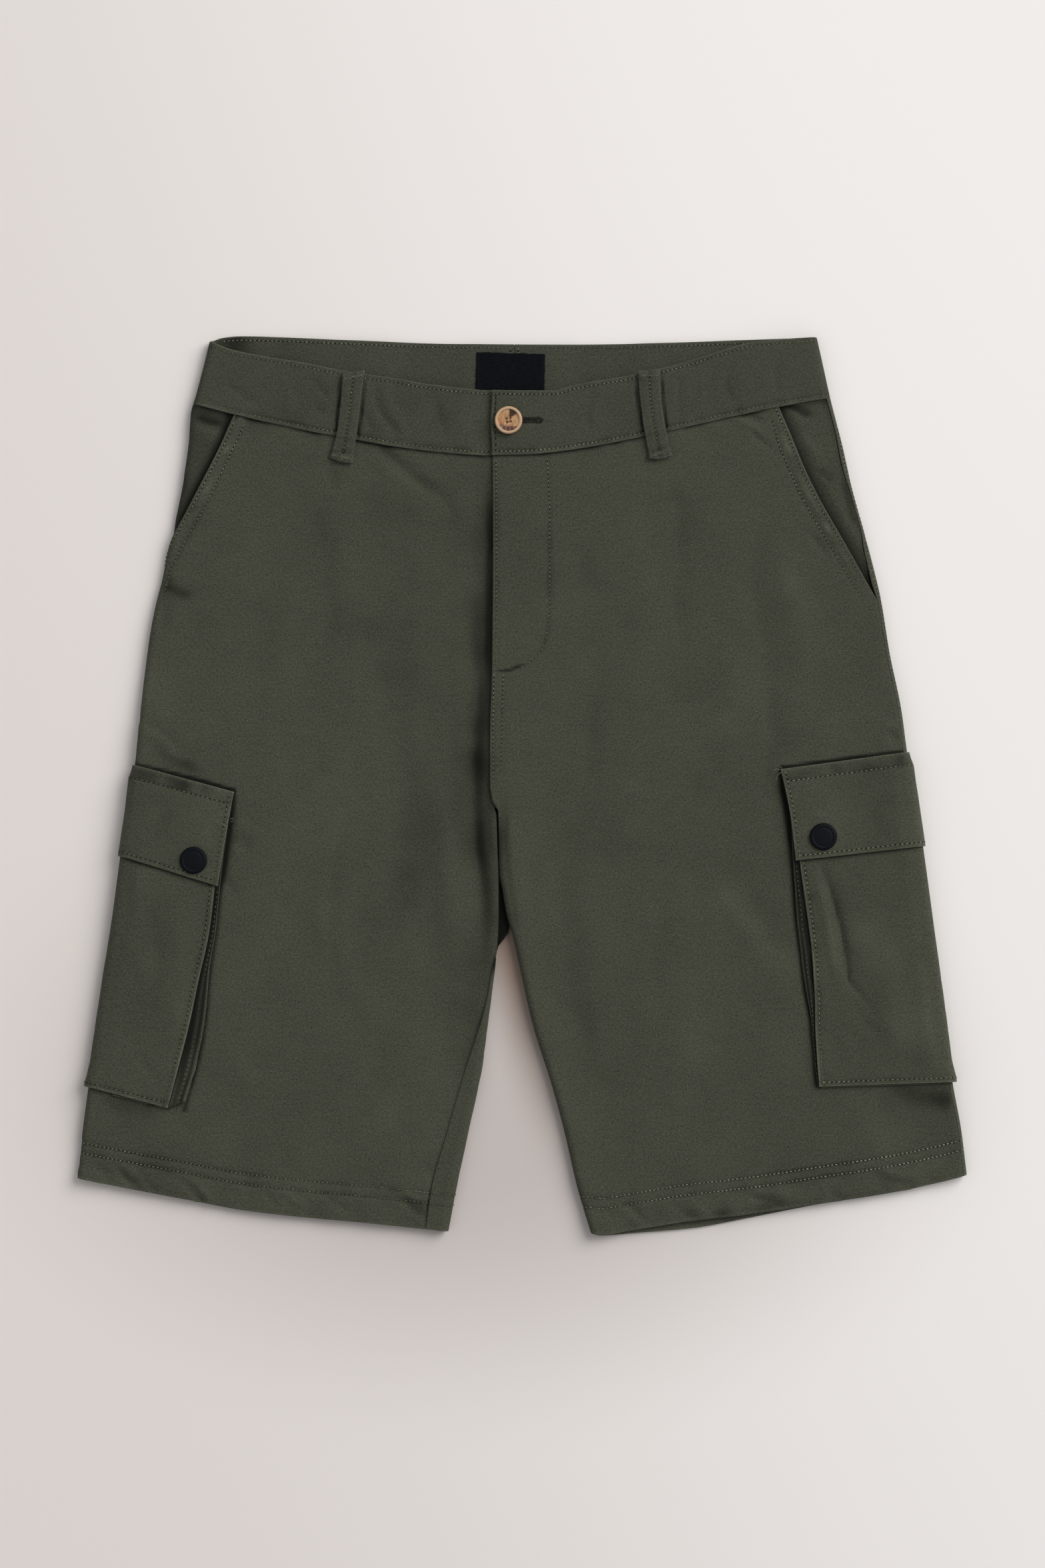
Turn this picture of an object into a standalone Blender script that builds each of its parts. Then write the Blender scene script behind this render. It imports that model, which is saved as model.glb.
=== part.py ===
"""Cargo shorts, laid flat on a surface with the front up.

Frame: +X to the right and +Y towards the waist as seen from above, +Z up from the surface.
The origin is the middle of the bottom of the shorts' box. Right and left in names are the
wearer's, so the right leg is the one at -X.

Sizes are in millimetres and become metres where the meshes are made. Every panel is an open
sheet with a Solidify wall. A sheet's points are read from a tube: the flattened leg that the
front and back panels make between them, rounded at its two folds. What lies on a panel is read
from the same tube, moved out.
"""

import math
from bisect import bisect_right
from collections import namedtuple

import bmesh
import bpy

MM = 0.001

# Cloth and seams
WALL = 1.2
BAND_WALL = 2.4
HEM_WALL = 1.8
LOOP_WALL = 1.6
LABEL_WALL = 0.6
SEAM_GAP = 0.3
SEAM_HALF = 0.25
HEM_DEPTH = 24.0

# How the layers lie on each other
BODY_HEIGHT = 5.8
FOLD_PUFF = 2.0
FOLD_PUFF_REACH = 24.0
FOLD_DEPTH = 3.0
INNER_PUFF_REACH = 12.0
WAIST_PUFF_REACH = 34.0
FLY_RISE = 0.9
FLY_WAIST_RISE = 1.1
FLY_WAIST_LENGTH = 55.0
FLY_MIDDLE = -3.0
FLY_REACH = 27.0
FLY_END = 72.0
LAP_DROP = 1.8
LAP_REACH = 22.0
LAP_END = (-33.0, -15.0)
BAND_HEIGHT = 8.7
BAND_LAP_DROP = 2.7
LAYER = WALL + SEAM_GAP

# Zones that stand up over what lies under them
ZONE_MARGIN = 16.0
ZONE_RAMP = 20.0
WIDE_RAMP = 34.0
FLAP_WIDE_RAMP = 60.0

# Belt loops
LOOP_WIDTH = 14.2
LOOP_ARCH = 1.3
BACK_LOOP_LENGTH = 49.6
BACK_LOOP_FOOT = 12.0
BACK_LOOPS_AT = {"right": -112.0, "center": -4.5, "left": 104.0}
LOOP_FLAT = 24.0
LOOP_RAMP = 20.0

# Rows and columns of the panels' grids
UPPER_LINE = 176.1
FULL_HEM = -275.0
UPPER_ROWS = 3
LOWER_ROWS = 18
HIP_ROWS = (0, 1)
HIP_SPLIT = 4
INSEAM_ROWS = {-1: (11, 12, 13), 1: (10, 11, 12)}
INSEAM_SPLIT = 2
HEM_ROWS = (0.0, 1.5, 12.75, 24.0)
ROUND_FOLD = (0, 0.4, 1.4, 3, 5, 7, 9, 11, 13, 21)
BESIDE_FOLD = (0, 0.4, 1.4, 9, 19)
HIDDEN_FOLD = (0, 0.4, 1.4, 3, 5, 7, 9, 11, 13, 21)
INSIDE_FOLD = (0, 0.4, 1.4, 3, 5, 7, 12, 21)
FACING_COLUMNS = 8

# Cargo pockets
POCKET_WIDTH = 150.0
POCKET_MOUTH = 11.0
POCKET_OVER_GUSSET = 1.9
POCKET_RISE_FROM = 3.0
POCKET_RISE_TO = 16.0
POCKET_EDGE_FADE = 18.0
POCKET_FLARE = 1.6
POCKET_FLARE_LENGTH = 16.0
GUSSET_INSIDE = 12.0
GUSSET_LOW = 0.8
GUSSET_RISE = 0.45
GUSSET_END = 18.0

# Hip pockets
SLANT_GAPE = 0.7
SLANT_GAPE_REACH = 8.0
FACING_UNDER = 14.0
FACING_FOLD = 13.0
FACING_GAP = 0.6
FACING_DROP = 1.6
FACING_TURN = 9.0

# Buttons
BUTTON_DIAMETER = 17.6
BUTTON_HEIGHT = 3.2
BUTTON_RIM = 1.5
BUTTON_DISH = 0.8
SNAP_DIAMETER = 17.0
SNAP_HEIGHT = 2.4
ROUND_STEPS = 24

# Label
LABEL_WIDTH = 43.0
LABEL_HEIGHT = 30.0
LABEL_TURN = math.radians(-1.6)

At = namedtuple("At", "x y")
Edge = namedtuple("Edge", "y x")
Hip = namedtuple("Hip", "y slant seam")
Width = namedtuple("Width", "y front")
Fold = namedtuple("Fold", "x0 y0 x1 y1 reach height")
Lines = namedtuple("Lines", "at_fold slope")

# Side folds, from the waist to the hem. Under a cargo pocket they lie inside its layers.
RIGHT_OUTER = (
    Edge(281, -195.2), Edge(264.6, -199.2), Edge(244.6, -204.4), Edge(232, -208.0),
    Edge(216, -208.9), Edge(183, -214.2), Edge(150, -221.4), Edge(133, -225.6),
    Edge(100, -232.2), Edge(50, -238.8), Edge(13, -242.6), Edge(-17, -246.2),
    Edge(-50, -251.0), Edge(-84, -255.6), Edge(-117, -261.0), Edge(-150, -266.0),
    Edge(-184, -271.0), Edge(-217, -275.6), Edge(-245.4, -278.8),
)
LEFT_OUTER = (
    Edge(281, 184.2), Edge(264.6, 187.9), Edge(244.6, 192.3), Edge(216, 199.6),
    Edge(183, 207.1), Edge(150, 216.3), Edge(116, 224.6), Edge(83, 230.0),
    Edge(50, 236.7), Edge(21, 240.6), Edge(0, 243.6), Edge(-34, 248.6),
    Edge(-50, 250.8), Edge(-84, 255.5), Edge(-117, 260.1), Edge(-150, 264.6),
    Edge(-184, 269.0), Edge(-217, 275.0), Edge(-243.3, 278.3),
)

# Folds on the inside of the legs, from the crotch to the hem
RIGHT_INNER = (
    Edge(-15, -16.2), Edge(-40, -15.4), Edge(-60, -14.9), Edge(-80, -15.0),
    Edge(-103, -16.0), Edge(-127.5, -18.8), Edge(-150, -21.7), Edge(-184, -26.3),
    Edge(-217, -33.8), Edge(-250, -40.4), Edge(-279, -46.3),
)
LEFT_INNER = (
    Edge(-15, -15.4), Edge(-40, -14.9), Edge(-56, -14.3), Edge(-64, -12.7),
    Edge(-80, -9.9), Edge(-92, -6.5), Edge(-117, -1.0), Edge(-149, 6.3),
    Edge(-189, 18.8), Edge(-217, 26.3), Edge(-251, 34.2), Edge(-281, 43.2),
)

# Inner ends of the fronts. Past an inner fold, the fold itself is the end.
RIGHT_FRONT_END = (
    Edge(240, -9.0), Edge(30, -10.4), Edge(8, -10.4), Edge(-6, -14.5), Edge(-14, -17.2),
    Edge(-24, -13.0), Edge(-98, -14.0), Edge(-109.6, -17.6), Edge(-133.4, -22.2),
    Edge(-149, -26.7),
    Edge(-181, -37.1), Edge(-217, -47.5), Edge(-251, -57.1), Edge(-276, -60.6),
)
LEFT_FRONT_END = (
    Edge(240, -19.2), Edge(152, -18.5), Edge(72, -19.2), Edge(30, -20.4),
    Edge(1, -20.4), Edge(-9, -19.0), Edge(-14, -16.6), Edge(-24, -20.0),
)
FRONT_CURL = (-14.0, -30.0)
FRONT_TUCK = 2.2
FRONT_TUCK_SPAN = (-36.0, -46.0, -78.0, -88.0)

# Inner ends of the backs: the seat seam, then the edge of the web between the legs
RIGHT_BACK_END = (
    Edge(240, -5.0), Edge(100, -8.0), Edge(0, -13.0), Edge(-40, -15.0), Edge(-56, -14.4),
    Edge(-64, -12.9), Edge(-80, -10.2), Edge(-90, -8.0), Edge(-96, -11.5), Edge(-102, -15.4),
    Edge(-110, -13.0),
)
LEFT_BACK_END = (
    Edge(240, -5.0), Edge(100, -8.0), Edge(0, -13.0), Edge(-40, -15.0), Edge(-56, -14.4),
    Edge(-64, -12.9), Edge(-80, -10.2), Edge(-90, -8.0), Edge(-110, -8.0),
)
RIGHT_BACK_CURL = (-88.0, -108.0)
LEFT_BACK_CURL = (-84.0, -101.0)
RIGHT_WEB_END = -102.0
LEFT_WEB_END = -90.0
INSEAM_TOP = -108.0

# The waist, from the right side fold to the left one
FRONT_SEAM = (
    At(-206.1, 239.2), At(-176.7, 231.7), At(-137.1, 222.9), At(-103.8, 216.7),
    At(-77.1, 212.1), At(-50.4, 208.8), At(-21.3, 206.9), At(0, 207.2),
    At(19.2, 208.9), At(40, 211.9), At(75.8, 218.8), At(122.5, 229.2), At(157.1, 236.7), At(192.7, 243.0),
)
FRONT_TOP = (
    At(-196.3, 278.4), At(-183.3, 273.0), At(-160.8, 268.4), At(-135.4, 264.2),
    At(-112.9, 259.6), At(-77.1, 254.2), At(-57.1, 250.8), At(-21.3, 247.5),
    At(19.2, 247.0), At(32.9, 250.6), At(67.5, 256.7), At(95, 262.9), At(129.6, 273.6),
    At(143.3, 277.2), At(184.2, 280.8),
)
BACK_SEAM = (At(-206.1, 239.2), At(-110, 238.5), At(0, 237.2), At(100, 239.0), At(192.7, 243.0))
BACK_TOP = (
    At(-196.3, 278.4), At(-186, 281.0), At(-176.7, 281.7), At(-110, 279.2), At(-43.3, 276.9),
    At(23.3, 276.4), At(90, 277.5), At(156.7, 280.0), At(184.2, 280.8),
)

# Hems, from the outer fold to the inner one
RIGHT_HEM = (
    At(-278.8, -245.4), At(-243.3, -252.5), At(-210, -258.8), At(-176.7, -265.2),
    At(-143.3, -269.2), At(-93.3, -273.8), At(-46.3, -278.8),
)
LEFT_FRONT_HEM = (
    At(42.5, -279.8), At(48, -280.9), At(74.2, -277.1), At(100, -272.9), At(142.5, -267.9),
    At(190, -260.8), At(227.5, -255.0), At(261.3, -247.9), At(278.3, -243.3),
)
LEFT_BACK_HEM = (
    At(42.5, -279.8), At(48, -281.7), At(70.8, -280.0), At(108.3, -276.7), At(142.5, -270.4),
    At(190, -261.2), At(227.5, -255.0), At(261.3, -247.9), At(278.3, -243.3),
)

# Slanted edges of the hip pockets and the side seams, as distances along the cloth from the
# outermost point of the side fold. Below zero is on the back.
RIGHT_HIP = (
    Hip(240, 28.7, -7.2), Hip(216, 22.7, -7.2), Hip(192, 13.9, -7.2), Hip(173, 6.6, -7.2),
    Hip(157, 2.0, -7.2), Hip(140, -3.6, -7.2), Hip(124, -7.2, -7.2),
)
LEFT_HIP = (
    Hip(243, 36.7, 5.2), Hip(217, 32.2, 5.8), Hip(205, 30.9, 6.0), Hip(177, 27.0, 6.0),
    Hip(160, 21.2, 5.6), Hip(141, 15.0, 5.2), Hip(127, 9.8, 5.0), Hip(116, 4.8, 4.8),
)

# Widths of the cargo pockets and flaps on the front, as insets from the side fold
RIGHT_POCKET_WIDTHS = (
    Width(0, 62.5), Width(-64, 60.6), Width(-92, 61.0), Width(-122, 59.2), Width(-144, 58.0),
    Width(-179, 54.4), Width(-202, 51.6),
)
RIGHT_FLAP_WIDTHS = (Width(0, 64.6), Width(-28, 63.2), Width(-46, 62.9), Width(-63, 62.6))
LEFT_POCKET_WIDTHS = (
    Width(0, 76.0), Width(-48, 77.4), Width(-92, 77.2), Width(-130, 79.4), Width(-153, 82.0),
    Width(-188, 84.2),
)
LEFT_FLAP_WIDTHS = (Width(12, 81.0), Width(-19, 79.2), Width(-46, 79.9))
RIGHT_GUSSET_OUT = (
    Width(-20, 1.5), Width(-64, 3.2), Width(-107, 4.6), Width(-129, 7.2), Width(-150, 9.4),
    Width(-163, 10.2), Width(-192, 10.6),
)
LEFT_GUSSET_OUT = (
    Width(-20, 2.0), Width(-60, 5.0), Width(-92, 7.0), Width(-109, 6.8), Width(-130, 5.0),
    Width(-149, 2.2), Width(-187, 1.2),
)

# The largest folds of the fronts and of the left cargo pocket. A trough is below zero.
RIGHT_FRONT_FOLDS = (
    Fold(-96, 170, -84, 60, 17, -1.3),
    Fold(-84, 80, -62, -80, 15, -2.0),
    Fold(-62, -60, -44, -205, 15, -1.7),
    Fold(-31, 120, -32, 20, 5.5, -0.9),
    Fold(-32, 40, -25, -100, 5.5, -1.6),
    Fold(-50, 60, -42, -120, 11, 0.9),
    Fold(-94, 212, -46, 180, 7, -1.3),
    Fold(-120, 20, -150, -150, 26, 0.8),
    Fold(-225, 45, -186, 8, 10, -1.1),
)
LEFT_FRONT_FOLDS = (
    Fold(136, 175, 158, 12, 16, -1.0),
    Fold(120, -40, 172, -112, 15, -1.1),
    Fold(70, 130, 60, -60, 32, 0.8),
    Fold(96, -40, 74, -190, 22, 0.8),
    Fold(20, -10, 30, -150, 13, -0.9),
    Fold(216, -214, 268, -206, 9, -1.2),
)
LEFT_POCKET_FOLDS = (
    Fold(206, -30, 236, -170, 30, 1.9),
    Fold(232, -100, 262, -176, 15, 1.2),
    Fold(188, -46, 203, -120, 6, -1.5),
    Fold(202, -106, 224, -148, 9, -1.0),
)
RIGHT_POCKET_FOLDS = (
    Fold(-222, -40, -238, -170, 26, 1.2),
    Fold(-240, -100, -222, -150, 11, 0.7),
    Fold(-250, -128, -262, -178, 8, -0.8),
)

# Points of the two waistband strips: on the front from the centre out, on the back inwards
RIGHT_BAND_FRONT = (8, -8, -20, -26, -32, -41, -60, -80, -100, -122, -145, -168, -186)
LEFT_BAND_FRONT = (-19.2, -8, 3, 14, 24, 36, 52, 72, 92, 112, 132, 152, 172)
RIGHT_BAND_BACK = (-184, -172, -160, -148, -136, -112, -88, -76, -68, -56, -44, -36, -28, -5.2)
LEFT_BAND_BACK = (172, 160, 148, 138, 128, 104, 80, 70, 60, 50, 39, 30, 20, -4.9)

RIGHT_LOOP = (At(-104.6, 259.0), At(-112.9, 203.4))
LEFT_LOOP = (At(79.6, 260.2), At(86.3, 205.0))
BUTTON_AT = At(-8.75, 228.3)
RIGHT_SNAP_AT = At(-205.2, -46.3)
LEFT_SNAP_AT = At(187.6, -31.6)
LABEL_AT = At(-7.7, 257.4)

CLOTH_COLOUR = (66, 68, 57)
BAND_COLOUR = (64, 65, 55)
LABEL_COLOUR = (16, 19, 24)
SNAP_COLOUR = (18, 21, 26)
BUTTON_COLOUR = (154, 120, 95)


def ramp(value, start, end):
    """0 at start, 1 at end and smooth between; start may be above end."""
    share = min(max((value - start) / (end - start), 0.0), 1.0)
    return share * share * (3 - 2 * share)


def bump(distance, reach):
    """1 at no distance and falling off smoothly around reach."""
    return math.exp(-((distance / reach) ** 2))


class Curve:
    """A smooth value along one axis, through a table's rows, with straight ends."""

    def __init__(self, rows, key, value):
        pairs = sorted((getattr(row, key), getattr(row, value)) for row in rows)
        self.at = [pair[0] for pair in pairs]
        self.values = [pair[1] for pair in pairs]
        self.runs = [b - a for a, b in zip(self.at, self.at[1:])]
        rises = [b - a for a, b in zip(self.values, self.values[1:])]
        self.secants = [rise / run for rise, run in zip(rises, self.runs)]
        self.slopes = [self.secants[0]]
        for before, after in zip(self.secants, self.secants[1:]):
            level = before * after <= 0
            self.slopes.append(0.0 if level else 2 * before * after / (before + after))
        self.slopes.append(self.secants[-1])

    def __call__(self, at):
        if at <= self.at[0]:
            return self.values[0] + (at - self.at[0]) * self.slopes[0]
        if at >= self.at[-1]:
            return self.values[-1] + (at - self.at[-1]) * self.slopes[-1]
        i = bisect_right(self.at, at) - 1
        run = self.runs[i]
        t = (at - self.at[i]) / run
        blend = t * t * (3 - 2 * t)
        leave = t * (1 - t) ** 2
        arrive = t * t * (t - 1)
        straight = self.values[i] * (1 - blend) + self.values[i + 1] * blend
        return straight + run * (leave * self.slopes[i] + arrive * self.slopes[i + 1])


def fold_height(folds, x, y):
    """The height that a table of folds adds at a point."""
    height = 0.0
    for fold in folds:
        run_x = fold.x1 - fold.x0
        run_y = fold.y1 - fold.y0
        length = math.hypot(run_x, run_y)
        along = ((x - fold.x0) * run_x + (y - fold.y0) * run_y) / length**2
        across = abs((x - fold.x0) * run_y - (y - fold.y0) * run_x) / length
        ends = ramp(along, -0.12, 0.3) * ramp(along, 1.12, 0.7)
        height += fold.height * bump(across, fold.reach) * ends
    return height


front_seam = Curve(FRONT_SEAM, "x", "y")
front_top = Curve(FRONT_TOP, "x", "y")
back_seam = Curve(BACK_SEAM, "x", "y")
back_top = Curve(BACK_TOP, "x", "y")


def waist_seam(x, place):
    """Where the panels meet the waistband, on the front or, with place below zero, the back."""
    return front_seam(x) if place >= 0 else back_seam(x)


def loops_below(x):
    """1 over a belt loop that the back of the waistband lies on."""
    return max(ramp(abs(x - at), LOOP_FLAT + LOOP_RAMP, LOOP_FLAT) for at in BACK_LOOPS_AT.values())


def fly_rise(x, y):
    """The extra height of the layers in the fly, most at the waist, ending under its stitching."""
    low = ramp(y, FLY_END - 30, FLY_END)
    reach = FLY_REACH * (0.45 + 0.55 * low)
    middle = FLY_MIDDLE - 10 * (1 - low)
    seam = front_seam(x)
    height = FLY_RISE + FLY_WAIST_RISE * ramp(y, seam - FLY_WAIST_LENGTH, seam)
    return height * bump(x - middle, reach) * ramp(y, -30, -5)


class Cargo:
    """The lines of one cargo pocket and its flap, by the inset from the side fold."""

    def __init__(self, flap_top, flap_bottom, bottom, widths, flap_widths, gusset_out, folds):
        self.flap_top = flap_top
        self.flap_bottom = flap_bottom
        self.bottom = bottom
        self.width = Curve(widths, "y", "front")
        self.flap_width = Curve(flap_widths, "y", "front")
        self.gusset_out = Curve(gusset_out, "y", "front")
        self.folds = folds

    @staticmethod
    def line(line, inset):
        return line.at_fold + line.slope * inset

    def zone(self, inset, y, low_line, reach, margin, fall):
        """1 within margin of the layers between the flap's top and low_line, falling outside."""
        top = self.line(self.flap_top, inset) + margin
        low = self.line(low_line, inset) - margin
        inside = ramp(inset, reach + margin + fall, reach + margin)
        return inside * ramp(y, top + fall, top) * ramp(y, low - fall, low)

    def under(self, inset, y):
        """How high the back panel stands over the hidden halves of the pocket and flap."""
        reach = POCKET_WIDTH - self.width(y)
        pocket = self.zone(inset, y, self.bottom, reach, ZONE_MARGIN, ZONE_RAMP)
        flap = self.zone(inset, y, self.flap_bottom, reach, ZONE_MARGIN, FLAP_WIDE_RAMP)
        return LAYER * (pocket + flap)

    def top(self, inset, y):
        """How much that lifts the front panel, over a wider slope."""
        reach = self.width(y)
        pocket = self.zone(inset, y, self.bottom, reach, ZONE_MARGIN, WIDE_RAMP)
        flap = self.zone(inset, y, self.flap_bottom, reach, ZONE_MARGIN, FLAP_WIDE_RAMP)
        return LAYER * (pocket + flap)


class Tube:
    """The flattened tube of one leg, or of one side of the waistband.

    A place on it is the signed distance along the cloth from the outermost point of the side
    fold, forward on the front and backward on the back, and a height y.
    """

    def __init__(self, side, outer, inner, top, under, curls):
        self.side = side
        self.outer = outer
        self.inner = inner
        self.top = top
        self.under = under
        self.curls = curls

    def inset(self, x, y):
        """How far x lies inside the side fold, as seen from above."""
        return self.side * (self.outer(y) - x)

    def height(self, face, x, y):
        return self.top(x, y) if face > 0 else self.under(x, y)

    def side_fold(self, y):
        """Radius and middle height of the side fold."""
        x = self.outer(y) - self.side * FOLD_DEPTH
        top = self.top(x, y)
        under = self.under(x, y)
        return (top - under) / 2, (top + under) / 2

    def inner_fold(self, face, y):
        """How far in the inner fold starts, its radius and how much it curls, from 0 to 1."""
        curl = ramp(y, *self.curls[face])
        x = self.inner(y) + self.side * FOLD_DEPTH
        radius = (self.top(x, y) - self.under(x, y)) / 2
        return self.side * self.inner(y) + radius, radius, curl

    def distance(self, inset, y):
        """Signed distance along the cloth for an inset, which is below zero on the back."""
        radius, _ = self.side_fold(y)
        size = abs(inset)
        if size >= radius:
            length = math.pi / 2 * radius + size - radius
        else:
            length = radius * math.acos(1 - size / radius)
        return math.copysign(length, inset)

    def reach_to(self, face, x, y):
        """Distance along the cloth from the side fold to x on one face, the inner curl included."""
        radius, _ = self.side_fold(y)
        start, curl_radius, curl = self.inner_fold(face, y)
        flat = math.pi / 2 * radius + self.side * self.outer(y) - radius
        out = self.side * x
        if out >= start or curl == 0:
            return flat - out
        turned = math.asin(min(1.0, curl * (start - out) / curl_radius))
        return flat - start + curl_radius / curl * turned

    def point(self, distance, y, lift=0.0):
        """The place in space, moved out from the cloth by lift."""
        face = 1 if distance >= 0 else -1
        reach = abs(distance)
        radius, middle = self.side_fold(y)
        quarter = math.pi / 2 * radius
        if reach <= quarter:
            angle = reach / radius
            out = self.side * self.outer(y) - radius + (radius + lift) * math.cos(angle)
            return self.side * out, y, middle + face * (radius + lift) * math.sin(angle)
        out = self.side * self.outer(y) - radius - (reach - quarter)
        start, curl_radius, curl = self.inner_fold(face, y)
        if curl == 0 or out >= start:
            x = self.side * out
            return x, y, self.height(face, x, y) + face * lift
        past = start - out
        if past > math.pi * curl_radius:
            x = self.side * (start + past - math.pi * curl_radius)
            return x, y, self.height(-face, x, y) - face * lift
        angle = curl * past / curl_radius
        turn = curl_radius / curl
        out = start - (turn + lift) * math.sin(angle)
        x = self.side * out
        flat = self.height(face, x, y) * (1 - curl)
        flat += self.height(face, self.side * start, y) * curl
        down = turn * (1 - math.cos(angle)) - lift * math.cos(angle)
        return x, y, flat - face * down


class Leg(Tube):
    """One leg with its side of the hips, and the lines that its panels are cut to."""

    def __init__(self, side, edges, hip, hems, back_curl, web_end, cargo, folds):
        outer, inner, front_end, back_end = edges
        self.cargo = cargo
        self.folds = folds
        self.front_end = Curve(front_end, "y", "x")
        self.back_end = Curve(back_end, "y", "x")
        self.web_end = web_end
        self.slant = Curve(hip, "y", "slant")
        self.seam = Curve(hip, "y", "seam")
        self.hip_end = hip[-1].y
        self.hems = {1: Curve(hems[0], "x", "y"), -1: Curve(hems[1], "x", "y")}
        self.hem_end = side * inner[-1].x
        inner_curve = Curve(inner, "y", "x")
        crotch = inner[0]
        super().__init__(
            side,
            Curve(outer, "y", "x"),
            lambda y: inner_curve(y) if y < crotch.y else crotch.x,
            self.front_height,
            self.back_height,
            {1: FRONT_CURL, -1: back_curl},
        )

    def front_height(self, x, y):
        """Height of the front's outer face above the surface that the shorts lie on."""
        inset = self.inset(x, y)
        inner_inset = self.side * (x - self.inner(y))
        at_fold = bump(max(inset, 0), FOLD_PUFF_REACH)
        at_inner = ramp(y, *FRONT_CURL) * bump(max(inner_inset, 0), INNER_PUFF_REACH)
        at_waist = bump(max(front_seam(x) - y, 0), WAIST_PUFF_REACH)
        full = 1 - (1 - at_fold) * (1 - at_inner) * (1 - at_waist)
        height = BODY_HEIGHT + FOLD_PUFF * full + self.cargo.top(inset, y) + fly_rise(x, y)
        if self.side < 0:
            edge = LEFT_FRONT_END[0].x
            height -= LAP_DROP * ramp(x, edge - LAP_REACH, edge - 1) * ramp(y, *LAP_END)
        return height + fold_height(self.folds, x, y) * (1 - at_fold) * (1 - at_waist)

    def back_height(self, x, y):
        """Height of the back's outer face, zero where it rests."""
        foot = back_seam(x) - BACK_LOOP_FOOT - ZONE_MARGIN
        loops = LAYER * loops_below(x) * ramp(y, foot - ZONE_RAMP, foot)
        return loops + self.cargo.under(self.inset(x, y), y)

    def hem(self, face, x):
        """The y of the hem's fold at x, level across the gap between the legs."""
        return self.hems[face](self.side * max(self.side * x, self.hem_end))

    def side_seam(self, y):
        """Place of the side seam."""
        return self.seam(max(y, self.hip_end))

    def slant_place(self, y):
        """Place of the hip pocket's slanted edge, which ends at the side seam."""
        return self.slant(max(y, self.hip_end))

    def front_start(self, y):
        """Where the front begins: the side seam, or above it the slanted edge."""
        if y <= self.hip_end:
            return self.side_seam(y) + SEAM_HALF
        return self.slant_place(y) + SEAM_HALF

    def front_finish(self, y):
        """Where the front ends: the centre, then the inseam, tucked in below the crotch."""
        limit = self.side * self.front_end(y)
        if y < FRONT_CURL[0]:
            limit = max(limit, self.side * self.inner(y))
        first, second, third, fourth = FRONT_TUCK_SPAN
        tuck = FRONT_TUCK * ramp(y, first, second) * ramp(y, fourth, third)
        return self.reach_to(1, self.side * limit, y) - SEAM_HALF + tuck

    def back_start(self, y):
        """Where the back begins, at the side seam."""
        return self.side_seam(y) - SEAM_HALF

    def back_finish(self, y):
        """Where the back ends: the seat seam, the web between the legs, then the inseam."""
        if y > INSEAM_TOP:
            limit = self.side * self.back_end(y)
            if y < self.web_end:
                limit = max(limit, self.side * self.inner(y))
            return SEAM_HALF - self.reach_to(-1, self.side * limit, y)
        start, radius, _ = self.inner_fold(-1, y)
        to_fold = self.reach_to(-1, self.side * start, y)
        front_past = self.front_finish(y) - self.reach_to(1, self.side * start, y)
        return -(to_fold + math.pi * radius - front_past - 2 * SEAM_HALF)

    def pocket_lift(self, distance, y):
        """How far the cargo pocket's inner face stands off the leg."""
        cargo = self.cargo
        x = self.point(distance, y)[0]
        inset = max(self.inset(x, y), 0.0)
        rise = ramp(distance, POCKET_RISE_FROM, POCKET_RISE_TO)
        above = y - cargo.line(cargo.bottom, inset)
        fade = ramp(cargo.width(y) - inset, 0, POCKET_EDGE_FADE) * ramp(above, 0, POCKET_EDGE_FADE)
        relief = max(fold_height(cargo.folds, x, y) * fade, 0.0) * rise
        flare = ramp(above, POCKET_FLARE_LENGTH, 0) * ramp(distance, -2, 1) * (1 - rise)
        over = POCKET_OVER_GUSSET - SEAM_GAP
        return SEAM_GAP + over * rise + relief + POCKET_FLARE * flare

    def flap_lift(self, distance, y):
        """How far the flap's inner face stands off the leg: on it at the top, then on the pocket."""
        cargo = self.cargo
        inset = abs(self.inset(self.point(distance, y)[0], y))
        onto = ramp(cargo.line(cargo.flap_top, inset) - y, 1.0, POCKET_MOUTH - 1.0)
        return SEAM_GAP + (self.pocket_lift(distance, y) + LAYER - SEAM_GAP) * onto


# Making meshes


def metres(point):
    return [value * MM for value in point]


def colour(rgb):
    """Linear colour of an sRGB one given from 0 to 255."""
    levels = [value / 255 for value in rgb]
    return [x / 12.92 if x <= 0.04045 else ((x + 0.055) / 1.055) ** 2.4 for x in levels] + [1.0]


def finish(name, rgb, roughness, metallic=0.0):
    """A material with one Principled shader."""
    material = bpy.data.materials.new(name)
    material.use_nodes = True
    shader = material.node_tree.nodes["Principled BSDF"]
    shader.inputs["Base Color"].default_value = colour(rgb)
    shader.inputs["Roughness"].default_value = roughness
    shader.inputs["Metallic"].default_value = metallic
    return material


def link(name, mesh, material):
    """An object of the shorts from a bmesh, which is freed."""
    data = bpy.data.meshes.new(name)
    mesh.to_mesh(data)
    mesh.free()
    data.shade_smooth()
    data.materials.append(material)
    made = bpy.data.objects.new(name, data)
    shorts.objects.link(made)
    return made


def sheet(name, rows, material, probe=0, faces_up=True):
    """An open sheet through a grid of points. The face at column probe looks up or down."""
    mesh = bmesh.new()
    grid = [[mesh.verts.new(metres(point)) for point in row] for row in rows]
    along = grid[0][probe + 1].co - grid[0][probe].co
    down = grid[1][probe].co - grid[0][probe].co
    flip = (along.cross(down).z > 0) != faces_up
    for above, below in zip(grid, grid[1:]):
        for i in range(len(above) - 1):
            corners = [above[i], above[i + 1], below[i + 1], below[i]]
            mesh.faces.new(reversed(corners) if flip else corners)
    return link(name, mesh, material)


def give_wall(made, wall):
    """Gives a sheet its wall, inwards from its outer face."""
    solidify = made.modifiers.new("Wall", "SOLIDIFY")
    solidify.thickness = wall * MM
    solidify.offset = -1


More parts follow.
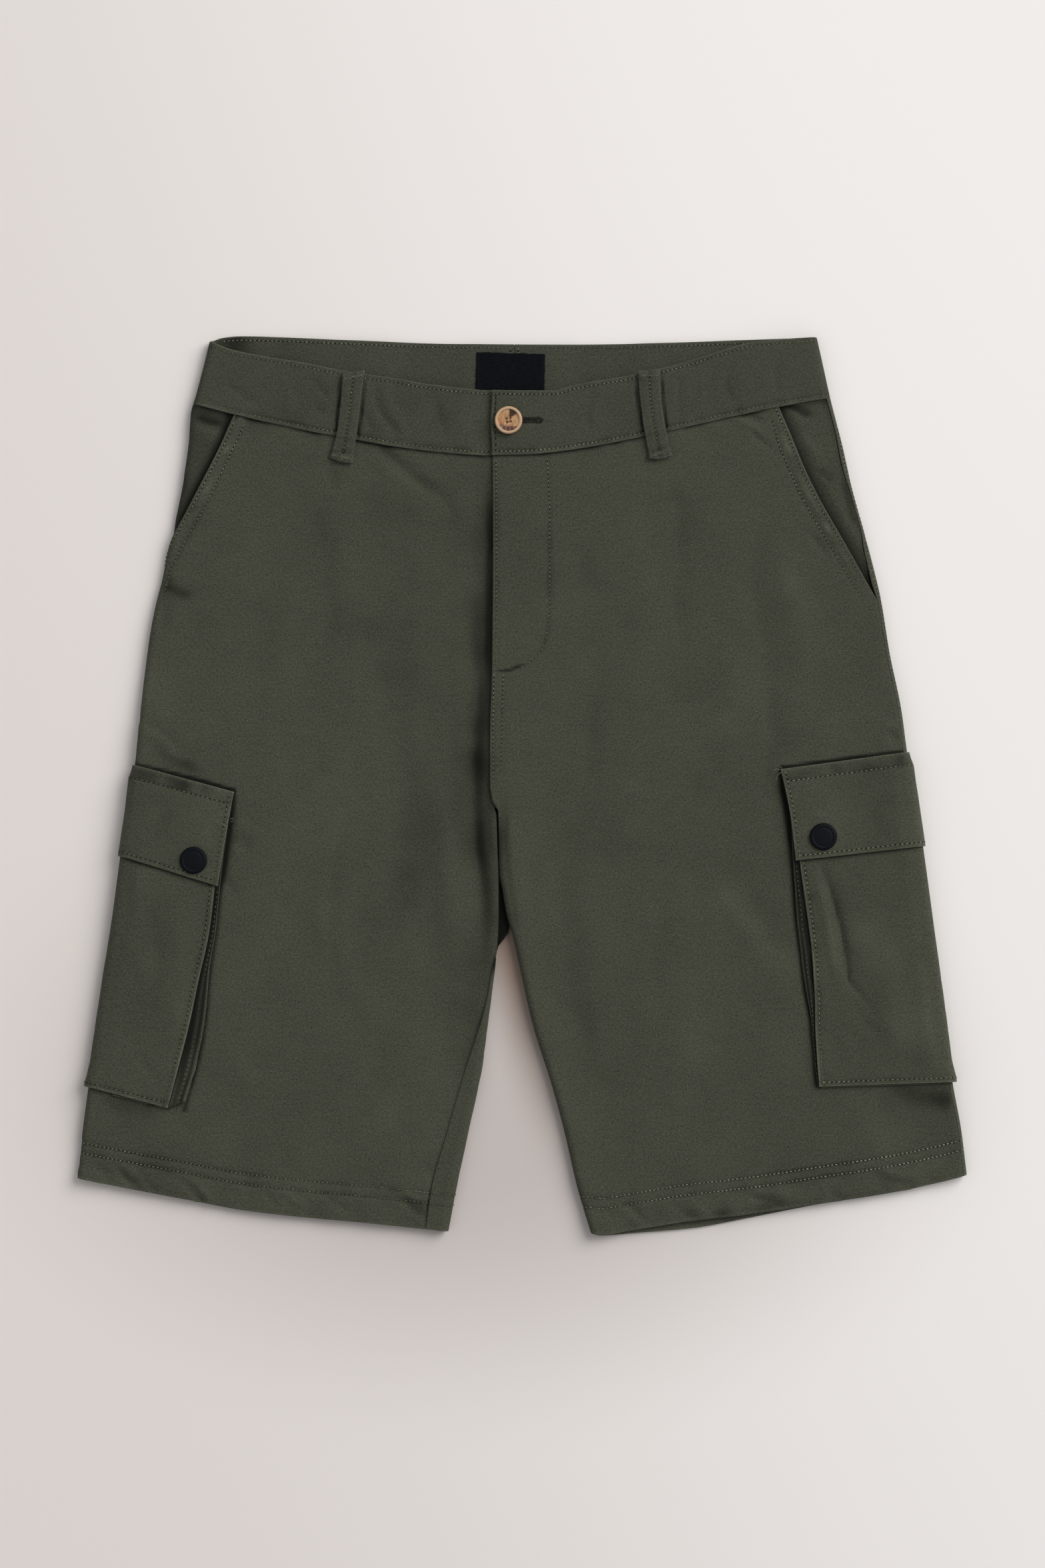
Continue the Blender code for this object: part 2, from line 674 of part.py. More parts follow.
def give_hemmed_wall(made, points, hem_points):
    """Gives a panel its wall, thicker in the turned hem that its last points make."""
    give_wall(made, HEM_WALL)
    group = made.vertex_groups.new(name="Wall")
    group.add(list(range(points - hem_points)), WALL / HEM_WALL, "REPLACE")
    group.add(list(range(points - hem_points, points)), 1.0, "REPLACE")
    made.modifiers["Wall"].vertex_group = "Wall"


def tube_rows(tube, places, heights, line, lift=None):
    """Grid of points on a tube.

    places(y) gives the distances of a row's points, and line(share, x, y, place) the y of the
    point at a share of the way down.
    """
    rows = []
    for share in heights:
        row = []
        for column in range(len(places(0.0))):
            y = line(share, tube.outer(0.0), 0.0, 1.0)
            for _ in range(6):
                place = places(y)[column]
                y = line(share, tube.point(place, y)[0], y, place)
            place = places(y)[column]
            row.append(tube.point(place, y, lift(place, y) if lift else 0.0))
        rows.append(row)
    return rows


def between(start, end, near_start, count, near_end):
    """Places from start to end: fixed steps near both, and count more spread between them."""
    toward = math.copysign(1.0, end - start)
    first = start + toward * near_start[-1]
    last = end - toward * near_end[-1]
    middle = [first + (last - first) * (i + 1) / (count + 1) for i in range(count)]
    starts = [start + toward * step for step in near_start]
    return starts + middle + [end - toward * step for step in reversed(near_end)]


# Legs


def panel_heights(leg, hip=True):
    """A panel's rows: -1 to 0 from the waist to the upper line, on to 1 at the fold of the hem.

    The panels of a leg have the same rows below the upper line, so seams keep their gap. Rows
    are split where a slanted edge goes round the side fold, and where the inseam begins.
    """
    upper = [-1 + i / UPPER_ROWS for i in range(UPPER_ROWS)]
    length = UPPER_LINE - FULL_HEM
    hem = [1 - (HEM_DEPTH - depth) / length for depth in HEM_ROWS]
    top = hem[0] - 1.5 / length
    lower = []
    for i in range(LOWER_ROWS):
        split = 1
        if leg.side < 0 and i in HIP_ROWS and hip:
            split = HIP_SPLIT
        if i in INSEAM_ROWS[leg.side]:
            split = INSEAM_SPLIT
        lower += [top * (i + j / split) / LOWER_ROWS for j in range(split)]
    return upper + lower + [top] + hem[1:]


def panel_line(share, seam, hem):
    """The y of a row, from the y of the waist seam and of the hem at the same x."""
    if share < 0:
        return UPPER_LINE + (seam - SEAM_HALF - UPPER_LINE) * -share
    return UPPER_LINE + (hem - UPPER_LINE) * share


def make_front(leg, name):
    """A front, from the side seam or the hip pocket to the centre and the inseam."""
    near_side = ROUND_FOLD if leg.side < 0 else BESIDE_FOLD

    def places(y):
        return between(leg.front_start(y), leg.front_finish(y), near_side, 7, INSIDE_FOLD)

    def line(share, x, y, place):
        return panel_line(share, waist_seam(x, place), leg.hem(1, x))

    def lift(place, y):
        gape = bump(place - leg.front_start(y), SLANT_GAPE_REACH)
        return SLANT_GAPE * gape * ramp(leg.slant_place(y), 6, 14)

    rows = tube_rows(leg, places, panel_heights(leg), line, lift)
    columns = len(rows[0])
    front = sheet(name, rows, cloth, probe=columns // 2)
    give_hemmed_wall(front, columns * len(rows), columns * 3)


def make_back(leg, name):
    """A back, from the side seam under the leg to the seat seam and the inseam."""
    near_side = BESIDE_FOLD if leg.side < 0 else ROUND_FOLD
    near_inside = HIDDEN_FOLD if leg.side < 0 else INSIDE_FOLD

    def places(y):
        return between(leg.back_start(y), leg.back_finish(y), near_side, 6, near_inside)

    def line(share, x, y, place):
        return panel_line(share, waist_seam(x, place), leg.hem(-1, x))

    rows = tube_rows(leg, places, panel_heights(leg, hip=False), line)
    columns = len(rows[0])
    back = sheet(name, rows, cloth, probe=columns // 2, faces_up=False)
    give_hemmed_wall(back, columns * len(rows), columns * 3)


def make_facing(leg, name):
    """The piece of the hip pocket that shows between its slanted edge and the side seam."""

    low = leg.hip_end - 4

    def places(y):
        start = leg.side_seam(y) + FACING_GAP
        span = leg.slant_place(y) + FACING_UNDER - start
        fold = min(FACING_FOLD, span * 0.6)
        shares = [i / FACING_COLUMNS for i in range(1, FACING_COLUMNS + 1)]
        on_fold = [start, start + 0.4] + [start + fold * share for share in shares]
        return on_fold + [start + fold + (span - fold) * (i + 1) / 4 for i in range(4)]

    def line(share, x, y, place):
        return panel_line(share, waist_seam(x, place), leg.hem(1, x))

    def lift(place, y):
        slant = leg.slant_place(y)
        return -FACING_DROP * ramp(place, slant - FACING_TURN, slant - 1.5)

    length = UPPER_LINE - leg.hem(1, leg.outer(low))
    last = (UPPER_LINE - low) / length
    heights = [share for share in panel_heights(leg) if share < last - 3 / length] + [last]
    rows = tube_rows(leg, places, heights, line, lift)
    give_wall(sheet(name, rows, cloth, probe=len(rows[0]) - 2), WALL)


# Waistband and its loops


def band_height(x):
    """Height of the waistband's outer face."""
    return BAND_HEIGHT + fly_rise(x, front_seam(x))


def make_band(side, outer, front_ends, back_ends, name):
    """Half of the waistband in one strip: its front, the side fold and its back.

    front_ends and back_ends are the x of its points on the two faces.
    """
    lap_edge = LEFT_FRONT_END[0].x

    def top(x, y):
        drop = BAND_LAP_DROP * ramp(x, lap_edge - LAP_REACH, lap_edge - 1) if side < 0 else 0.0
        return band_height(x) - drop

    def under(x, y):
        return LAYER * loops_below(x)

    far = -side * 400.0
    never = (-1000.0, -1001.0)
    tube = Tube(side, Curve(outer, "y", "x"), lambda y: far, top, under, {1: never, -1: never})

    def places(y):
        fronts = [tube.reach_to(1, x, y) for x in front_ends]
        backs = [-tube.reach_to(-1, x, y) for x in back_ends]
        return fronts + [6.8, 4.5, 2.2, 0.0, -2.2, -4.5, -6.8] + backs

    def line(share, x, y, place):
        edge = front_top(x) if place >= 0 else back_top(x)
        return edge * (1 - share) + (waist_seam(x, place) + SEAM_HALF) * share

    rows = tube_rows(tube, places, (0.0, 0.33, 0.66, 1.0), line)
    give_wall(sheet(name, rows, band), BAND_WALL)


def strip_rows(start, end, width, steps, height):
    """Grid of a straight strip of cloth between two points, at height(x, y, share)."""
    run_x = end.x - start.x
    run_y = end.y - start.y
    length = math.hypot(run_x, run_y)
    rows = []
    for i in range(steps + 1):
        share = i / steps
        row = []
        for shift in (-width / 2, 0.0, width / 2):
            x = start.x + run_x * share - run_y / length * shift
            y = start.y + run_y * share + run_x / length * shift
            row.append((x, y, height(x, y, share)))
        rows.append(row)
    return rows


def make_front_loop(leg, ends, name):
    """A belt loop on the front, arched over the waistband with its foot on the front panel."""

    def height(x, y, share):
        on_band = y > front_seam(x) - 1.5
        base = band_height(x) if on_band else leg.front_height(x, y)
        return base + SEAM_GAP + LOOP_WALL + LOOP_ARCH * math.sin(math.pi * share)

    give_wall(sheet(name, strip_rows(*ends, LOOP_WIDTH, 7, height), band), LOOP_WALL)


def make_back_loop(x, name):
    """A belt loop on the back, flat under the waistband."""
    low = back_seam(x) - BACK_LOOP_FOOT
    ends = (At(x, low + BACK_LOOP_LENGTH), At(x, low))
    rows = strip_rows(*ends, LOOP_WIDTH, 4, lambda x, y, share: 0.0)
    give_wall(sheet(name, rows, band, faces_up=False), WALL)


# Cargo pockets


def cargo_rows(leg, width, heights, top, low, lift):
    """Grid of a piece that goes from its front edge round the side fold to its back edge.

    top(inset) and low(inset) are its upper and lower lines.
    """

    def places(y):
        front = leg.distance(width(y), y)
        back = -leg.distance(POCKET_WIDTH - width(y), y)
        inside = [POCKET_RISE_TO + (front - 6 - POCKET_RISE_TO) * i / 5 for i in range(5, -1, -1)]
        fold = [11.0, 8.0, 6.0, 4.0, 2.0, 0.0, -2.0, -4.0, -6.2]
        return [front] + inside + fold + [back * 0.45, back * 0.75, back]

    def line(share, x, y, place):
        inset = abs(leg.inset(x, y))
        return top(inset) * (1 - share) + low(inset) * share

    return tube_rows(leg, places, heights, line, lift)


def make_cargo(leg, side_name):
    """A cargo pocket, its gusset, its flap and the flap's snap."""
    cargo = leg.cargo

    def mouth(inset):
        return cargo.line(cargo.flap_top, inset) - POCKET_MOUTH

    def bottom(inset):
        return cargo.line(cargo.bottom, inset)

    def outside(lift):
        return lambda place, y: lift(place, y) + WALL

    rows = cargo_rows(
        leg, cargo.width, [i / 11 for i in range(12)], mouth, bottom, outside(leg.pocket_lift)
    )
    give_wall(sheet(f"cargo_pocket_{side_name}", rows, cloth), WALL)

    rows = cargo_rows(
        leg,
        cargo.flap_width,
        (0.0, 0.055, 0.11, 0.165, 0.33, 0.55, 0.78, 1.0),
        lambda inset: cargo.line(cargo.flap_top, inset),
        lambda inset: cargo.line(cargo.flap_bottom, inset),
        outside(leg.flap_lift),
    )
    give_wall(sheet(f"cargo_flap_{side_name}", rows, cloth), WALL)
    make_gusset(leg, f"cargo_gusset_{side_name}")


def make_gusset(leg, name):
    """The strip between the pocket and the leg, down its front edge and along its bottom."""
    cargo = leg.cargo
    across = (-GUSSET_INSIDE, -GUSSET_INSIDE / 2, 0.0, 1.0)
    corner_inset = cargo.width(cargo.line(cargo.bottom, cargo.width(-190.0)))
    corner = cargo.line(cargo.bottom, corner_inset)
    first = cargo.line(cargo.flap_top, cargo.width(0.0)) - POCKET_MOUTH
    rows = []
    for i in range(10):
        y = first + (corner - first) * i / 9
        reach = leg.distance(cargo.width(y), y)
        row = []
        for step in across:
            out = step * cargo.gusset_out(y) if step > 0 else step
            low = 0.0
            if i == 9:
                low = GUSSET_LOW - GUSSET_RISE * out if step > 0 else step
            row.append(leg.point(reach + out, y - low, SEAM_GAP + WALL))
        rows.append(row)
    end = cargo.line(cargo.bottom, GUSSET_END)
    for i in range(1, 6):
        share = i / 5
        row = []
        for step in across:
            reach = leg.distance(corner_inset, corner) + min(step, 0.0)
            place = reach + (GUSSET_END - reach) * share
            y = corner + (end - corner) * share
            row.append(leg.point(place, y - min(step, GUSSET_LOW), SEAM_GAP + WALL))
        rows.append(row)
    give_wall(sheet(name, rows, cloth), WALL)


# Round and flat trim


def turned(name, profile, at, seat, material):
    """A round piece: profile gives (radius, height) from its top's middle down to its underside."""
    mesh = bmesh.new()
    points = [mesh.verts.new(metres((radius, 0.0, height))) for radius, height in profile]
    for upper, lower in zip(points, points[1:]):
        mesh.edges.new((upper, lower))
    made = link(name, mesh, material)
    made.location = metres((at.x, at.y, seat))
    screw = made.modifiers.new("Turn", "SCREW")
    screw.steps = ROUND_STEPS
    screw.render_steps = ROUND_STEPS
    screw.use_merge_vertices = True
    screw.merge_threshold = 0.00001
    return made


def seat_height(at, radius, height):
    """Height that clears a surface under a round piece of this radius."""
    angles = [math.tau * i / 12 for i in range(12)]
    rim = [(at.x + radius * math.cos(a), at.y + radius * math.sin(a)) for a in angles]
    return max(height(x, y) for x, y in rim + [at]) + SEAM_GAP


def make_button():
    """The waist button, dished inside its rim."""
    edge = BUTTON_DIAMETER / 2
    profile = (
        (0, BUTTON_HEIGHT - BUTTON_DISH), (edge - BUTTON_RIM - 1, BUTTON_HEIGHT - BUTTON_DISH),
        (edge - BUTTON_RIM, BUTTON_HEIGHT - 0.2), (edge - BUTTON_RIM / 2, BUTTON_HEIGHT),
        (edge - 0.3, BUTTON_HEIGHT - 0.4), (edge, BUTTON_HEIGHT - 1.2), (edge - 0.6, 0.4),
        (edge - 1.6, 0), (0, 0),
    )
    seat = seat_height(BUTTON_AT, edge, lambda x, y: band_height(x))
    turned("waist_button", profile, BUTTON_AT, seat, button)


def make_snap(leg, at, name):
    """The cap of the snap on a cargo flap."""
    edge = SNAP_DIAMETER / 2
    profile = (
        (0, SNAP_HEIGHT), (edge * 0.5, SNAP_HEIGHT - 0.1), (edge * 0.82, SNAP_HEIGHT - 0.45),
        (edge * 0.96, SNAP_HEIGHT - 1.0), (edge, SNAP_HEIGHT - 1.7), (edge - 0.4, 0), (0, 0),
    )

    def on_flap(x, y):
        place = leg.distance(leg.inset(x, y), y)
        return leg.point(place, y, leg.flap_lift(place, y) + WALL)[2]

    turned(name, profile, at, seat_height(at, edge, on_flap), snap)


def make_label():
    """The plain label inside the back of the waistband."""
    mesh = bmesh.new()
    bmesh.ops.create_cube(mesh, size=1.0)
    size = metres((LABEL_WIDTH, LABEL_HEIGHT, LABEL_WALL))
    bmesh.ops.scale(mesh, vec=size, verts=mesh.verts)
    made = link("label", mesh, label)
    inner_face = LAYER + BAND_WALL + SEAM_GAP
    made.location = metres((LABEL_AT.x, LABEL_AT.y, inner_face + LABEL_WALL / 2))
    made.rotation_euler.z = LABEL_TURN


# The shorts

for startup_object in list(bpy.data.objects):
    bpy.data.objects.remove(startup_object)

shorts = bpy.data.collections.new("Cargo shorts")
bpy.context.scene.collection.children.link(shorts)
cloth = finish("Olive cloth", CLOTH_COLOUR, 0.9)
band = finish("Olive cloth, folded double", BAND_COLOUR, 0.9)
label = finish("Black woven label", LABEL_COLOUR, 0.8)
snap = finish("Painted snap", SNAP_COLOUR, 0.45)
button = finish("Brown button", BUTTON_COLOUR, 0.35)

right_cargo = Cargo(
    Lines(13.3, -0.263), Lines(-43.8, -0.299), Lines(-187.6, -0.262),
    RIGHT_POCKET_WIDTHS, RIGHT_FLAP_WIDTHS, RIGHT_GUSSET_OUT, RIGHT_POCKET_FOLDS,
)
left_cargo = Cargo(
    Lines(21.3, -0.133), Lines(-37.6, -0.112), Lines(-184.8, -0.036),
    LEFT_POCKET_WIDTHS, LEFT_FLAP_WIDTHS, LEFT_GUSSET_OUT, LEFT_POCKET_FOLDS,
)
right_leg = Leg(
    -1, (RIGHT_OUTER, RIGHT_INNER, RIGHT_FRONT_END, RIGHT_BACK_END), RIGHT_HIP,
    (RIGHT_HEM, RIGHT_HEM), RIGHT_BACK_CURL, RIGHT_WEB_END, right_cargo, RIGHT_FRONT_FOLDS,
)
left_leg = Leg(
    1, (LEFT_OUTER, LEFT_INNER, LEFT_FRONT_END, LEFT_BACK_END), LEFT_HIP,
    (LEFT_FRONT_HEM, LEFT_BACK_HEM), LEFT_BACK_CURL, LEFT_WEB_END, left_cargo, LEFT_FRONT_FOLDS,
)

for leg, side_name, loop, snap_at in (
    (right_leg, "right", RIGHT_LOOP, RIGHT_SNAP_AT),
    (left_leg, "left", LEFT_LOOP, LEFT_SNAP_AT),
):
    make_front(leg, f"front_{side_name}")
    make_back(leg, f"back_{side_name}")
    make_facing(leg, f"pocket_facing_{side_name}")
    make_front_loop(leg, loop, f"belt_loop_front_{side_name}")
    make_cargo(leg, side_name)
    make_snap(leg, snap_at, f"cargo_snap_{side_name}")

make_band(-1, RIGHT_OUTER, RIGHT_BAND_FRONT, RIGHT_BAND_BACK, "waistband_right")
make_band(1, LEFT_OUTER, LEFT_BAND_FRONT, LEFT_BAND_BACK, "waistband_left")
for side_name, x in BACK_LOOPS_AT.items():
    make_back_loop(x, f"belt_loop_back_{side_name}")
make_button()
make_label()
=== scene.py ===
"""Cargo shorts laid flat, as a picture: their cloth, folds, stitching and trim, light and camera.

The frame is the CAD's: +X to the right and +Y towards the waist as seen from above, +Z up from
the surface. Sizes are in millimetres and become metres where the meshes are made. Right and left
are the wearer's, so the right leg is the one at -X.

Every panel is a sheet of points read from a tube, the flattened leg that the front and back make
between them, as in the CAD. A place on a tube is the signed distance along the cloth from its
side fold, forward on the front and backward on the back. Relief is added outwards to the sheet.
"""

from __future__ import annotations

import logging
import math
import sys
from collections.abc import Callable, Sequence
from dataclasses import dataclass, replace
from enum import Enum
from functools import partial
from typing import NamedTuple

import bpy
import numpy as np
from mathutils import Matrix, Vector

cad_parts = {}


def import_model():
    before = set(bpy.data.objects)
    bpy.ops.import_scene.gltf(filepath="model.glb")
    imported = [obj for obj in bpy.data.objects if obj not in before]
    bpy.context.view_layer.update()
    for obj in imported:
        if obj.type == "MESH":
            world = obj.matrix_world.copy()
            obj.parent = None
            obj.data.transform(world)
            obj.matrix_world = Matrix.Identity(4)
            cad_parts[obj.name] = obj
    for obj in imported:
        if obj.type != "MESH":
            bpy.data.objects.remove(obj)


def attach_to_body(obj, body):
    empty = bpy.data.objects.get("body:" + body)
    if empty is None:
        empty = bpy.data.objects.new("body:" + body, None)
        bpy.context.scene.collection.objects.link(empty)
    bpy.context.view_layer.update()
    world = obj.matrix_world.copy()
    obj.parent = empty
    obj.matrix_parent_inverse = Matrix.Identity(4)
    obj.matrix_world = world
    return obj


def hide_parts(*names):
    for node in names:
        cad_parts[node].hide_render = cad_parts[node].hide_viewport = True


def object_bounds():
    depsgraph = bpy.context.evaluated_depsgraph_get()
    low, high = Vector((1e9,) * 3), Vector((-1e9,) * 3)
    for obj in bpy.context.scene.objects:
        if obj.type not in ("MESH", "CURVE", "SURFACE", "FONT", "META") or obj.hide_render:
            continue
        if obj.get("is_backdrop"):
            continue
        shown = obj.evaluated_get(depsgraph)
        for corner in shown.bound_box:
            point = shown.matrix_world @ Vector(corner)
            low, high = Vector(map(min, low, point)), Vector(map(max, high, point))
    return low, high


log = logging.getLogger("cargo_shorts")

Array = np.ndarray
Number = float | Array
Triple = tuple[float, float, float]
Route = tuple[tuple[float, float], ...]

MM = 0.001

# Cloth and seams
WALL = 1.2
BAND_WALL = 2.4
HEM_WALL = 1.8
LOOP_WALL = 1.6
LABEL_WALL = 0.6
SEAM_GAP = 0.3
SEAM_HALF = 0.06
HEM_DEPTH = 24.0

# How the layers lie on each other
BODY_HEIGHT = 5.8
FOLD_PUFF = 2.0
FOLD_PUFF_REACH = 24.0
FOLD_DEPTH = 3.0
INNER_PUFF_REACH = 12.0
WAIST_PUFF_REACH = 34.0
FLY_RISE = 0.9
FLY_WAIST_RISE = 1.1
FLY_WAIST_LENGTH = 55.0
FLY_MIDDLE = -3.0
FLY_REACH = 27.0
FLY_END = 72.0
LAP_DROP = 1.8
LAP_REACH = 22.0
LAP_END = (-33.0, -15.0)
BAND_HEIGHT = 8.7
BAND_OVER_SEAM = 0.3
BAND_LAP_DROP = 2.7
LAYER = WALL + SEAM_GAP

# Zones that stand up over what lies under them
ZONE_MARGIN = 16.0
ZONE_RAMP = 20.0
WIDE_RAMP = 34.0
FLAP_WIDE_RAMP = 60.0

# Belt loops
LOOP_WIDTH = 14.2
LOOP_ARCH = 0.5
BACK_LOOP_LENGTH = 49.6
BACK_LOOP_FOOT = 12.0
BACK_LOOPS_AT = {"right": -112.0, "center": -4.5, "left": 104.0}
LOOP_FLAT = 24.0
LOOP_RAMP = 20.0

# Levels across the panels: rows above the upper one follow the waist, rows below it the hem
UPPER_LINE = 176.1
HEM_LEVEL = -275.0

# Cargo pockets
POCKET_WIDTH = 150.0
POCKET_MOUTH = 11.0
POCKET_LOW = -190.0
POCKET_OVER_GUSSET = 1.9
POCKET_RISE_FROM = 3.0
POCKET_RISE_TO = 16.0
POCKET_EDGE_FADE = 18.0
POCKET_FLARE = 1.6
POCKET_FLARE_LENGTH = 16.0
GUSSET_TOP = -20.0
GUSSET_INSIDE = 12.0
GUSSET_LOW = 0.8
GUSSET_RISE = 0.45
GUSSET_END = 18.0

# Hip pockets
SLANT_GAPE = 0.7
SLANT_GAPE_REACH = 8.0
FACING_UNDER = 14.0
FACING_GAP = 0.6
FACING_DROP = 1.6
FACING_TURN = 9.0
# Painted shade on each hip pocket's facing, which lies lower, under the front's slanted edge; below zero
# is darker
FACING_PAINTED_SHADE = {-1: -0.38, 1: -0.16}

# Buttons
BUTTON_DIAMETER = 17.6
BUTTON_HEIGHT = 3.2
BUTTON_DISH = 0.8
SNAP_DIAMETER = 17.0
SNAP_TOP = 2.0

# Label
LABEL_WIDTH = 43.0
LABEL_HEIGHT = 30.0
LABEL_TURN = math.radians(-1.6)


class At(NamedTuple):
    """A point as seen from above."""

    x: float
    y: float


class Edge(NamedTuple):
    """Where an edge is at a height."""

    y: float
    x: float


class Turn(NamedTuple):
    """A ring of a round piece, as a share of its radius, and its height above the seat."""

    share: float
    height: float


class Hip(NamedTuple):
    """Places of the hip pocket's slanted edge and of the side seam at a height."""

    y: float
    slant: float
    seam: float


class Width(NamedTuple):
    """How far in from the side fold something reaches on the front, at a height."""

    y: float
    front: float


class Fold(NamedTuple):
    """A straight fold from one point to another. A trough is below zero."""

    x0: float
    y0: float
    x1: float
    y1: float
    reach: float
    height: float


class Lines(NamedTuple):
    """A line by its y at the side fold and its slope inwards."""

    at_fold: float
    slope: float


class Crease(NamedTuple):
    """A soft fold along a path, narrower on its lower left side by the factor steep."""

    reach: float
    height: float
    path: Route
    steep: float = 1.0


def table(kind: Callable[..., NamedTuple], *rows: tuple) -> tuple:
    """A short table from its rows, whose columns are the fields of kind."""
    return tuple(kind(*row) for row in rows)


# Side folds, from the waist to the hem. Under a cargo pocket they lie inside its layers.
RIGHT_OUTER = table(
    Edge,
    (281, -195.2), (264.6, -199.2), (244.6, -204.4), (232, -208.0), (216, -208.9), (183, -214.2),
    (150, -221.4), (133, -225.6), (100, -232.2), (50, -238.8), (13, -242.6), (-17, -246.2),
    (-50, -251.0), (-84, -255.6), (-117, -261.0), (-150, -266.0), (-184, -271.0), (-217, -275.6),
    (-245.4, -278.8),
)
LEFT_OUTER = table(
    Edge,
    (281, 184.2), (264.6, 187.9), (244.6, 192.3), (216, 199.6), (183, 207.1), (150, 216.3), (116, 224.6),
    (83, 230.0), (50, 236.7), (21, 240.6), (0, 243.6), (-34, 248.6), (-50, 250.8), (-84, 255.5),
    (-117, 260.1), (-150, 264.6), (-184, 269.0), (-217, 275.0), (-243.3, 278.3),
)

# Folds on the inside of the legs, from the crotch to the hem
RIGHT_INNER = table(
    Edge,
    (-15, -16.2), (-40, -15.4), (-60, -14.9), (-80, -15.0), (-103, -16.0), (-127.5, -18.8),
    (-150, -21.7), (-184, -26.3), (-217, -33.8), (-250, -40.4), (-279, -46.3),
)
LEFT_INNER = table(
    Edge,
    (-15, -15.4), (-40, -14.9), (-56, -14.3), (-64, -12.7), (-80, -9.9), (-92, -6.5), (-117, -1.0),
    (-149, 6.3), (-189, 18.8), (-217, 26.3), (-251, 34.2), (-281, 43.2),
)

# Inner ends of the fronts. Past an inner fold, the fold itself is the end.
RIGHT_FRONT_END = table(
    Edge,
    (240, -9.0), (30, -10.4), (8, -10.4), (-6, -14.5), (-14, -17.2), (-24, -13.0), (-98, -14.0),
    (-109.6, -17.6), (-133.4, -22.2), (-149, -26.7), (-181, -37.1), (-217, -47.5), (-251, -57.1),
    (-276, -60.6),
)
LEFT_FRONT_END = table(
    Edge,
    (240, -19.2), (152, -18.5), (72, -19.2), (30, -20.4), (1, -20.4), (-9, -19.0), (-14, -16.6),
    (-24, -20.0),
)
FRONT_CURL = (-14.0, -30.0)
FRONT_TUCK = 2.2
FRONT_TUCK_SPAN = (-36.0, -46.0, -78.0, -88.0)

# Inner ends of the backs: the seat seam, then the edge of the web between the legs
BACK_END = table(
    Edge,
    (240, -5.0), (100, -8.0), (0, -13.0), (-40, -15.0), (-56, -14.4), (-64, -12.9), (-80, -10.2),
    (-90, -8.0),
)
RIGHT_BACK_END = BACK_END + table(Edge, (-96, -11.5), (-102, -15.4), (-110, -13.0))
LEFT_BACK_END = BACK_END + table(Edge, (-110, -8.0))
RIGHT_BACK_CURL = (-88.0, -108.0)
LEFT_BACK_CURL = (-84.0, -101.0)
RIGHT_WEB_END = -102.0
LEFT_WEB_END = -90.0
INSEAM_TOP = -108.0

# The waist, from the right side fold to the left one
FRONT_SEAM = table(
    At,
    (-206.1, 239.2), (-176.7, 231.7), (-137.1, 222.9), (-103.8, 216.7), (-77.1, 212.1), (-50.4, 208.8),
    (-21.3, 206.9), (0, 207.2), (19.2, 208.9), (40, 211.9), (75.8, 218.8), (122.5, 229.2),
    (157.1, 236.7), (192.7, 243.0),
)
FRONT_TOP = table(
    At,
    (-196.3, 278.4), (-183.3, 273.0), (-160.8, 268.4), (-135.4, 264.2), (-112.9, 259.6), (-77.1, 254.2),
    (-57.1, 250.8), (-21.3, 247.5), (19.2, 247.0), (32.9, 250.6), (67.5, 256.7), (95, 262.9),
    (129.6, 273.6), (143.3, 277.2), (184.2, 280.8),
)
BACK_SEAM = table(At, (-206.1, 239.2), (-110, 238.5), (0, 237.2), (100, 239.0), (192.7, 243.0))
BACK_TOP = table(
    At,
    (-196.3, 278.4), (-186, 281.0), (-176.7, 281.7), (-110, 279.2), (-43.3, 276.9), (23.3, 276.4),
    (90, 277.5), (156.7, 280.0), (184.2, 280.8),
)

# Hems, by x. The left leg's front and back part near its inner fold.
RIGHT_HEM = table(
    At,
    (-278.8, -245.4), (-243.3, -252.5), (-210, -258.8), (-176.7, -265.2), (-143.3, -269.2),
    (-93.3, -273.8), (-46.3, -278.8),
)
LEFT_FRONT_HEM = table(
    At,
    (42.5, -279.8), (48, -280.9), (74.2, -277.1), (100, -272.9), (142.5, -267.9), (190, -260.8),
    (227.5, -255.0), (261.3, -247.9), (278.3, -243.3),
)
LEFT_BACK_HEM = table(
    At,
    (42.5, -279.8), (48, -281.7), (70.8, -280.0), (108.3, -276.7), (142.5, -270.4), (190, -261.2),
    (227.5, -255.0), (261.3, -247.9), (278.3, -243.3),
)

# Slanted edges of the hip pockets and the side seams, as distances along the cloth from the
# outermost point of the side fold. Below zero is on the back.
RIGHT_HIP = table(
    Hip,
    (240, 33.0, -7.2), (220, 25.0, -7.2), (199, 17.4, -7.2), (180, 11.0, -7.2), (162, 5.0, -7.2),
    (150, 0.4, -7.2), (136, -4.4, -7.2), (124, -7.2, -7.2),
)
LEFT_HIP = table(
    Hip,
    (243, 37.4, 5.0), (226, 34.3, 4.7), (202, 30.0, 5.6), (181, 24.8, 3.8), (163, 19.8, 3.6),
    (146, 14.7, 5.8), (128, 9.2, 6.2), (116, 4.8, 4.8),
)

# Widths of the cargo pockets and flaps on the front, as insets from the side fold
RIGHT_POCKET_WIDTHS = table(
    Width,
    (0, 62.5), (-64, 60.6), (-92, 61.0), (-122, 59.2), (-144, 58.0), (-179, 54.4), (-202, 51.6),
)
RIGHT_FLAP_WIDTHS = table(Width, (0, 64.6), (-28, 63.2), (-46, 62.9), (-63, 62.6))
LEFT_POCKET_WIDTHS = table(
    Width,
    (0, 76.0), (-48, 77.4), (-92, 77.2), (-130, 79.4), (-153, 82.0), (-188, 84.2),
)
LEFT_FLAP_WIDTHS = table(Width, (12, 81.0), (-19, 79.2), (-46, 79.9))
RIGHT_GUSSET_OUT = table(
    Width,
    (-20, 1.5), (-64, 3.2), (-107, 4.6), (-129, 7.2), (-150, 9.4), (-163, 10.2), (-192, 10.6),
)
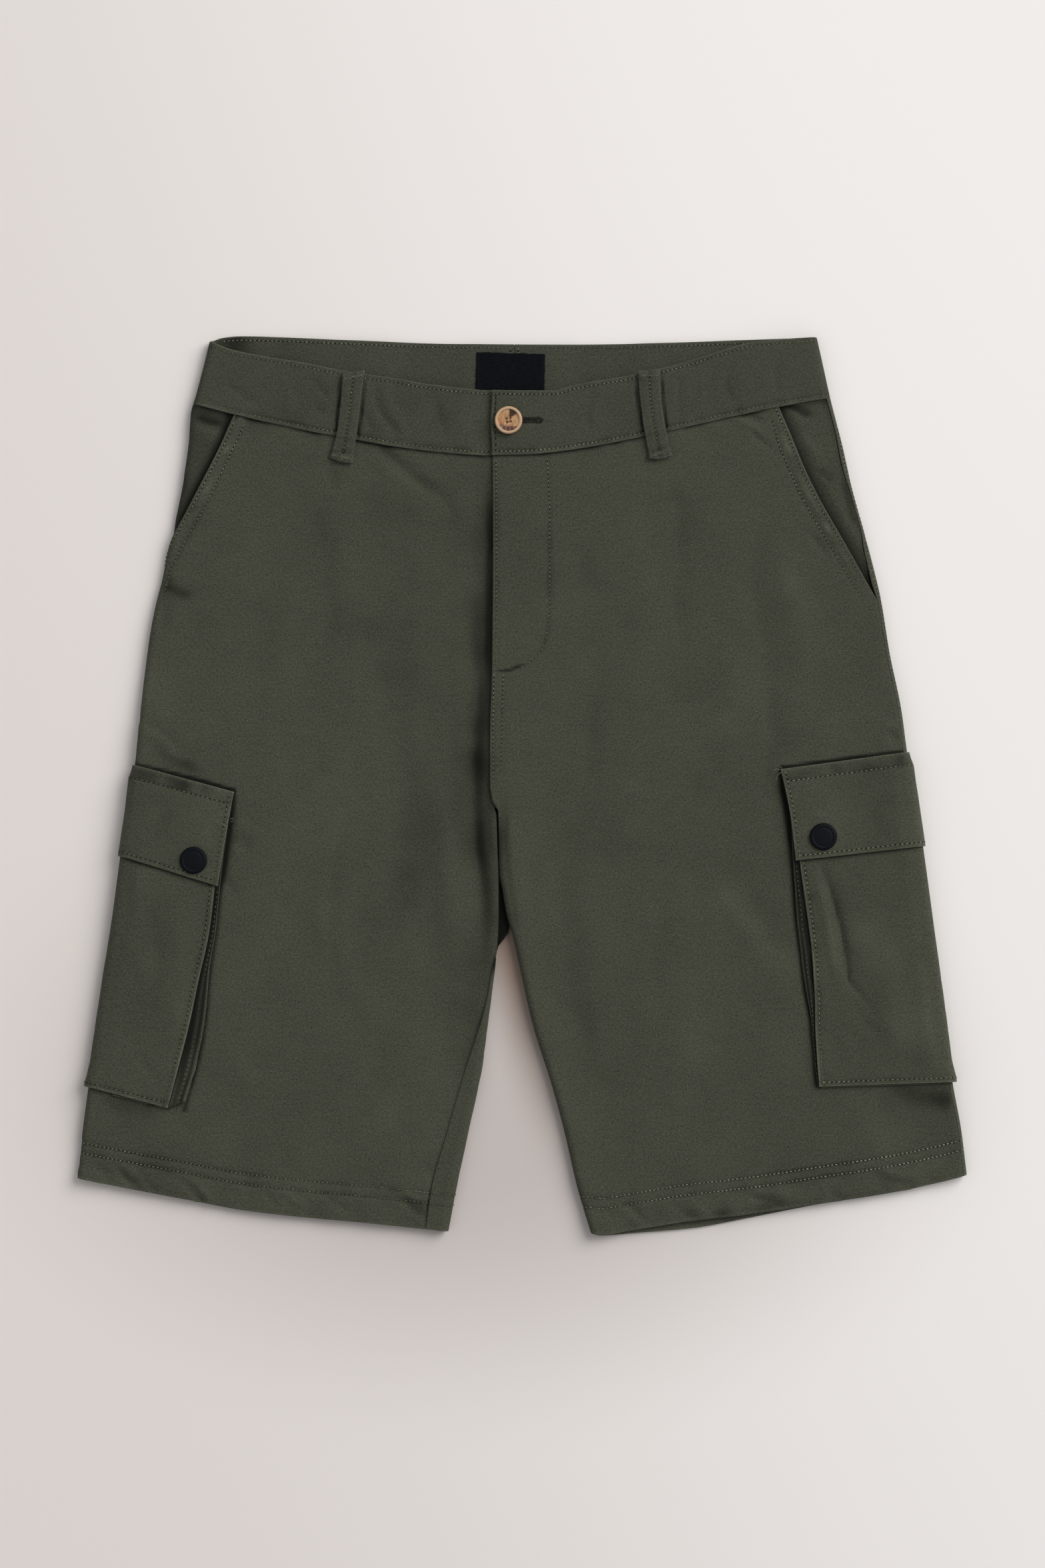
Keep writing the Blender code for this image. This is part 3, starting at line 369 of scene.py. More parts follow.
LEFT_GUSSET_OUT = table(
    Width,
    (-20, 2.0), (-60, 5.0), (-92, 7.0), (-109, 6.8), (-130, 5.0), (-149, 2.2), (-187, 1.2),
)

# The largest folds of the fronts and of the cargo pockets. A trough is below zero.
RIGHT_FRONT_FOLDS = table(
    Fold,
    (-96, 170, -84, 60, 17, -1.3),
    (-84, 80, -62, -80, 15, -2.0),
    (-62, -60, -44, -205, 15, -1.7),
    (-31, 120, -32, 20, 5.5, -0.9),
    (-32, 40, -25, -100, 5.5, -1.6),
    (-50, 60, -42, -120, 11, 0.9),
    (-94, 212, -46, 180, 7, -1.3),
    (-120, 20, -150, -150, 26, 0.8),
    (-225, 45, -186, 8, 10, -1.1),
)
LEFT_FRONT_FOLDS = table(
    Fold,
    (136, 175, 158, 12, 16, -1.0),
    (120, -40, 172, -112, 15, -1.1),
    (70, 130, 60, -60, 32, 0.8),
    (96, -40, 74, -190, 22, 0.8),
    (20, -10, 30, -150, 13, -0.9),
    (216, -214, 268, -206, 9, -1.2),
)
LEFT_POCKET_FOLDS = table(
    Fold,
    (206, -30, 236, -170, 30, 1.9),
    (232, -100, 262, -176, 15, 1.2),
    (188, -46, 203, -120, 6, -1.5),
    (202, -106, 224, -148, 9, -1.0),
)
RIGHT_POCKET_FOLDS = table(
    Fold,
    (-222, -40, -238, -170, 26, 1.2),
    (-240, -100, -222, -150, 11, 0.7),
    (-250, -128, -262, -178, 8, -0.8),
)

# Middles of the trim and of the front belt loops' feet
RIGHT_LOOP_FOOT = At(-112.9, 203.4)
LEFT_LOOP_FOOT = At(86.3, 205.0)
BUTTON_AT = At(-8.75, 228.3)
RIGHT_SNAP_AT = At(-205.2, -46.3)
LEFT_SNAP_AT = At(187.6, -31.6)
LABEL_AT = At(-7.7, 255.9)

# The lower rings of the button's edge, and the snap's rings from its top down to its seat
BUTTON_EDGE = table(Turn, (0.99, 0.75), (0.93, 0.35), (0.84, 0.0))
SNAP_PROFILE = table(
    Turn,
    (0.3, 1.98), (0.55, 1.9), (0.62, 1.84), (0.67, 1.66), (0.72, 1.66), (0.77, 1.9), (0.86, 1.86),
    (0.94, 1.55), (0.985, 1.05), (1.0, 0.6), (0.985, 0.2), (0.95, 0.0),
)

# Rounds that find where a row lies, as its places and heights depend on each other
SETTLING_ROUNDS = 9

# How far the middle of a thread lies above the cloth
ON_CLOTH = 0.12

CLOTH_MAP = "Cloth"
# Kept on the cloth's points: above zero paler, where it is rubbed and where highlight is painted on
# ridges; below zero painted shade
WEAR_AND_SHADING = "wear_and_shading"

# Smaller creases and puckers, piece by piece
RIGHT_FRONT_CREASES = table(
    Crease,
    (14, -0.12, ((-89, 133), (-84, 41), (-76, 0), (-72, -60), (-68, -120), (-58, -188))),
    (3.2, -0.45, ((-29, 116), (-27, 26), (-29, -9), (-26, -50), (-24, -75), (-26, -125)), 0.6),
    (3.0, 0.7, ((-23, 10), (-22, -30), (-18, -66))),
    (9, 0.7, ((-78, 66), (-52, -25), (-39, -130))),
    (8, 0.6, ((-139, -60), (-112, -110), (-89, -158))),
    (7, 0.5, ((-187, -158), (-178, -176), (-168, -196))),
    (4.4, -0.6, ((-101, 217), (-86, 209), (-71, 197), (-50, 181), (-42, 170)), 0.6),
    (3.6, 0.4, ((-96, 207), (-78, 193), (-60, 180))),
    (5.5, -0.8, ((-229, 128), (-216, 122), (-200, 116)), 0.6),
    (4.5, -0.6, ((-228, 150), (-222, 108), (-226, 84))),
    (4.5, -0.7, ((-241, 43), (-222, 31), (-200, 12)), 0.5),
    (3.0, 0.6, ((-240, 37), (-224, 27), (-208, 13))),
    (3.2, -0.6, ((-184, -31), (-178, -35), (-169, -43)), 0.6),
    (3.0, -0.6, ((-188, -54), (-184, -61), (-180, -70)), 0.6),
    (3.4, 0.4, ((-182, -22), (-174, -27), (-165, -35))),
    (9.0, -0.35, ((-156, 130), (-168, 84), (-172, 40)), 0.8),
    (9.0, 0.3, ((-140, 138), (-150, 84), (-152, 30))),
    (8.0, -0.5, ((-128, 180), (-120, 130), (-123, 70))),
    (5.0, -0.5, ((-112, -20), (-122, -70), (-118, -130)), 0.7),
    (3.6, -0.4, ((-121, 199), (-118, 190), (-116, 180))),
    (3.2, -0.6, ((-66, -236), (-54, -245), (-40, -253)), 0.6),
    (3.0, -0.9, ((-213, -247), (-206, -256), (-200, -263)), 0.5),
    (2.6, 0.7, ((-206, -247), (-199, -257), (-195, -264))),
    (3.0, -0.8, ((-256, -238), (-248, -246), (-240, -253)), 0.5),
    (2.6, 0.6, ((-250, -238), (-242, -247), (-236, -254))),
    (3.4, -0.6, ((-268, -234), (-262, -243), (-258, -250)), 0.6),
    (2.2, 0.8, ((-79, -251), (-66, -258), (-50, -264))),
    (2.2, -0.7, ((-82, -255), (-68, -263), (-56, -270))),
    (2.6, -0.6, ((-126, -253), (-118, -261), (-108, -268)), 0.6),
    (2.4, 0.5, ((-150, -250), (-141, -258), (-134, -265))),
    (2.6, -0.5, ((-164, -249), (-158, -256), (-150, -264)), 0.6),
)
LEFT_FRONT_CREASES = table(
    Crease,
    (10, -0.6, ((142, 154), (153, 96), (157, 58), (159, 8)), 0.7),
    (9, 0.5, ((160, 150), (176, 100), (180, 54))),
    (8, -0.6, ((140, -70), (150, -86), (173, -112)), 0.6),
    (7, 0.5, ((120, -56), (136, -84), (160, -120))),
    (2.8, -0.9, ((130, 231), (142, 231), (154, 228)), 0.6),
    (2.6, -0.8, ((143, 220), (150, 216), (158, 209)), 0.6),
    (2.4, 0.6, ((133, 226), (145, 225), (154, 220))),
    (3.0, -0.8, ((178, 157), (184, 149), (192, 143)), 0.6),
    (3.2, -1.0, ((226, 33), (234, 30), (243, 32)), 0.5),
    (2.6, 0.6, ((222, 39), (234, 38), (243, 40))),
    (7, -0.5, ((94, 196), (99, 140), (96, 80)), 0.7),
    (9, 0.4, ((68, 190), (78, 120), (72, 40))),
    (8, -0.5, ((49, 110), (44, 30), (34, -40)), 0.7),
    (10, -0.3, ((19, -14), (24, -70), (36, -140), (52, -200)), 0.7),
    (12, 0.3, ((34, -30), (42, -90), (56, -150))),
    (8, -0.4, ((88, -30), (82, -110), (92, -190)), 0.8),
    (3.2, -0.8, ((94, -260), (100, -266), (108, -272)), 0.5),
    (2.8, 0.6, ((101, -256), (108, -263), (115, -269))),
    (3.4, -0.7, ((137, -255), (152, -260), (170, -263)), 0.6),
    (3.0, 0.6, ((142, -251), (158, -255), (174, -257))),
    (3.6, -0.8, ((218, -245), (234, -248), (253, -252)), 0.6),
    (3.0, 0.5, ((210, -239), (228, -242), (246, -245))),
    (9, -0.6, ((216, -206), (240, -202), (272, -201)), 0.6),
    (4, -0.8, ((270, -198), (274, -208), (277, -219)), 0.7),
    (3.0, -0.6, ((190, -251), (196, -256), (203, -261)), 0.6),
    (2.6, 0.5, ((57, -262), (66, -268), (76, -274))),
    (2.8, -0.6, ((60, -258), (70, -266), (80, -273)), 0.6),
)

# Places on the fronts that light hardly reaches, as creases whose height is how dark they are
SHADES = {
    -1: table(
        Crease,
        (8.0, 0.25, ((-20, 206), (-21, 120), (-23, 40))),
        (2.4, 0.4, ((-20, 206), (-21, 120), (-22, 40))),
        (7.0, 0.42, ((-22, 80), (-25, 20), (-23, -30), (-18, -80), (-18, -125))),
        (17.0, 0.3, ((-26, 215), (-26, 120), (-26, 60), (-31, 0), (-29, -60), (-24, -140))),
        (4.5, 0.22, ((-101, 217), (-86, 209), (-71, 197), (-50, 181))),
        (4.0, 0.4, ((-228, 128), (-216, 120), (-204, 116))),
        (5.0, 0.2, ((-240, 42), (-222, 28), (-200, 4))),
        (4.5, 0.55, ((-180, -10), (-184, -36), (-190, -68))),
        (6.0, 0.28, ((-273, -193), (-246, -200), (-220, -205))),
        (4.0, 0.25, ((-238, 28), (-216, 15), (-194, 5))),
        (16.0, 0.12, ((-92, 150), (-84, 41), (-78, -10), (-74, -60), (-68, -188))),
        (5.0, 0.3, ((-90, -246), (-60, -262), (-36, -268))),
        (4.0, 0.3, ((-268, -232), (-230, -252), (-190, -262))),
    ),
    1: table(
        Crease,
        (3.5, 0.5, ((-12, 2), (-8, -50), (0, -104))),
        (1.3, 0.8, ((-20, 72.4), (-8, 72.4), (4, 76))),
        (9.0, 0.16, ((150, 60), (158, 10), (162, -40))),
        (3.0, 0.6, ((162, 8), (165, -16), (169, -44))),
        (8.0, 0.5, ((218, -184), (246, -192), (270, -196), (276, -206))),
        (4.0, 0.3, ((60, -262), (110, -270), (180, -262), (250, -252))),
    ),
}

# The same on the waistband, along both edges of the belt loops
BAND_SHADES = table(
    Crease,
    (1.1, 0.8, ((-113.6, 260), (-114.8, 240), (-117.0, 220), (-119.0, 211))),
    (1.1, 0.9, ((-97.2, 262), (-99.2, 246), (-102.0, 222), (-104.0, 210))),
    (1.1, 0.8, ((70.9, 260), (71.7, 245), (74.4, 224), (76.8, 214))),
    (1.1, 0.9, ((87.2, 262), (87.9, 240), (90.1, 226), (92.4, 214))),
)

RIGHT_POCKET_CREASES = table(
    Crease,
    (2.6, -0.7, ((-206, -60), (-198, -62), (-190, -60)), 0.6),
    (7, -0.5, ((-230, -70), (-226, -110), (-232, -150)), 0.7),
    (5, 0.6, ((-259, -112), (-256, -130), (-252, -144))),
    (5, 0.45, ((-216, -80), (-212, -120), (-218, -160))),
    (3.4, -0.5, ((-246, -60), (-250, -86), (-256, -104)), 0.7),
    (3.2, -0.5, ((-243, -168), (-234, -178), (-224, -190)), 0.6),
)
LEFT_POCKET_CREASES = table(
    Crease,
    (1.9, -1.5, ((181, -40), (186, -49), (192, -64), (196, -79), (199, -92), (201, -103), (204, -121),
     (222, -145)), 0.6),
    (3.6, 0.9, ((180, -50), (187, -66), (191, -84), (194, -104), (199, -126))),
    (2.6, -0.35, ((192, -44), (203, -54), (216, -60)), 0.6),
    (7.0, -0.3, ((226, -44), (238, -50), (254, -60)), 0.6),
    (19, 0.9, ((214, -76), (230, -124), (252, -180))),
    (4.4, -0.8, ((246, -104), (252, -108), (258, -112)), 0.7),
    (1.8, -0.6, ((177, -69), (184, -70))),
    (1.8, -0.6, ((178, -101), (185, -102))),
    (2.0, -0.6, ((180, -130), (187, -131))),
    (5.5, -0.6, ((204, -128), (216, -148), (230, -166)), 0.7),
    (4.5, 0.4, ((196, -150), (204, -166), (206, -180))),
)
FACING_CREASES = table(
    Crease,
    (3.2, -0.8, ((-206, 233), (-196, 228), (-186, 224)), 0.6),
    (3.0, 0.5, ((-206, 226), (-196, 221), (-187, 217))),
    (3.2, -1.1, ((163, 240), (172, 236), (183, 230)), 0.4),
    (3.4, 0.6, ((172, 222), (178, 214), (186, 206))),
    (3.4, -0.6, ((181, 199), (187, 195), (193, 189)), 0.5),
    (2.8, 0.6, ((197, 219), (199, 210), (199, 201))),
    (3.4, -0.5, ((-212, 200), (-216, 180), (-222, 160)), 0.7),
    (3.4, -0.5, ((196, 196), (203, 178), (210, 158)), 0.7),
)
BAND_CREASES = table(
    Crease,
    (3.6, -0.9, ((-94, 257), (-87, 236), (-79, 211)), 0.6),
    (2.6, -0.6, ((-100, 240), (-97, 228), (-94, 219)), 0.6),
    (3.4, 0.5, ((-89, 254), (-82, 236), (-73, 214))),
    (3.0, -0.6, ((-189, 251), (-180, 247), (-171, 244)), 0.6),
    (2.8, -0.6, ((-177, 243), (-170, 242), (-163, 239)), 0.6),
    (3.0, -0.6, ((-133, 255), (-126, 249), (-119, 242)), 0.6),
    (2.8, -0.6, ((-132, 238), (-127, 235), (-121, 232)), 0.6),
    (3.0, 0.4, ((-150, 258), (-147, 244), (-146, 232))),
    (3.0, -0.4, ((-56, 248), (-52, 232), (-50, 214)), 0.7),
    (3.0, -0.5, ((99, 258), (97, 243), (100, 228)), 0.6),
    (3.0, -0.5, ((44, 248), (40, 236), (42, 218)), 0.7),
    (2.8, -0.5, ((130, 262), (127, 250), (131, 238)), 0.6),
    (3.0, 0.4, ((112, 262), (113, 248), (110, 234))),
    (3.0, -0.5, ((160, 268), (157, 255), (161, 243)), 0.6),
)
BACK_CREASES = table(
    Crease,
    (12, -0.8, ((-170, 200), (-130, 100), (-80, 20)), 0.7),
    (14, -0.7, ((-120, 150), (-70, 60), (-30, -10)), 0.7),
    (12, -0.8, ((160, 210), (118, 110), (66, 22)), 0.7),
    (13, -0.6, ((110, 140), (72, 60), (28, -4)), 0.7),
    (8, -0.7, ((-70, -30), (-96, -110), (-88, -200)), 0.7),
    (10, -0.6, ((-130, -60), (-116, -150), (-132, -230)), 0.7),
    (8, -0.7, ((64, -30), (92, -104), (80, -190)), 0.7),
    (10, -0.6, ((128, -50), (112, -140), (136, -226)), 0.7),
    (4, -0.6, ((-90, -252), (-98, -262), (-110, -270)), 0.6),
    (4, -0.6, ((-170, -240), (-178, -250), (-190, -258)), 0.6),
    (4, -0.6, ((88, -254), (98, -264), (112, -270)), 0.6),
    (4, -0.6, ((188, -238), (196, -248), (206, -256)), 0.6),
)


def ramp(value: Number, start: Number, end: Number) -> Number:
    """0 at start, 1 at end and smooth between; start may be above end."""
    share = np.clip((value - start) / (end - start), 0.0, 1.0)
    return share * share * (3 - 2 * share)


def bump(distance: Number, reach: Number) -> Number:
    """1 at no distance and falling off smoothly around reach."""
    return np.exp(-((distance / reach) ** 2))


def waves(x: Number, y: Number, size: float, seed: int) -> Array:
    """Smooth uneven waves from -1 to 1 over a plane.

    Args:
        x: First coordinate.
        y: Second coordinate.
        size: Rough width of one wave.
        seed: Which waves.

    Returns:
        The value at each point.
    """
    lattice = np.random.default_rng(seed).uniform(-1.0, 1.0, (128, 128))
    across, up = np.broadcast_arrays(np.asarray(x, float) / size, np.asarray(y, float) / size)
    column = np.floor(across).astype(int)
    row = np.floor(up).astype(int)
    s = ramp(across - column, 0.0, 1.0)
    t = ramp(up - row, 0.0, 1.0)
    low = lattice[row % 128, column % 128] * (1 - s) + lattice[row % 128, (column + 1) % 128] * s
    above = (row + 1) % 128
    high = lattice[above, column % 128] * (1 - s) + lattice[above, (column + 1) % 128] * s
    return low * (1 - t) + high * t


def uneven(x: Number, y: Number, *terms: tuple[float, float, int]) -> Array:
    """Waves of several sizes on each other, each given by its height, its size and its seed."""
    return sum(height * waves(x, y, size, seed) for height, size, seed in terms)


class Curve:
    """A smooth value along one axis, through a table's rows, with straight ends."""

    def __init__(self, rows: Sequence[NamedTuple], key: str, value: str) -> None:
        """Sorts the rows by key and finds the slopes."""
        pairs = sorted((getattr(row, key), getattr(row, value)) for row in rows)
        self.at = np.array([pair[0] for pair in pairs], float)
        self.values = np.array([pair[1] for pair in pairs], float)
        self.runs = np.diff(self.at)
        secants = np.diff(self.values) / self.runs
        before = secants[:-1]
        after = secants[1:]
        level = before * after <= 0
        total = np.where(level, 1.0, before + after)
        inner = np.where(level, 0.0, 2 * before * after / total)
        self.slopes = np.concatenate((secants[:1], inner, secants[-1:]))

    def __call__(self, at: Number) -> Array:
        """The value at a position."""
        at = np.asarray(at, float)
        i = np.clip(np.searchsorted(self.at, at, side="right") - 1, 0, len(self.runs) - 1)
        run = self.runs[i]
        t = np.clip((at - self.at[i]) / run, 0.0, 1.0)
        blend = t * t * (3 - 2 * t)
        straight = self.values[i] * (1 - blend) + self.values[i + 1] * blend
        bent = t * (1 - t) ** 2 * self.slopes[i] + t * t * (t - 1) * self.slopes[i + 1]
        before = np.minimum(at - self.at[0], 0.0) * self.slopes[0]
        after = np.maximum(at - self.at[-1], 0.0) * self.slopes[-1]
        return straight + run * bent + before + after


def fold_height(folds: Sequence[Fold], x: Array, y: Array) -> Array:
    """The height that a table of straight folds adds at each point."""
    height = np.zeros(np.broadcast(x, y).shape)
    for fold in folds:
        run_x = fold.x1 - fold.x0
        run_y = fold.y1 - fold.y0
        length = math.hypot(run_x, run_y)
        along = ((x - fold.x0) * run_x + (y - fold.y0) * run_y) / length**2
        across = np.abs((x - fold.x0) * run_y - (y - fold.y0) * run_x) / length
        ends = ramp(along, -0.12, 0.3) * ramp(along, 1.12, 0.7)
        height += fold.height * bump(across, fold.reach) * ends
    return height


def crease_height(creases: Sequence[Crease], x: Array, y: Array, wander: float = 1.0) -> Array:
    """The height that a table of creases adds at each point.

    Args:
        creases: The creases, each fading at both its ends.
        x: Where the points are.
        y: Where the points are.
        wander: How unevenly the creases run.

    Returns:
        The height, below zero in a trough.
    """
    x, y = np.broadcast_arrays(np.asarray(x, float), np.asarray(y, float))
    height = np.zeros(x.shape)
    wander_x = x + wander * uneven(x, y, (2.2, 17.0, 5), (0.7, 5.0, 6))
    wander_y = y + wander * uneven(x, y, (2.2, 17.0, 7), (0.7, 5.0, 8))
    for crease in creases:
        runs = list(zip(crease.path, crease.path[1:]))
        total = sum(math.dist(start, end) for start, end in runs)
        best = np.full(x.shape, np.inf)
        along = np.zeros(x.shape)
        side = np.zeros(x.shape)
        done = 0.0
        for (x0, y0), (x1, y1) in runs:
            run_x = x1 - x0
            run_y = y1 - y0
            length = math.hypot(run_x, run_y)
            t = np.clip(((wander_x - x0) * run_x + (wander_y - y0) * run_y) / length**2, 0.0, 1.0)
            away_x = wander_x - x0 - t * run_x
            away_y = wander_y - y0 - t * run_y
            away = np.hypot(away_x, away_y)
            nearer = away < best
            best = np.where(nearer, away, best)
            along = np.where(nearer, (done + t * length) / total, along)
            side = np.where(nearer, away_x + away_y, side)
            done += length
        reach = crease.reach * np.where(side < 0, crease.steep, 1.0)
        ends = ramp(along, -0.02, 0.3) * ramp(along, 1.02, 0.7)
        height += crease.height * bump(best, reach) * (0.12 + 0.88 * ends) * (ends > 0)
    return height


front_seam = Curve(FRONT_SEAM, "x", "y")
front_top = Curve(FRONT_TOP, "x", "y")
back_seam = Curve(BACK_SEAM, "x", "y")
back_top = Curve(BACK_TOP, "x", "y")


def waist_seam(x: Number, place: Number) -> Array:
    """Where the panels meet the waistband, on the front or, with place below zero, the back."""
    return np.where(np.asarray(place) >= 0, front_seam(x), back_seam(x))


def loops_below(x: Number) -> Array:
    """1 over a belt loop that the back of the waistband lies on."""
    over = [ramp(np.abs(x - at), LOOP_FLAT + LOOP_RAMP, LOOP_FLAT) for at in BACK_LOOPS_AT.values()]
    return np.maximum.reduce(over)


def fly_rise(x: Number, y: Number) -> Array:
    """The extra height of the layers in the fly, most at the waist, ending under its stitching."""
    low = ramp(y, FLY_END - 30, FLY_END)
    reach = FLY_REACH * (0.45 + 0.55 * low)
    middle = FLY_MIDDLE - 10 * (1 - low)
    seam = front_seam(x)
    height = FLY_RISE + FLY_WAIST_RISE * ramp(y, seam - FLY_WAIST_LENGTH, seam)
    return height * bump(x - middle, reach) * ramp(y, -30, -5)


@dataclass
class Cargo:
    """The lines of one cargo pocket and its flap, by the inset from the side fold."""

    flap_top: Lines
    flap_bottom: Lines
    bottom: Lines
    widths: tuple[Width, ...]
    flap_widths: tuple[Width, ...]
    gusset_widths: tuple[Width, ...]
    folds: tuple[Fold, ...]
    creases: tuple[Crease, ...]
    snap_at: At

    def __post_init__(self) -> None:
        """Makes the smooth widths."""
        self.width = Curve(self.widths, "y", "front")
        self.flap_width = Curve(self.flap_widths, "y", "front")
        self.gusset_out = Curve(self.gusset_widths, "y", "front")

    @staticmethod
    def line(line: Lines, inset: Number) -> Number:
        """The y of a line at an inset."""
        return line.at_fold + line.slope * inset

    def zone(self, inset: Array, y: Array, low_line: Lines, reach: Array, fall: float) -> Array:
        """1 near the layers between the flap's top and low_line, falling outside them."""
        top = self.line(self.flap_top, inset) + ZONE_MARGIN
        low = self.line(low_line, inset) - ZONE_MARGIN
        inside = ramp(inset, reach + ZONE_MARGIN + fall, reach + ZONE_MARGIN)
        return inside * ramp(y, top + fall, top) * ramp(y, low - fall, low)

    def layers(self, inset: Array, y: Array, reach: Array, fall: float) -> Array:
        """Height of the pocket's layer and the flap's, out to a reach from the side fold."""
        pocket = self.zone(inset, y, self.bottom, reach, fall)
        return LAYER * (pocket + self.zone(inset, y, self.flap_bottom, reach, FLAP_WIDE_RAMP))

    def under(self, inset: Array, y: Array) -> Array:
        """How high the back panel stands over the hidden halves of the pocket and flap."""
        return self.layers(inset, y, POCKET_WIDTH - self.width(y), ZONE_RAMP)

    def top(self, inset: Array, y: Array) -> Array:
        """How much that lifts the front panel, over a wider slope."""
        return self.layers(inset, y, self.width(y), WIDE_RAMP)

    def bare(self, inset: Array, y: Array) -> Array:
        """1 where the leg shows and 0 under the pocket, its gusset and its flap."""
        reach = np.maximum(self.width(y) + self.gusset_out(np.minimum(y, GUSSET_TOP)), self.flap_width(y))
        beside = ramp(np.abs(inset), reach - 1.0, reach + 5.0)
        above = ramp(y, self.line(self.flap_top, inset) - 1.0, self.line(self.flap_top, inset) + 5.0)
        below = ramp(y, self.line(self.bottom, inset) + 1.0, self.line(self.bottom, inset) - 5.0)
        return 1 - (1 - beside) * (1 - above) * (1 - below)


class Tube:
    """The flattened tube of one leg, or of one side of the waistband."""

    def __init__(
        self,
        side: int,
        outer: Callable[[Array], Array],
        inner: Callable[[Array], Array],
        top: Callable[[Array, Array], Array],
        under: Callable[[Array, Array], Array],
        curls: dict[int, tuple[float, float]],
    ) -> None:
        """Takes the lines of the two folds, the heights of the two faces and their curls."""
        self.side = side
        self.outer = outer
        self.inner = inner
        self.top = top
        self.under = under
        self.curls = curls

    def inset(self, x: Array, y: Array) -> Array:
        """How far x lies inside the side fold, as seen from above."""
        return self.side * (self.outer(y) - x)

    def height(self, face: Array, x: Array, y: Array) -> Array:
        """Height of the outer face of the front, or of the back where face is below zero."""
        return np.where(face > 0, self.top(x, y), self.under(x, y))

    def side_fold(self, y: Array) -> tuple[Array, Array]:
        """Radius and middle height of the side fold."""
        x = self.outer(y) - self.side * FOLD_DEPTH
        top = self.top(x, y)
        under = self.under(x, y)
        return (top - under) / 2, (top + under) / 2

    def inner_fold(self, face: Array, y: Array) -> tuple[Array, Array, Array]:
        """How far in the inner fold starts, its radius and how much it curls, from 0 to 1."""
        curl = np.where(face > 0, ramp(y, *self.curls[1]), ramp(y, *self.curls[-1]))
        x = self.inner(y) + self.side * FOLD_DEPTH
        radius = (self.top(x, y) - self.under(x, y)) / 2
        return self.side * self.inner(y) + radius, radius, curl

    def distance(self, inset: Array, y: Array) -> Array:
        """Signed distance along the cloth for an inset, which is below zero on the back."""
        radius, _ = self.side_fold(y)
        size = np.abs(inset)
        on_fold = radius * np.arccos(np.clip(1 - size / radius, -1.0, 1.0))
        length = np.where(size >= radius, math.pi / 2 * radius + size - radius, on_fold)
        return np.copysign(length, inset)

    def reach_to(self, face: int, x: Array, y: Array) -> Array:
        """Distance along the cloth from the side fold to x on one face, the inner curl included."""
        radius, _ = self.side_fold(y)
        start, curl_radius, curl = self.inner_fold(np.asarray(face), y)
        flat = math.pi / 2 * radius + self.side * self.outer(y) - radius
        out = self.side * x
        safe = np.where(curl > 0, curl, 1.0)
        turned = np.arcsin(np.clip(safe * (start - out) / curl_radius, 0.0, 1.0))
        curled = flat - start + curl_radius / safe * turned
        return np.where((out >= start) | (curl == 0), flat - out, curled)

    def place_of(self, face: int, x: Array, y: Array) -> Array:
        """Place of a point that is seen at x and y on one face."""
        x = np.asarray(x, float)
        y = np.asarray(y, float)
        inset = np.maximum(self.inset(x, y), 0.0)
        radius, _ = self.side_fold(y)
        near = self.distance(inset, y)
        return face * np.where(inset < radius, near, self.reach_to(face, x, y))

    def point(self, place: Array, y: Array, lift: Number = 0.0) -> tuple[Array, Array, Array]:
        """The place in space, moved out from the cloth by lift.

        Args:
            place: Signed distance along the cloth from the side fold.
            y: Height on the shorts.
            lift: How far out from the cloth.

        Returns:
            The x, y and z of each point.
        """
        place, y = np.broadcast_arrays(np.asarray(place, float), np.asarray(y, float))
        face = np.where(place >= 0, 1, -1)
        reach = np.abs(place)
        radius, middle = self.side_fold(y)
        outer = self.side * self.outer(y)
        quarter = math.pi / 2 * radius
        angle = np.minimum(reach / radius, math.pi / 2)
        fold_x = self.side * (outer - radius + (radius + lift) * np.cos(angle))
        fold_z = middle + face * (radius + lift) * np.sin(angle)
        out = outer - radius - (reach - quarter)
        start, curl_radius, curl = self.inner_fold(face, y)
        flat_x = self.side * out
        flat_z = self.height(face, flat_x, y) + face * lift
        past = start - out
        far_x = self.side * (start + past - math.pi * curl_radius)
        far_z = self.height(-face, far_x, y) - face * lift
        safe = np.where(curl > 0, curl, 1.0)
        turned = safe * np.clip(past / curl_radius, 0.0, math.pi)
        turn = curl_radius / safe
        curl_x = self.side * (start - (turn + lift) * np.sin(turned))
        level = self.height(face, curl_x, y) * (1 - curl)
        level = level + self.height(face, self.side * start, y) * curl
        curl_z = level - face * (turn * (1 - np.cos(turned)) - lift * np.cos(turned))
        on_fold = reach <= quarter
        on_flat = (curl == 0) | (out >= start)
        is_far = past > math.pi * curl_radius
        x = np.where(on_fold, fold_x, np.where(on_flat, flat_x, np.where(is_far, far_x, curl_x)))
        z = np.where(on_fold, fold_z, np.where(on_flat, flat_z, np.where(is_far, far_z, curl_z)))
        return x, y, z

    def points(self, place: Array, y: Array, lift: Number = 0.0) -> Array:
        """The same as rows of x, y and z."""
        return joined(self.point(place, y, lift))

    def layer(self, place: Array, y: Array, lift: Number, wear_and_shading: Number) -> Layer:
        """The grid of a sheet that lies on the tube."""
        return Layer(*self.point(place, y, lift), place, y, wear_and_shading)


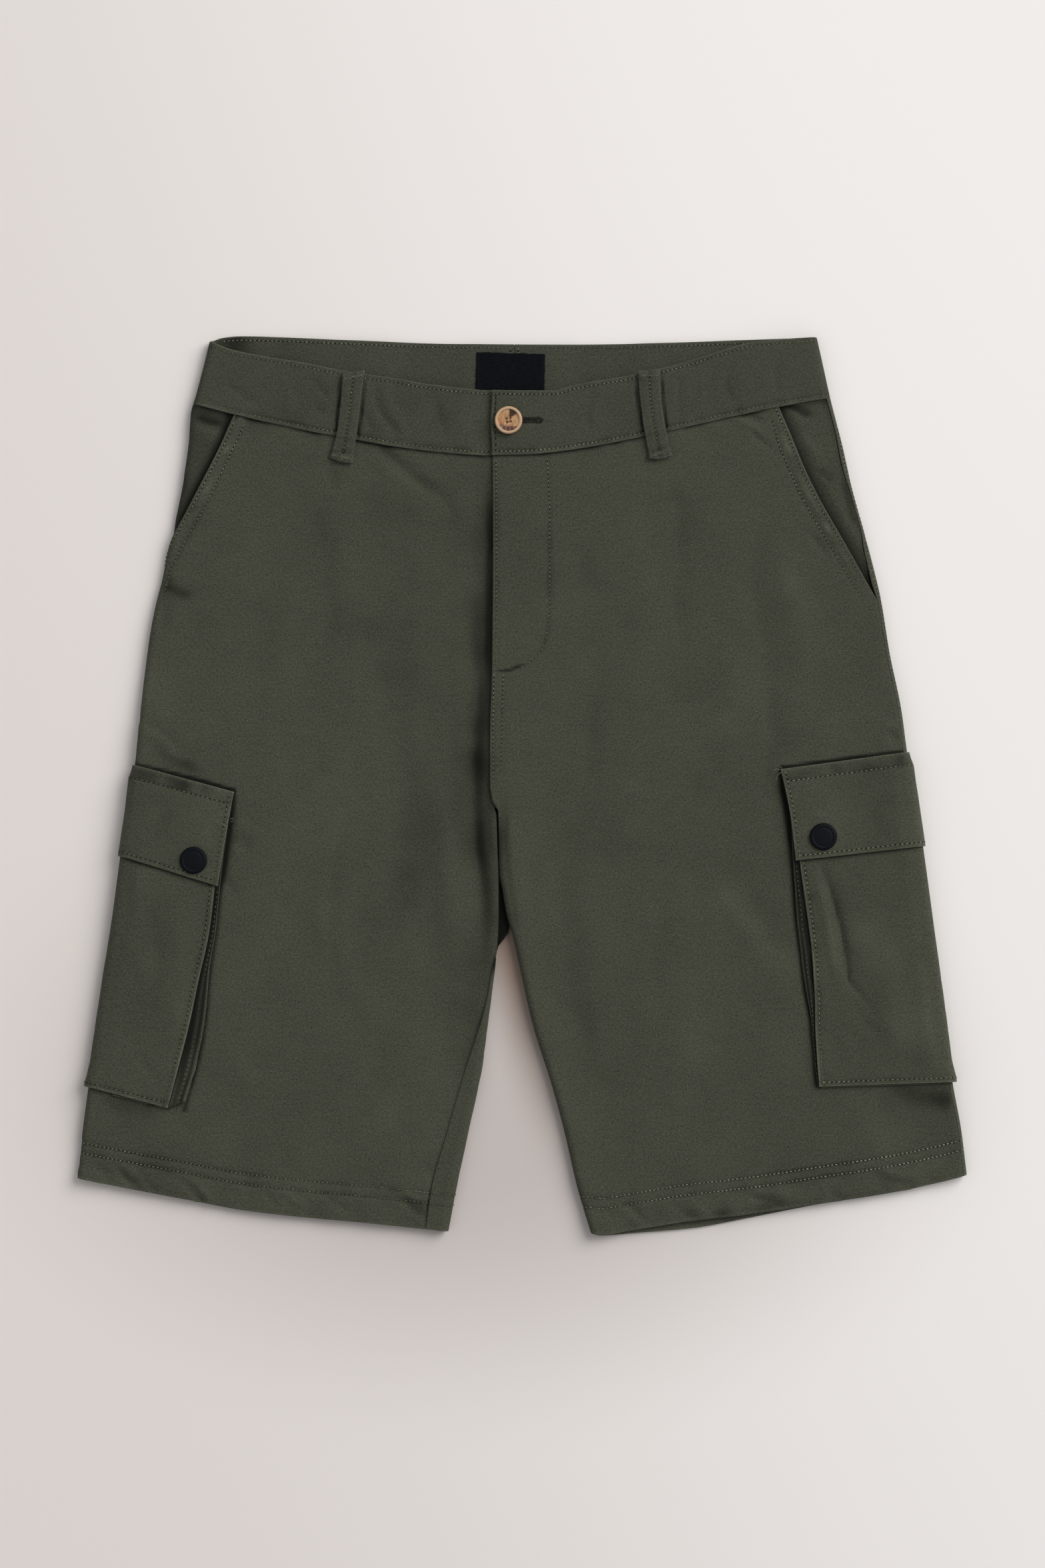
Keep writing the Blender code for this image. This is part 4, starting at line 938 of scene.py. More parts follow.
class Leg(Tube):
    """One leg with its side of the hips, and the lines that its panels are cut to."""

    def __init__(
        self,
        side: int,
        edges: tuple[tuple[Edge, ...], ...],
        hip: tuple[Hip, ...],
        hems: tuple[tuple[At, ...], tuple[At, ...]],
        back_curl: tuple[float, float],
        web_end: float,
        cargo: Cargo,
        folds: tuple[Fold, ...],
        creases: tuple[Crease, ...],
    ) -> None:
        """Takes the edges (outer, inner, front end, back end), hip, hems and folds."""
        outer, inner, front_end, back_end = edges
        self.cargo = cargo
        self.folds = folds
        self.creases = creases
        self.front_end = Curve(front_end, "y", "x")
        self.back_end = Curve(back_end, "y", "x")
        self.web_end = web_end
        self.slant = Curve(hip, "y", "slant")
        self.seam = Curve(hip, "y", "seam")
        self.hip_end = hip[-1].y
        self.hems = {1: Curve(hems[0], "x", "y"), -1: Curve(hems[1], "x", "y")}
        self.hem_end = side * inner[-1].x
        inner_curve = Curve(inner, "y", "x")
        crotch = inner[0]
        super().__init__(
            side,
            Curve(outer, "y", "x"),
            lambda y: np.where(np.asarray(y) < crotch.y, inner_curve(y), crotch.x),
            self.front_height,
            self.back_height,
            {1: FRONT_CURL, -1: back_curl},
        )

    @property
    def name(self) -> str:
        """The wearer's side."""
        return "right" if self.side < 0 else "left"

    def front_height(self, x: Array, y: Array) -> Array:
        """Height of the front's outer face above the surface that the shorts lie on."""
        inset = self.inset(x, y)
        inner_inset = self.side * (x - self.inner(y))
        at_fold = bump(np.maximum(inset, 0), FOLD_PUFF_REACH)
        at_inner = ramp(y, *FRONT_CURL) * bump(np.maximum(inner_inset, 0), INNER_PUFF_REACH)
        at_waist = bump(np.maximum(front_seam(x) - y, 0), WAIST_PUFF_REACH)
        full = 1 - (1 - at_fold) * (1 - at_inner) * (1 - at_waist)
        height = BODY_HEIGHT + FOLD_PUFF * full + self.cargo.top(inset, y) + fly_rise(x, y)
        if self.side < 0:
            edge = LEFT_FRONT_END[0].x
            lap = ramp(x, edge - LAP_REACH, edge - 1) * ramp(y, *LAP_END)
            height = height - LAP_DROP * lap
        return height + fold_height(self.folds, x, y) * (1 - at_fold) * (1 - at_waist)

    def back_height(self, x: Array, y: Array) -> Array:
        """Height of the back's outer face, zero where it rests."""
        foot = back_seam(x) - BACK_LOOP_FOOT - ZONE_MARGIN
        loops = LAYER * loops_below(x) * ramp(y, foot - ZONE_RAMP, foot)
        return loops + self.cargo.under(self.inset(x, y), y)

    def hem(self, face: Array, x: Array) -> Array:
        """The y of the hem's fold at x, level across the gap between the legs."""
        at = self.side * np.maximum(self.side * np.asarray(x), self.hem_end)
        return np.where(np.asarray(face) > 0, self.hems[1](at), self.hems[-1](at))

    def side_seam(self, y: Array) -> Array:
        """Place of the side seam."""
        return self.seam(np.maximum(y, self.hip_end))

    def slant_place(self, y: Array) -> Array:
        """Place of the hip pocket's slanted edge, which ends at the side seam."""
        return self.slant(np.maximum(y, self.hip_end))

    def front_start(self, y: Array) -> Array:
        """Where the front begins: the side seam, or above it the slanted edge."""
        seam = self.side_seam(y)
        return SEAM_HALF + np.where(np.asarray(y) <= self.hip_end, seam, self.slant_place(y))

    def kept_in(self, end: Curve, y: Array, low: float) -> Array:
        """The x of a panel's end, held inside the inner fold at heights below low."""
        limit = self.side * end(y)
        return self.side * np.where(y < low, np.maximum(limit, self.side * self.inner(y)), limit)

    def front_finish(self, y: Array) -> Array:
        """Where the front ends: the centre, then the inseam, tucked in below the crotch."""
        y = np.asarray(y, float)
        first, second, third, fourth = FRONT_TUCK_SPAN
        tuck = FRONT_TUCK * ramp(y, first, second) * ramp(y, fourth, third)
        return self.reach_to(1, self.kept_in(self.front_end, y, FRONT_CURL[0]), y) - SEAM_HALF + tuck

    def back_start(self, y: Array) -> Array:
        """Where the back begins, at the side seam."""
        return self.side_seam(y) - SEAM_HALF

    def back_finish(self, y: Array) -> Array:
        """Where the back ends: the seat seam, the web between the legs, then the inseam."""
        y = np.asarray(y, float)
        above = SEAM_HALF - self.reach_to(-1, self.kept_in(self.back_end, y, self.web_end), y)
        start, radius, _ = self.inner_fold(np.asarray(-1), y)
        to_fold = self.reach_to(-1, self.side * start, y)
        front_past = self.front_finish(y) - self.reach_to(1, self.side * start, y)
        below = -(to_fold + math.pi * radius - front_past - 2 * SEAM_HALF)
        return np.where(y > INSEAM_TOP, above, below)

    def pocket_lift(self, place: Array, y: Array) -> Array:
        """How far the cargo pocket's inner face stands off the leg."""
        cargo = self.cargo
        x = self.point(place, y)[0]
        inset = np.maximum(self.inset(x, y), 0.0)
        rise = ramp(place, POCKET_RISE_FROM, POCKET_RISE_TO)
        above = y - cargo.line(cargo.bottom, inset)
        beside = ramp(cargo.width(y) - inset, 0, POCKET_EDGE_FADE)
        fade = beside * ramp(above, 0, POCKET_EDGE_FADE)
        relief = np.maximum(fold_height(cargo.folds, x, y) * fade, 0.0) * rise
        flare = ramp(above, POCKET_FLARE_LENGTH, 0) * ramp(place, -2, 1) * (1 - rise)
        over = POCKET_OVER_GUSSET - SEAM_GAP
        return SEAM_GAP + over * rise + relief + POCKET_FLARE * flare

    def flap_lift(self, place: Array, y: Array) -> Array:
        """How far the flap's inner face stands off the leg: on it at the top, then on the pocket."""
        cargo = self.cargo
        inset = np.abs(self.inset(self.point(place, y)[0], y))
        onto = ramp(cargo.line(cargo.flap_top, inset) - y, 1.0, POCKET_MOUTH - 1.0)
        return SEAM_GAP + (self.pocket_lift(place, y) + LAYER - SEAM_GAP) * onto


# Shader helpers


def linear(rgb: Sequence[float]) -> tuple[float, float, float, float]:
    """Linear colour of an sRGB one given from 0 to 255."""
    levels = [value / 255 for value in rgb]
    return (*[x / 12.92 if x <= 0.04045 else ((x + 0.055) / 1.055) ** 2.4 for x in levels], 1.0)


def add_node(tree: bpy.types.NodeTree, kind: str, settings: dict, values: dict) -> bpy.types.Node:
    """Adds a node to a tree.

    Args:
        tree: The tree.
        kind: The node's type.
        settings: Its own settings, which are set first.
        values: Values or links of its inputs, by name or index.

    Returns:
        The node.
    """
    made = tree.nodes.new(kind)
    for key, value in settings.items():
        setattr(made, key, value)
    for key, value in values.items():
        put(tree, made.inputs[key], value)
    return made


def put(tree: bpy.types.NodeTree, target: bpy.types.NodeSocket, value: object) -> None:
    """Links a socket or sets its value."""
    source = getattr(value, "output", value)
    if isinstance(source, bpy.types.NodeSocket):
        tree.links.new(source, target)
    else:
        target.default_value = value


class Socket:
    """A shader value that takes part in Python arithmetic."""

    def __init__(self, graph: Graph, output: bpy.types.NodeSocket) -> None:
        """Takes the graph that new Math nodes go into and the output that it stands for."""
        self.graph = graph
        self.output = output

    def __add__(self, other: Socket | float) -> Socket:
        """Sum."""
        return self.graph.maths("ADD", self, other)

    def __radd__(self, other: float) -> Socket:
        """Sum with a number in front."""
        return self.graph.maths("ADD", other, self)

    def __sub__(self, other: Socket | float) -> Socket:
        """Difference."""
        return self.graph.maths("SUBTRACT", self, other)

    def __rsub__(self, other: float) -> Socket:
        """Difference from a number."""
        return self.graph.maths("SUBTRACT", other, self)

    def __mul__(self, other: Socket | float) -> Socket:
        """Product."""
        return self.graph.maths("MULTIPLY", self, other)

    def __rmul__(self, other: float) -> Socket:
        """Product with a number in front."""
        return self.graph.maths("MULTIPLY", other, self)

    def __truediv__(self, other: Socket | float) -> Socket:
        """Quotient."""
        return self.graph.maths("DIVIDE", self, other)

    def clamped(self, low: float, high: float) -> Socket:
        """0 at low, 1 at high and smooth between; low may be above high."""
        settings = {"interpolation_type": "SMOOTHSTEP"}
        if low > high:
            return 1.0 - self.clamped(high, low)
        values = {"Value": self, "From Min": low, "From Max": high}
        return Socket(self.graph, self.graph.node("ShaderNodeMapRange", settings, values).outputs[0])


class Graph:
    """The nodes of one material, built from its Principled shader back."""

    def __init__(self, name: str) -> None:
        """Makes the material."""
        self.material = bpy.data.materials.new(name)
        self.material.use_nodes = True
        self.tree = self.material.node_tree
        self.shader = self.tree.nodes["Principled BSDF"]

    def node(self, kind: str, settings: dict, values: dict) -> bpy.types.Node:
        """Adds a node: its type, its settings, then values or links of its inputs."""
        return add_node(self.tree, kind, settings, values)

    def maths(self, operation: str, *terms: Socket | float) -> Socket:
        """The result of a Math node."""
        values = dict(enumerate(terms))
        return Socket(self, self.node("ShaderNodeMath", {"operation": operation}, values).outputs[0])

    def blend(self, first: object, second: object, factor: Socket | float) -> Socket:
        """A colour from first to second."""
        settings = {"data_type": "RGBA", "clamp_factor": True}
        values = {0: factor, 6: first, 7: second}
        return Socket(self, self.node("ShaderNodeMix", settings, values).outputs[2])

    def object_place(self, centre: Triple = (0.0, 0.0, 0.0)) -> Socket:
        """Object coordinates in metres from a centre given in metres."""
        place = Socket(self, self.node("ShaderNodeTexCoord", {}, {}).outputs["Object"])
        if not any(centre):
            return place
        moved = {"Vector": place, "Location": tuple(-value for value in centre)}
        return Socket(self, self.node("ShaderNodeMapping", {}, moved).outputs[0])

    def cloth_place(self) -> Socket:
        """The piece's own coordinates along its cloth, in metres."""
        return Socket(self, self.node("ShaderNodeUVMap", {"uv_map": CLOTH_MAP}, {}).outputs[0])

    def stretched(self, place: Socket, scale: tuple[float, float, float]) -> Socket:
        """A place with its axes scaled."""
        values = {0: place, 1: scale}
        made = self.node("ShaderNodeVectorMath", {"operation": "MULTIPLY"}, values)
        return Socket(self, made.outputs[0])

    def noise(self, place: Socket, scale: float, detail: float = 2.0) -> Socket:
        """Smooth noise from about 0 to 1."""
        values = {"Vector": place, "Scale": scale, "Detail": detail}
        return Socket(self, self.node("ShaderNodeTexNoise", {}, values).outputs[0])

    def attribute(self, name: str) -> Socket:
        """A value kept on the mesh's points."""
        made = self.node("ShaderNodeAttribute", {"attribute_name": name}, {})
        return Socket(self, made.outputs["Fac"])

    def axes(self, place: Socket) -> tuple[Socket, Socket, Socket]:
        """The x, y and z of a place."""
        made = self.node("ShaderNodeSeparateXYZ", {}, {0: place})
        return tuple(Socket(self, output) for output in made.outputs)

    def relief(self, height: Socket, strength: float, distance: float) -> None:
        """Gives the surface a fine relief."""
        values = {"Height": height, "Strength": strength, "Distance": distance}
        bump_node = self.node("ShaderNodeBump", {}, values)
        self.tree.links.new(bump_node.outputs[0], self.shader.inputs["Normal"])

    def surface(self, **values: object) -> bpy.types.Material:
        """Sets the shader's own sockets, named with underscores, and gives the material."""
        for key, value in values.items():
            name = key.replace("_", " ").title().replace("Ior", "IOR")
            put(self.tree, self.shader.inputs[name], value)
        return self.material


# Finishes


@dataclass(frozen=True)
class ClothFinish:
    """Washed cotton cloth: a fine uneven weave, paler where it is rubbed and where highlight is painted,
    with painted shade in its valleys.
    """

    name: str
    colour: tuple[int, int, int]
    # The colour of rubbed places and painted highlights, then the colour of painted shade
    rubbed_and_highlight: tuple[int, int, int]
    painted_shade: tuple[int, int, int]
    grain: float = 1.0

    def material(self) -> bpy.types.Material:
        """Builds the material."""
        graph = Graph(self.name)
        place = graph.cloth_place()
        weft = graph.noise(graph.stretched(place, (520.0, 1700.0, 1.0)), 1.0, 1.0)
        warp = graph.noise(graph.stretched(place, (1700.0, 520.0, 1.0)), 1.0, 1.0)
        speck = graph.noise(place, 950.0, 2.0)
        slub = graph.noise(graph.stretched(place, (70.0, 620.0, 1.0)), 1.0, 1.0)
        patch = graph.noise(place, 130.0, 2.0)
        soft = graph.noise(place, 24.0, 2.0)
        weave = (weft - 0.5) * 0.9 + (warp - 0.5) * 0.9 + (speck - 0.5) * 1.7
        tone = weave * self.grain * 1.25 + (slub - 0.5) * 0.3 + (patch - 0.5) * 0.22 + (soft - 0.5) * 0.35
        dark = linear([value * 0.76 for value in self.colour])
        light = linear([value * 1.24 for value in self.colour])
        woven = graph.blend(dark, light, tone * 0.75 + 0.5)
        red, green, blue = self.colour
        brown = linear((red * 1.12, green * 0.98, blue * 0.9))
        tint = graph.noise(place, 260.0, 2.0)
        tinted = graph.blend(woven, brown, tint.clamped(0.52, 0.72) * 0.3)
        # Above zero toward the pale colour, for rubbed places and painted highlights; below zero toward
        # the painted shade
        wear_and_shading = graph.attribute(WEAR_AND_SHADING)
        scuffed_and_highlight = (wear_and_shading + (speck - 0.5) * wear_and_shading * 1.2) * 0.9
        worn_and_painted_light = graph.blend(tinted, linear(self.rubbed_and_highlight), scuffed_and_highlight.clamped(0.0, 1.3))
        base = graph.blend(worn_and_painted_light, linear(self.painted_shade), (wear_and_shading * -1.0).clamped(0.0, 1.0))
        graph.relief(weave + (slub - 0.5) * 0.5, 0.35, 0.0003)
        rough = (speck - 0.5) * 0.1 + 0.9
        return graph.surface(
            base_color=base, roughness=rough, sheen_weight=0.06, sheen_roughness=0.5,
            specular_ior_level=0.12,
        )


@dataclass(frozen=True)
class ThreadFinish:
    """Sewing thread, with a little unevenness along it."""

    name: str
    colour: tuple[int, int, int]
    spread: float = 0.2

    def material(self) -> bpy.types.Material:
        """Builds the material."""
        graph = Graph(self.name)
        tone = graph.noise(graph.object_place(), 420.0, 2.0)
        dark = linear([value * (1 - self.spread) for value in self.colour])
        light = linear([value * (1 + self.spread) for value in self.colour])
        base = graph.blend(dark, light, tone.clamped(0.3, 0.7))
        return graph.surface(base_color=base, roughness=0.9, sheen_weight=0.05, specular_ior_level=0.12)


@dataclass(frozen=True)
class ButtonFinish:
    """Polished brown resin with a pale rim and a dark wedge, painted shade, streaked, on its lower part,
    and painted shade round its side.
    """

    name: str
    centre: At
    radius: float

    def material(self) -> bpy.types.Material:
        """Builds the material."""
        graph = Graph(self.name)
        place = graph.object_place((self.centre.x * MM, self.centre.y * MM, 0.0))
        x, y, _ = graph.axes(place)
        x = x * (1000 / self.radius)
        y = y * (1000 / self.radius)
        swirl = graph.noise(graph.stretched(place, (160.0, 320.0, 160.0)), 1.0, 3.0) - 0.5
        out = graph.maths("SQRT", x * x + y * y)
        x = x + swirl * 0.35
        y = y + swirl * 0.35
        across = x * math.sin(math.radians(62)) - y * math.cos(math.radians(62))
        along = x * math.cos(math.radians(62)) + y * math.sin(math.radians(62))
        beside = graph.maths("ABSOLUTE", across)
        wedge = (along * 0.5 - beside).clamped(-0.06, 0.12) * along.clamped(0.05, 0.3)
        # Painted shade on the lower part of the button, away from the light
        lower_painted_shade = (y * -1.0 - x * 0.12).clamped(0.26, 0.5)
        grain = graph.noise(graph.stretched(place, (900.0, 260.0, 400.0)), 1.0, 2.0)
        tan = graph.blend(linear((168, 124, 84)), linear((196, 156, 112)), grain.clamped(0.35, 0.65))
        amber = graph.blend(tan, linear((166, 98, 52)), (x * -1.0 - y * 0.6).clamped(0.42, 0.7) * 0.75)
        low = graph.blend(amber, linear((84, 52, 44)), lower_painted_shade)
        angle = graph.maths("ARCTAN2", x, y * -1.0)
        streaks = graph.maths("ABSOLUTE", graph.maths("SINE", angle * 7.0 + 0.6)).clamped(0.93, 1.0)
        streaks = streaks * lower_painted_shade * out.clamped(0.4, 0.62) * 0.7
        streaked = graph.blend(low, linear((176, 142, 112)), streaks)
        inner = graph.blend(streaked, linear((62, 34, 24)), wedge)
        cream = graph.blend(linear((206, 178, 146)), linear((184, 146, 110)), swirl + 0.5)
        rim = graph.blend(inner, cream, out.clamped(0.74, 0.82))
        # Painted shade round the button's sloping side
        side = graph.blend(rim, linear((112, 76, 52)), out.clamped(0.955, 1.0))
        return graph.surface(base_color=side, roughness=0.32, coat_weight=0.15, specular_ior_level=0.5)


@dataclass(frozen=True)
class SnapFinish:
    """Dark blue black paint on a metal cap, slightly rubbed."""

    name: str

    def material(self) -> bpy.types.Material:
        """Builds the material."""
        graph = Graph(self.name)
        speck = graph.noise(graph.object_place(), 900.0, 3.0)
        base = graph.blend(linear((7, 10, 16)), linear((17, 20, 26)), speck.clamped(0.5, 0.85))
        rough = speck * 0.25 + 0.45
        return graph.surface(base_color=base, roughness=rough, specular_ior_level=0.12)


@dataclass(frozen=True)
class LabelFinish:
    """Black woven ribbon."""

    name: str

    def material(self) -> bpy.types.Material:
        """Builds the material."""
        graph = Graph(self.name)
        place = graph.cloth_place()
        rib = graph.noise(graph.stretched(place, (300.0, 3000.0, 1.0)), 1.0, 1.0)
        base = graph.blend(linear((7, 9, 13)), linear((17, 20, 26)), rib.clamped(0.3, 0.7))
        graph.relief(rib, 0.2, 0.0001)
        return graph.surface(base_color=base, roughness=0.9, specular_ior_level=0.08)


@dataclass(frozen=True)
class FloorFinish:
    """The pale surface that the shorts lie on, with painted light: brighter towards the upper right and
    darker and warmer towards the lower left, and painted shadows under the shorts and between the legs.
    """

    name: str

    def material(self) -> bpy.types.Material:
        """Builds the material."""
        graph = Graph(self.name)
        x, y, _ = graph.axes(graph.object_place())
        # Painted falloff of the light from the upper right, with a warmer tint towards the lower left
        warm_painted_falloff = (x * 1.3 + y * 0.35).clamped(0.4, -0.5)
        base = graph.blend(linear((252, 248, 246)), linear((238, 231, 227)), warm_painted_falloff)
        # Painted soft shadow under the lower half of the shorts
        left = (x + 0.03) * 3.4
        low = (y + 0.19) * 5.2
        under = graph.maths("SQRT", left * left + low * low).clamped(1.25, 0.25)
        base = graph.blend(base, linear((196, 187, 183)), under * 0.8)
        # Painted brown shadow in the gap between the legs, below the crotch
        beside = graph.maths("ABSOLUTE", x + 0.0075 + (y + 0.094) * 0.24)
        between = beside.clamped(0.030, 0.002) * y.clamped(-0.27, -0.09) * y.clamped(-0.04, -0.08)
        base = graph.blend(base, linear((140, 118, 102)), between * 0.9)
        return graph.surface(base_color=base, roughness=0.9, specular_ior_level=0.1)


class Cloths(Enum):
    """The finishes of the cloth pieces."""

    # Each with its colour, a paler one for rubbed places and painted highlights, and a dark one for
    # painted shade
    BODY = ClothFinish("Washed olive cloth", (68, 70, 59), (108, 109, 94), (20, 21, 17))
    BAND = ClothFinish("Olive cloth, folded double", (65, 67, 57), (106, 107, 92), (19, 20, 16))
    POCKET = ClothFinish("Olive pocket cloth", (67, 69, 58), (112, 114, 98), (16, 17, 14))


class Threads(Enum):
    """The finishes of the sewing threads."""

    OLIVE = ThreadFinish("Olive thread", (114, 116, 99))
    DULL = ThreadFinish("Dull olive thread", (88, 90, 76))
    PALE = ThreadFinish("Faded olive thread", (152, 152, 136))
    # Near-black: real thread on the label and the waistband's end, and painted shade at needle holes and
    # in the buttonhole's slit
    DARK = ThreadFinish("Dark needle holes", (22, 23, 19))
    BUTTONHOLE = ThreadFinish("Dark olive buttonhole thread", (52, 54, 45))
    TAN = ThreadFinish("Tan button thread", (150, 122, 98))


Finish = ClothFinish | ThreadFinish | ButtonFinish | SnapFinish | LabelFinish | FloorFinish


class Finishes:
    """Each finish's material, made once."""

    made: dict[str, bpy.types.Material] = {}

    @classmethod
    def of(cls, finish: Enum | Finish) -> bpy.types.Material:
        """The material of a finish."""
        plan = finish.value if isinstance(finish, Enum) else finish
        if plan.name not in cls.made:
            cls.made[plan.name] = plan.material()
        return cls.made[plan.name]


# Meshes


class Layer(NamedTuple):
    """A sheet's points on a grid of rows and columns, with its cloth coordinates, its wear and its
    painted light and shade.
    """

    x: Array
    y: Array
    z: Array
    across: Array
    along: Array
    wear_and_shading: Number


@dataclass(frozen=True)
class Columns:
    """Columns from one end of a row to the other: shares of the way, and steps beside them."""

    share: Array
    step: Array

    @classmethod
    def spread(
        cls, length: float, spacing: float, near: Sequence[float], far: Sequence[float] = ()
    ) -> Columns:
        """Even columns between fixed steps near both ends.

        Args:
            length: Rough length of a row.
            spacing: Distance between the even columns.
            near: Steps from the start, from 0 up.
            far: Steps from the finish, from 0 up, or nothing for the same as near.

        Returns:
            The columns.
        """
        far = far or near
        count = max(int(round((length - near[-1] - far[-1]) / spacing)), 2)
        t = np.arange(1, count) / count
        share = np.concatenate((np.zeros(len(near)), t, np.ones(len(far))))
        between = near[-1] * (1 - t) - far[-1] * t
        step = np.concatenate((np.array(near), between, -np.array(far)[::-1]))
        return cls(share, step)

    def places(self, start: Array, finish: Array) -> Array:
        """Places of the columns from start to finish."""
        toward = np.sign(finish - start)
        return start + (finish - start) * self.share + toward * self.step


def settle(
    tube: Tube,
    columns: Columns,
    ends: tuple[Callable[[Array], Array], Callable[[Array], Array]],
    shares: Array,
    line: Callable[[Array, Array, Array, Array], Array],
) -> tuple[Array, Array]:
    """Finds the places and heights of a grid whose rows follow a piece's upper and lower edges.

    Args:
        tube: The tube that the piece lies on.
        columns: The grid's columns.
        ends: The places where a row at a height starts and finishes.
        shares: How far down each row is.
        line: The y of a point from its row's share, its x, its y so far and its place.

    Returns:
        The place and y of each point.
    """
    shape = (len(shares), len(columns.share))
    down = np.broadcast_to(np.asarray(shares, float)[:, None], shape)
    y = np.broadcast_to(line(down, tube.outer(0.0), 0.0, 1.0), shape)
    place = columns.places(ends[0](y), ends[1](y))
    for _ in range(SETTLING_ROUNDS):
        y = line(down, tube.point(place, y)[0], y, place)
        place = columns.places(ends[0](y), ends[1](y))
    return place, y


def attach(name: str, mesh: bpy.types.Mesh, material: bpy.types.Material) -> bpy.types.Object:
    """Makes an object of a mesh at the origin."""
    mesh.materials.clear()
    mesh.materials.append(material)
    mesh.shade_smooth()
    made = bpy.data.objects.new(name, mesh)
    bpy.context.scene.collection.objects.link(made)
    return made


def layer_mesh(name: str, layer: Layer, faces_up: bool, probe: int | None = None) -> bpy.types.Mesh:
    """A mesh of a layer's grid, with its cloth coordinates, its wear and its painted light and shade.

    Args:
        name: The mesh's name.
        layer: The grid.
        faces_up: Whether the face at the probe column looks up.
        probe: A column, the middle one when it is left out.

    Returns:
        The mesh.
    """
    x, y, z, across, up, wear_and_shading = np.broadcast_arrays(*layer)
    rows, columns = x.shape
    points = joined((x, y, z)) * MM
    index = np.arange(rows * columns).reshape(rows, columns)
    quads = np.stack((index[:-1, :-1], index[:-1, 1:], index[1:, 1:], index[1:, :-1]), axis=-1)
    quads = quads.reshape(-1, 4)
    middle = columns // 2 if probe is None else probe
    along = points[index[0, middle + 1]] - points[index[0, middle]]
    down = points[index[1, middle]] - points[index[0, middle]]
    if (np.cross(along, down)[2] > 0) != faces_up:
        quads = quads[:, ::-1]
    mesh = bpy.data.meshes.new(name)
    mesh.from_pydata(points.tolist(), [], quads.tolist())
    cloth_map = mesh.uv_layers.new(name=CLOTH_MAP)
    places = np.stack((across, up), axis=-1).reshape(-1, 2) * MM
    cloth_map.data.foreach_set("uv", places[quads.reshape(-1)].astype(np.float32).reshape(-1))
    worn_and_painted_light = mesh.attributes.new(WEAR_AND_SHADING, "FLOAT", "POINT")
    worn_and_painted_light.data.foreach_set("value", wear_and_shading.astype(np.float32).reshape(-1))
    mesh.update()
    return mesh


def give_wall(made: bpy.types.Object, wall: float, rounding: float, thick_points: int = 0) -> None:
    """Gives a sheet its wall inwards from its outer face, and rounds its rim.

    Args:
        made: The sheet.
        wall: The wall's thickness.
        rounding: How far the rim is rounded.
        thick_points: How many of the last points have the full hem's wall.
    """
    solidify = made.modifiers.new("Wall", "SOLIDIFY")
    solidify.thickness = wall * MM
    solidify.offset = -1
    if thick_points:
        solidify.thickness = HEM_WALL * MM
        total = len(made.data.vertices)
        group = made.vertex_groups.new(name="Wall")
        group.add(list(range(total - thick_points)), wall / HEM_WALL, "REPLACE")
        group.add(list(range(total - thick_points, total)), 1.0, "REPLACE")
        solidify.vertex_group = "Wall"
    if rounding:
        bevel = made.modifiers.new("Rounded rim", "BEVEL")
        bevel.width = rounding * MM
        bevel.segments = 2
        bevel.limit_method = "ANGLE"
        bevel.angle_limit = math.radians(55)


class Cut(NamedTuple):
    """The flat cut of a cloth piece, in millimetres and square millimetres."""

    width: float
    length: float
    area: float


FRONT_CUT = Cut(262.0, 512.0, 112000.0)
BACK_CUT = Cut(266.0, 530.0, 122000.0)
FACING_CUT = Cut(52.0, 130.0, 3400.0)
POCKET_CUT = Cut(158.0, 176.0, 26400.0)
GUSSET_CUT = Cut(16.0, 330.0, 3900.0)
FLAP_CUT = Cut(152.0, 62.0, 8800.0)
BAND_CUT = Cut(40.0, 400.0, 15700.0)
FRONT_LOOP_CUT = Cut(14.2, 70.0, 900.0)
BACK_LOOP_CUT = Cut(14.2, 58.0, 760.0)
LABEL_CUT = Cut(LABEL_WIDTH, LABEL_HEIGHT, LABEL_WIDTH * LABEL_HEIGHT)


def hand_over(made: bpy.types.Object, node: str, cut: Cut | None = None) -> None:
    """Parents a piece to the root body, hides the node that it stands for and logs its faces and area.

    Args:
        made: The finished piece.
        node: The node that it replaces, or nothing for trim that has none.
        cut: Its flat cut, if it is cloth; not used.
    """
    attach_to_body(made, "root")
    if node:
        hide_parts(node)
    if cut:
        cut.width * MM
    area = sum(face.area for face in made.data.polygons) / MM**2
    log.info("%s: %d faces and %.0f square mm before its wall", made.name, len(made.data.polygons), area)


@dataclass(frozen=True)
class Sheet:
    """How a grid of points becomes a finished cloth piece."""

    name: str
    finish: Cloths | LabelFinish
    cut: Cut
    slot: str = "cloth"
    wall: float = WALL
    rounding: float = 0.38
    faces_up: bool = True
    probe: int | None = None
    hem_points: int = 0
    part: str = "cloth"

    def lay(self, layer: Layer) -> None:
        """Makes the piece from its grid, with its wall, and tells the frame about it."""
        mesh = layer_mesh(self.name, layer, self.faces_up, self.probe)
        made = attach(f"{self.name}_{self.part}", mesh, Finishes.of(self.finish))
        give_wall(made, self.wall, self.rounding, self.hem_points)
        hand_over(made, self.name, self.cut)


# Sewing


TACK_PITCH = 0.55
TACK_THREAD = 0.24
STITCH_SEED = 3


@dataclass(frozen=True)
class StitchPlan:
    """One kind of stitch row."""

    pitch: float = 2.7
    length: float = 1.8
    width: float = 0.62
    height: float = 0.4
    tilt: float = 8.0
    jitter: float = 5.0
    shift: float = 0.8

    def sizes(self) -> dict[str, float]:
        """The tree's sizes, in metres and radians."""
        lengths = {"Pitch": self.pitch, "Length": self.length, "Width": self.width, "Height": self.height}
        turns = {"Tilt": math.radians(self.tilt), "Jitter": math.radians(self.jitter)}
        return {key: value * MM for key, value in {**lengths, "Shift": self.shift}.items()} | turns

    def holes(self) -> StitchPlan:
        """The dark gaps between the row's stitches: dark specks of painted shade where the needle holes
        are.
        """
        return replace(
            self, length=self.pitch - self.length + 0.4, width=self.width * 1.5,
            height=self.height * 0.95, shift=self.shift + self.pitch / 2,
        )


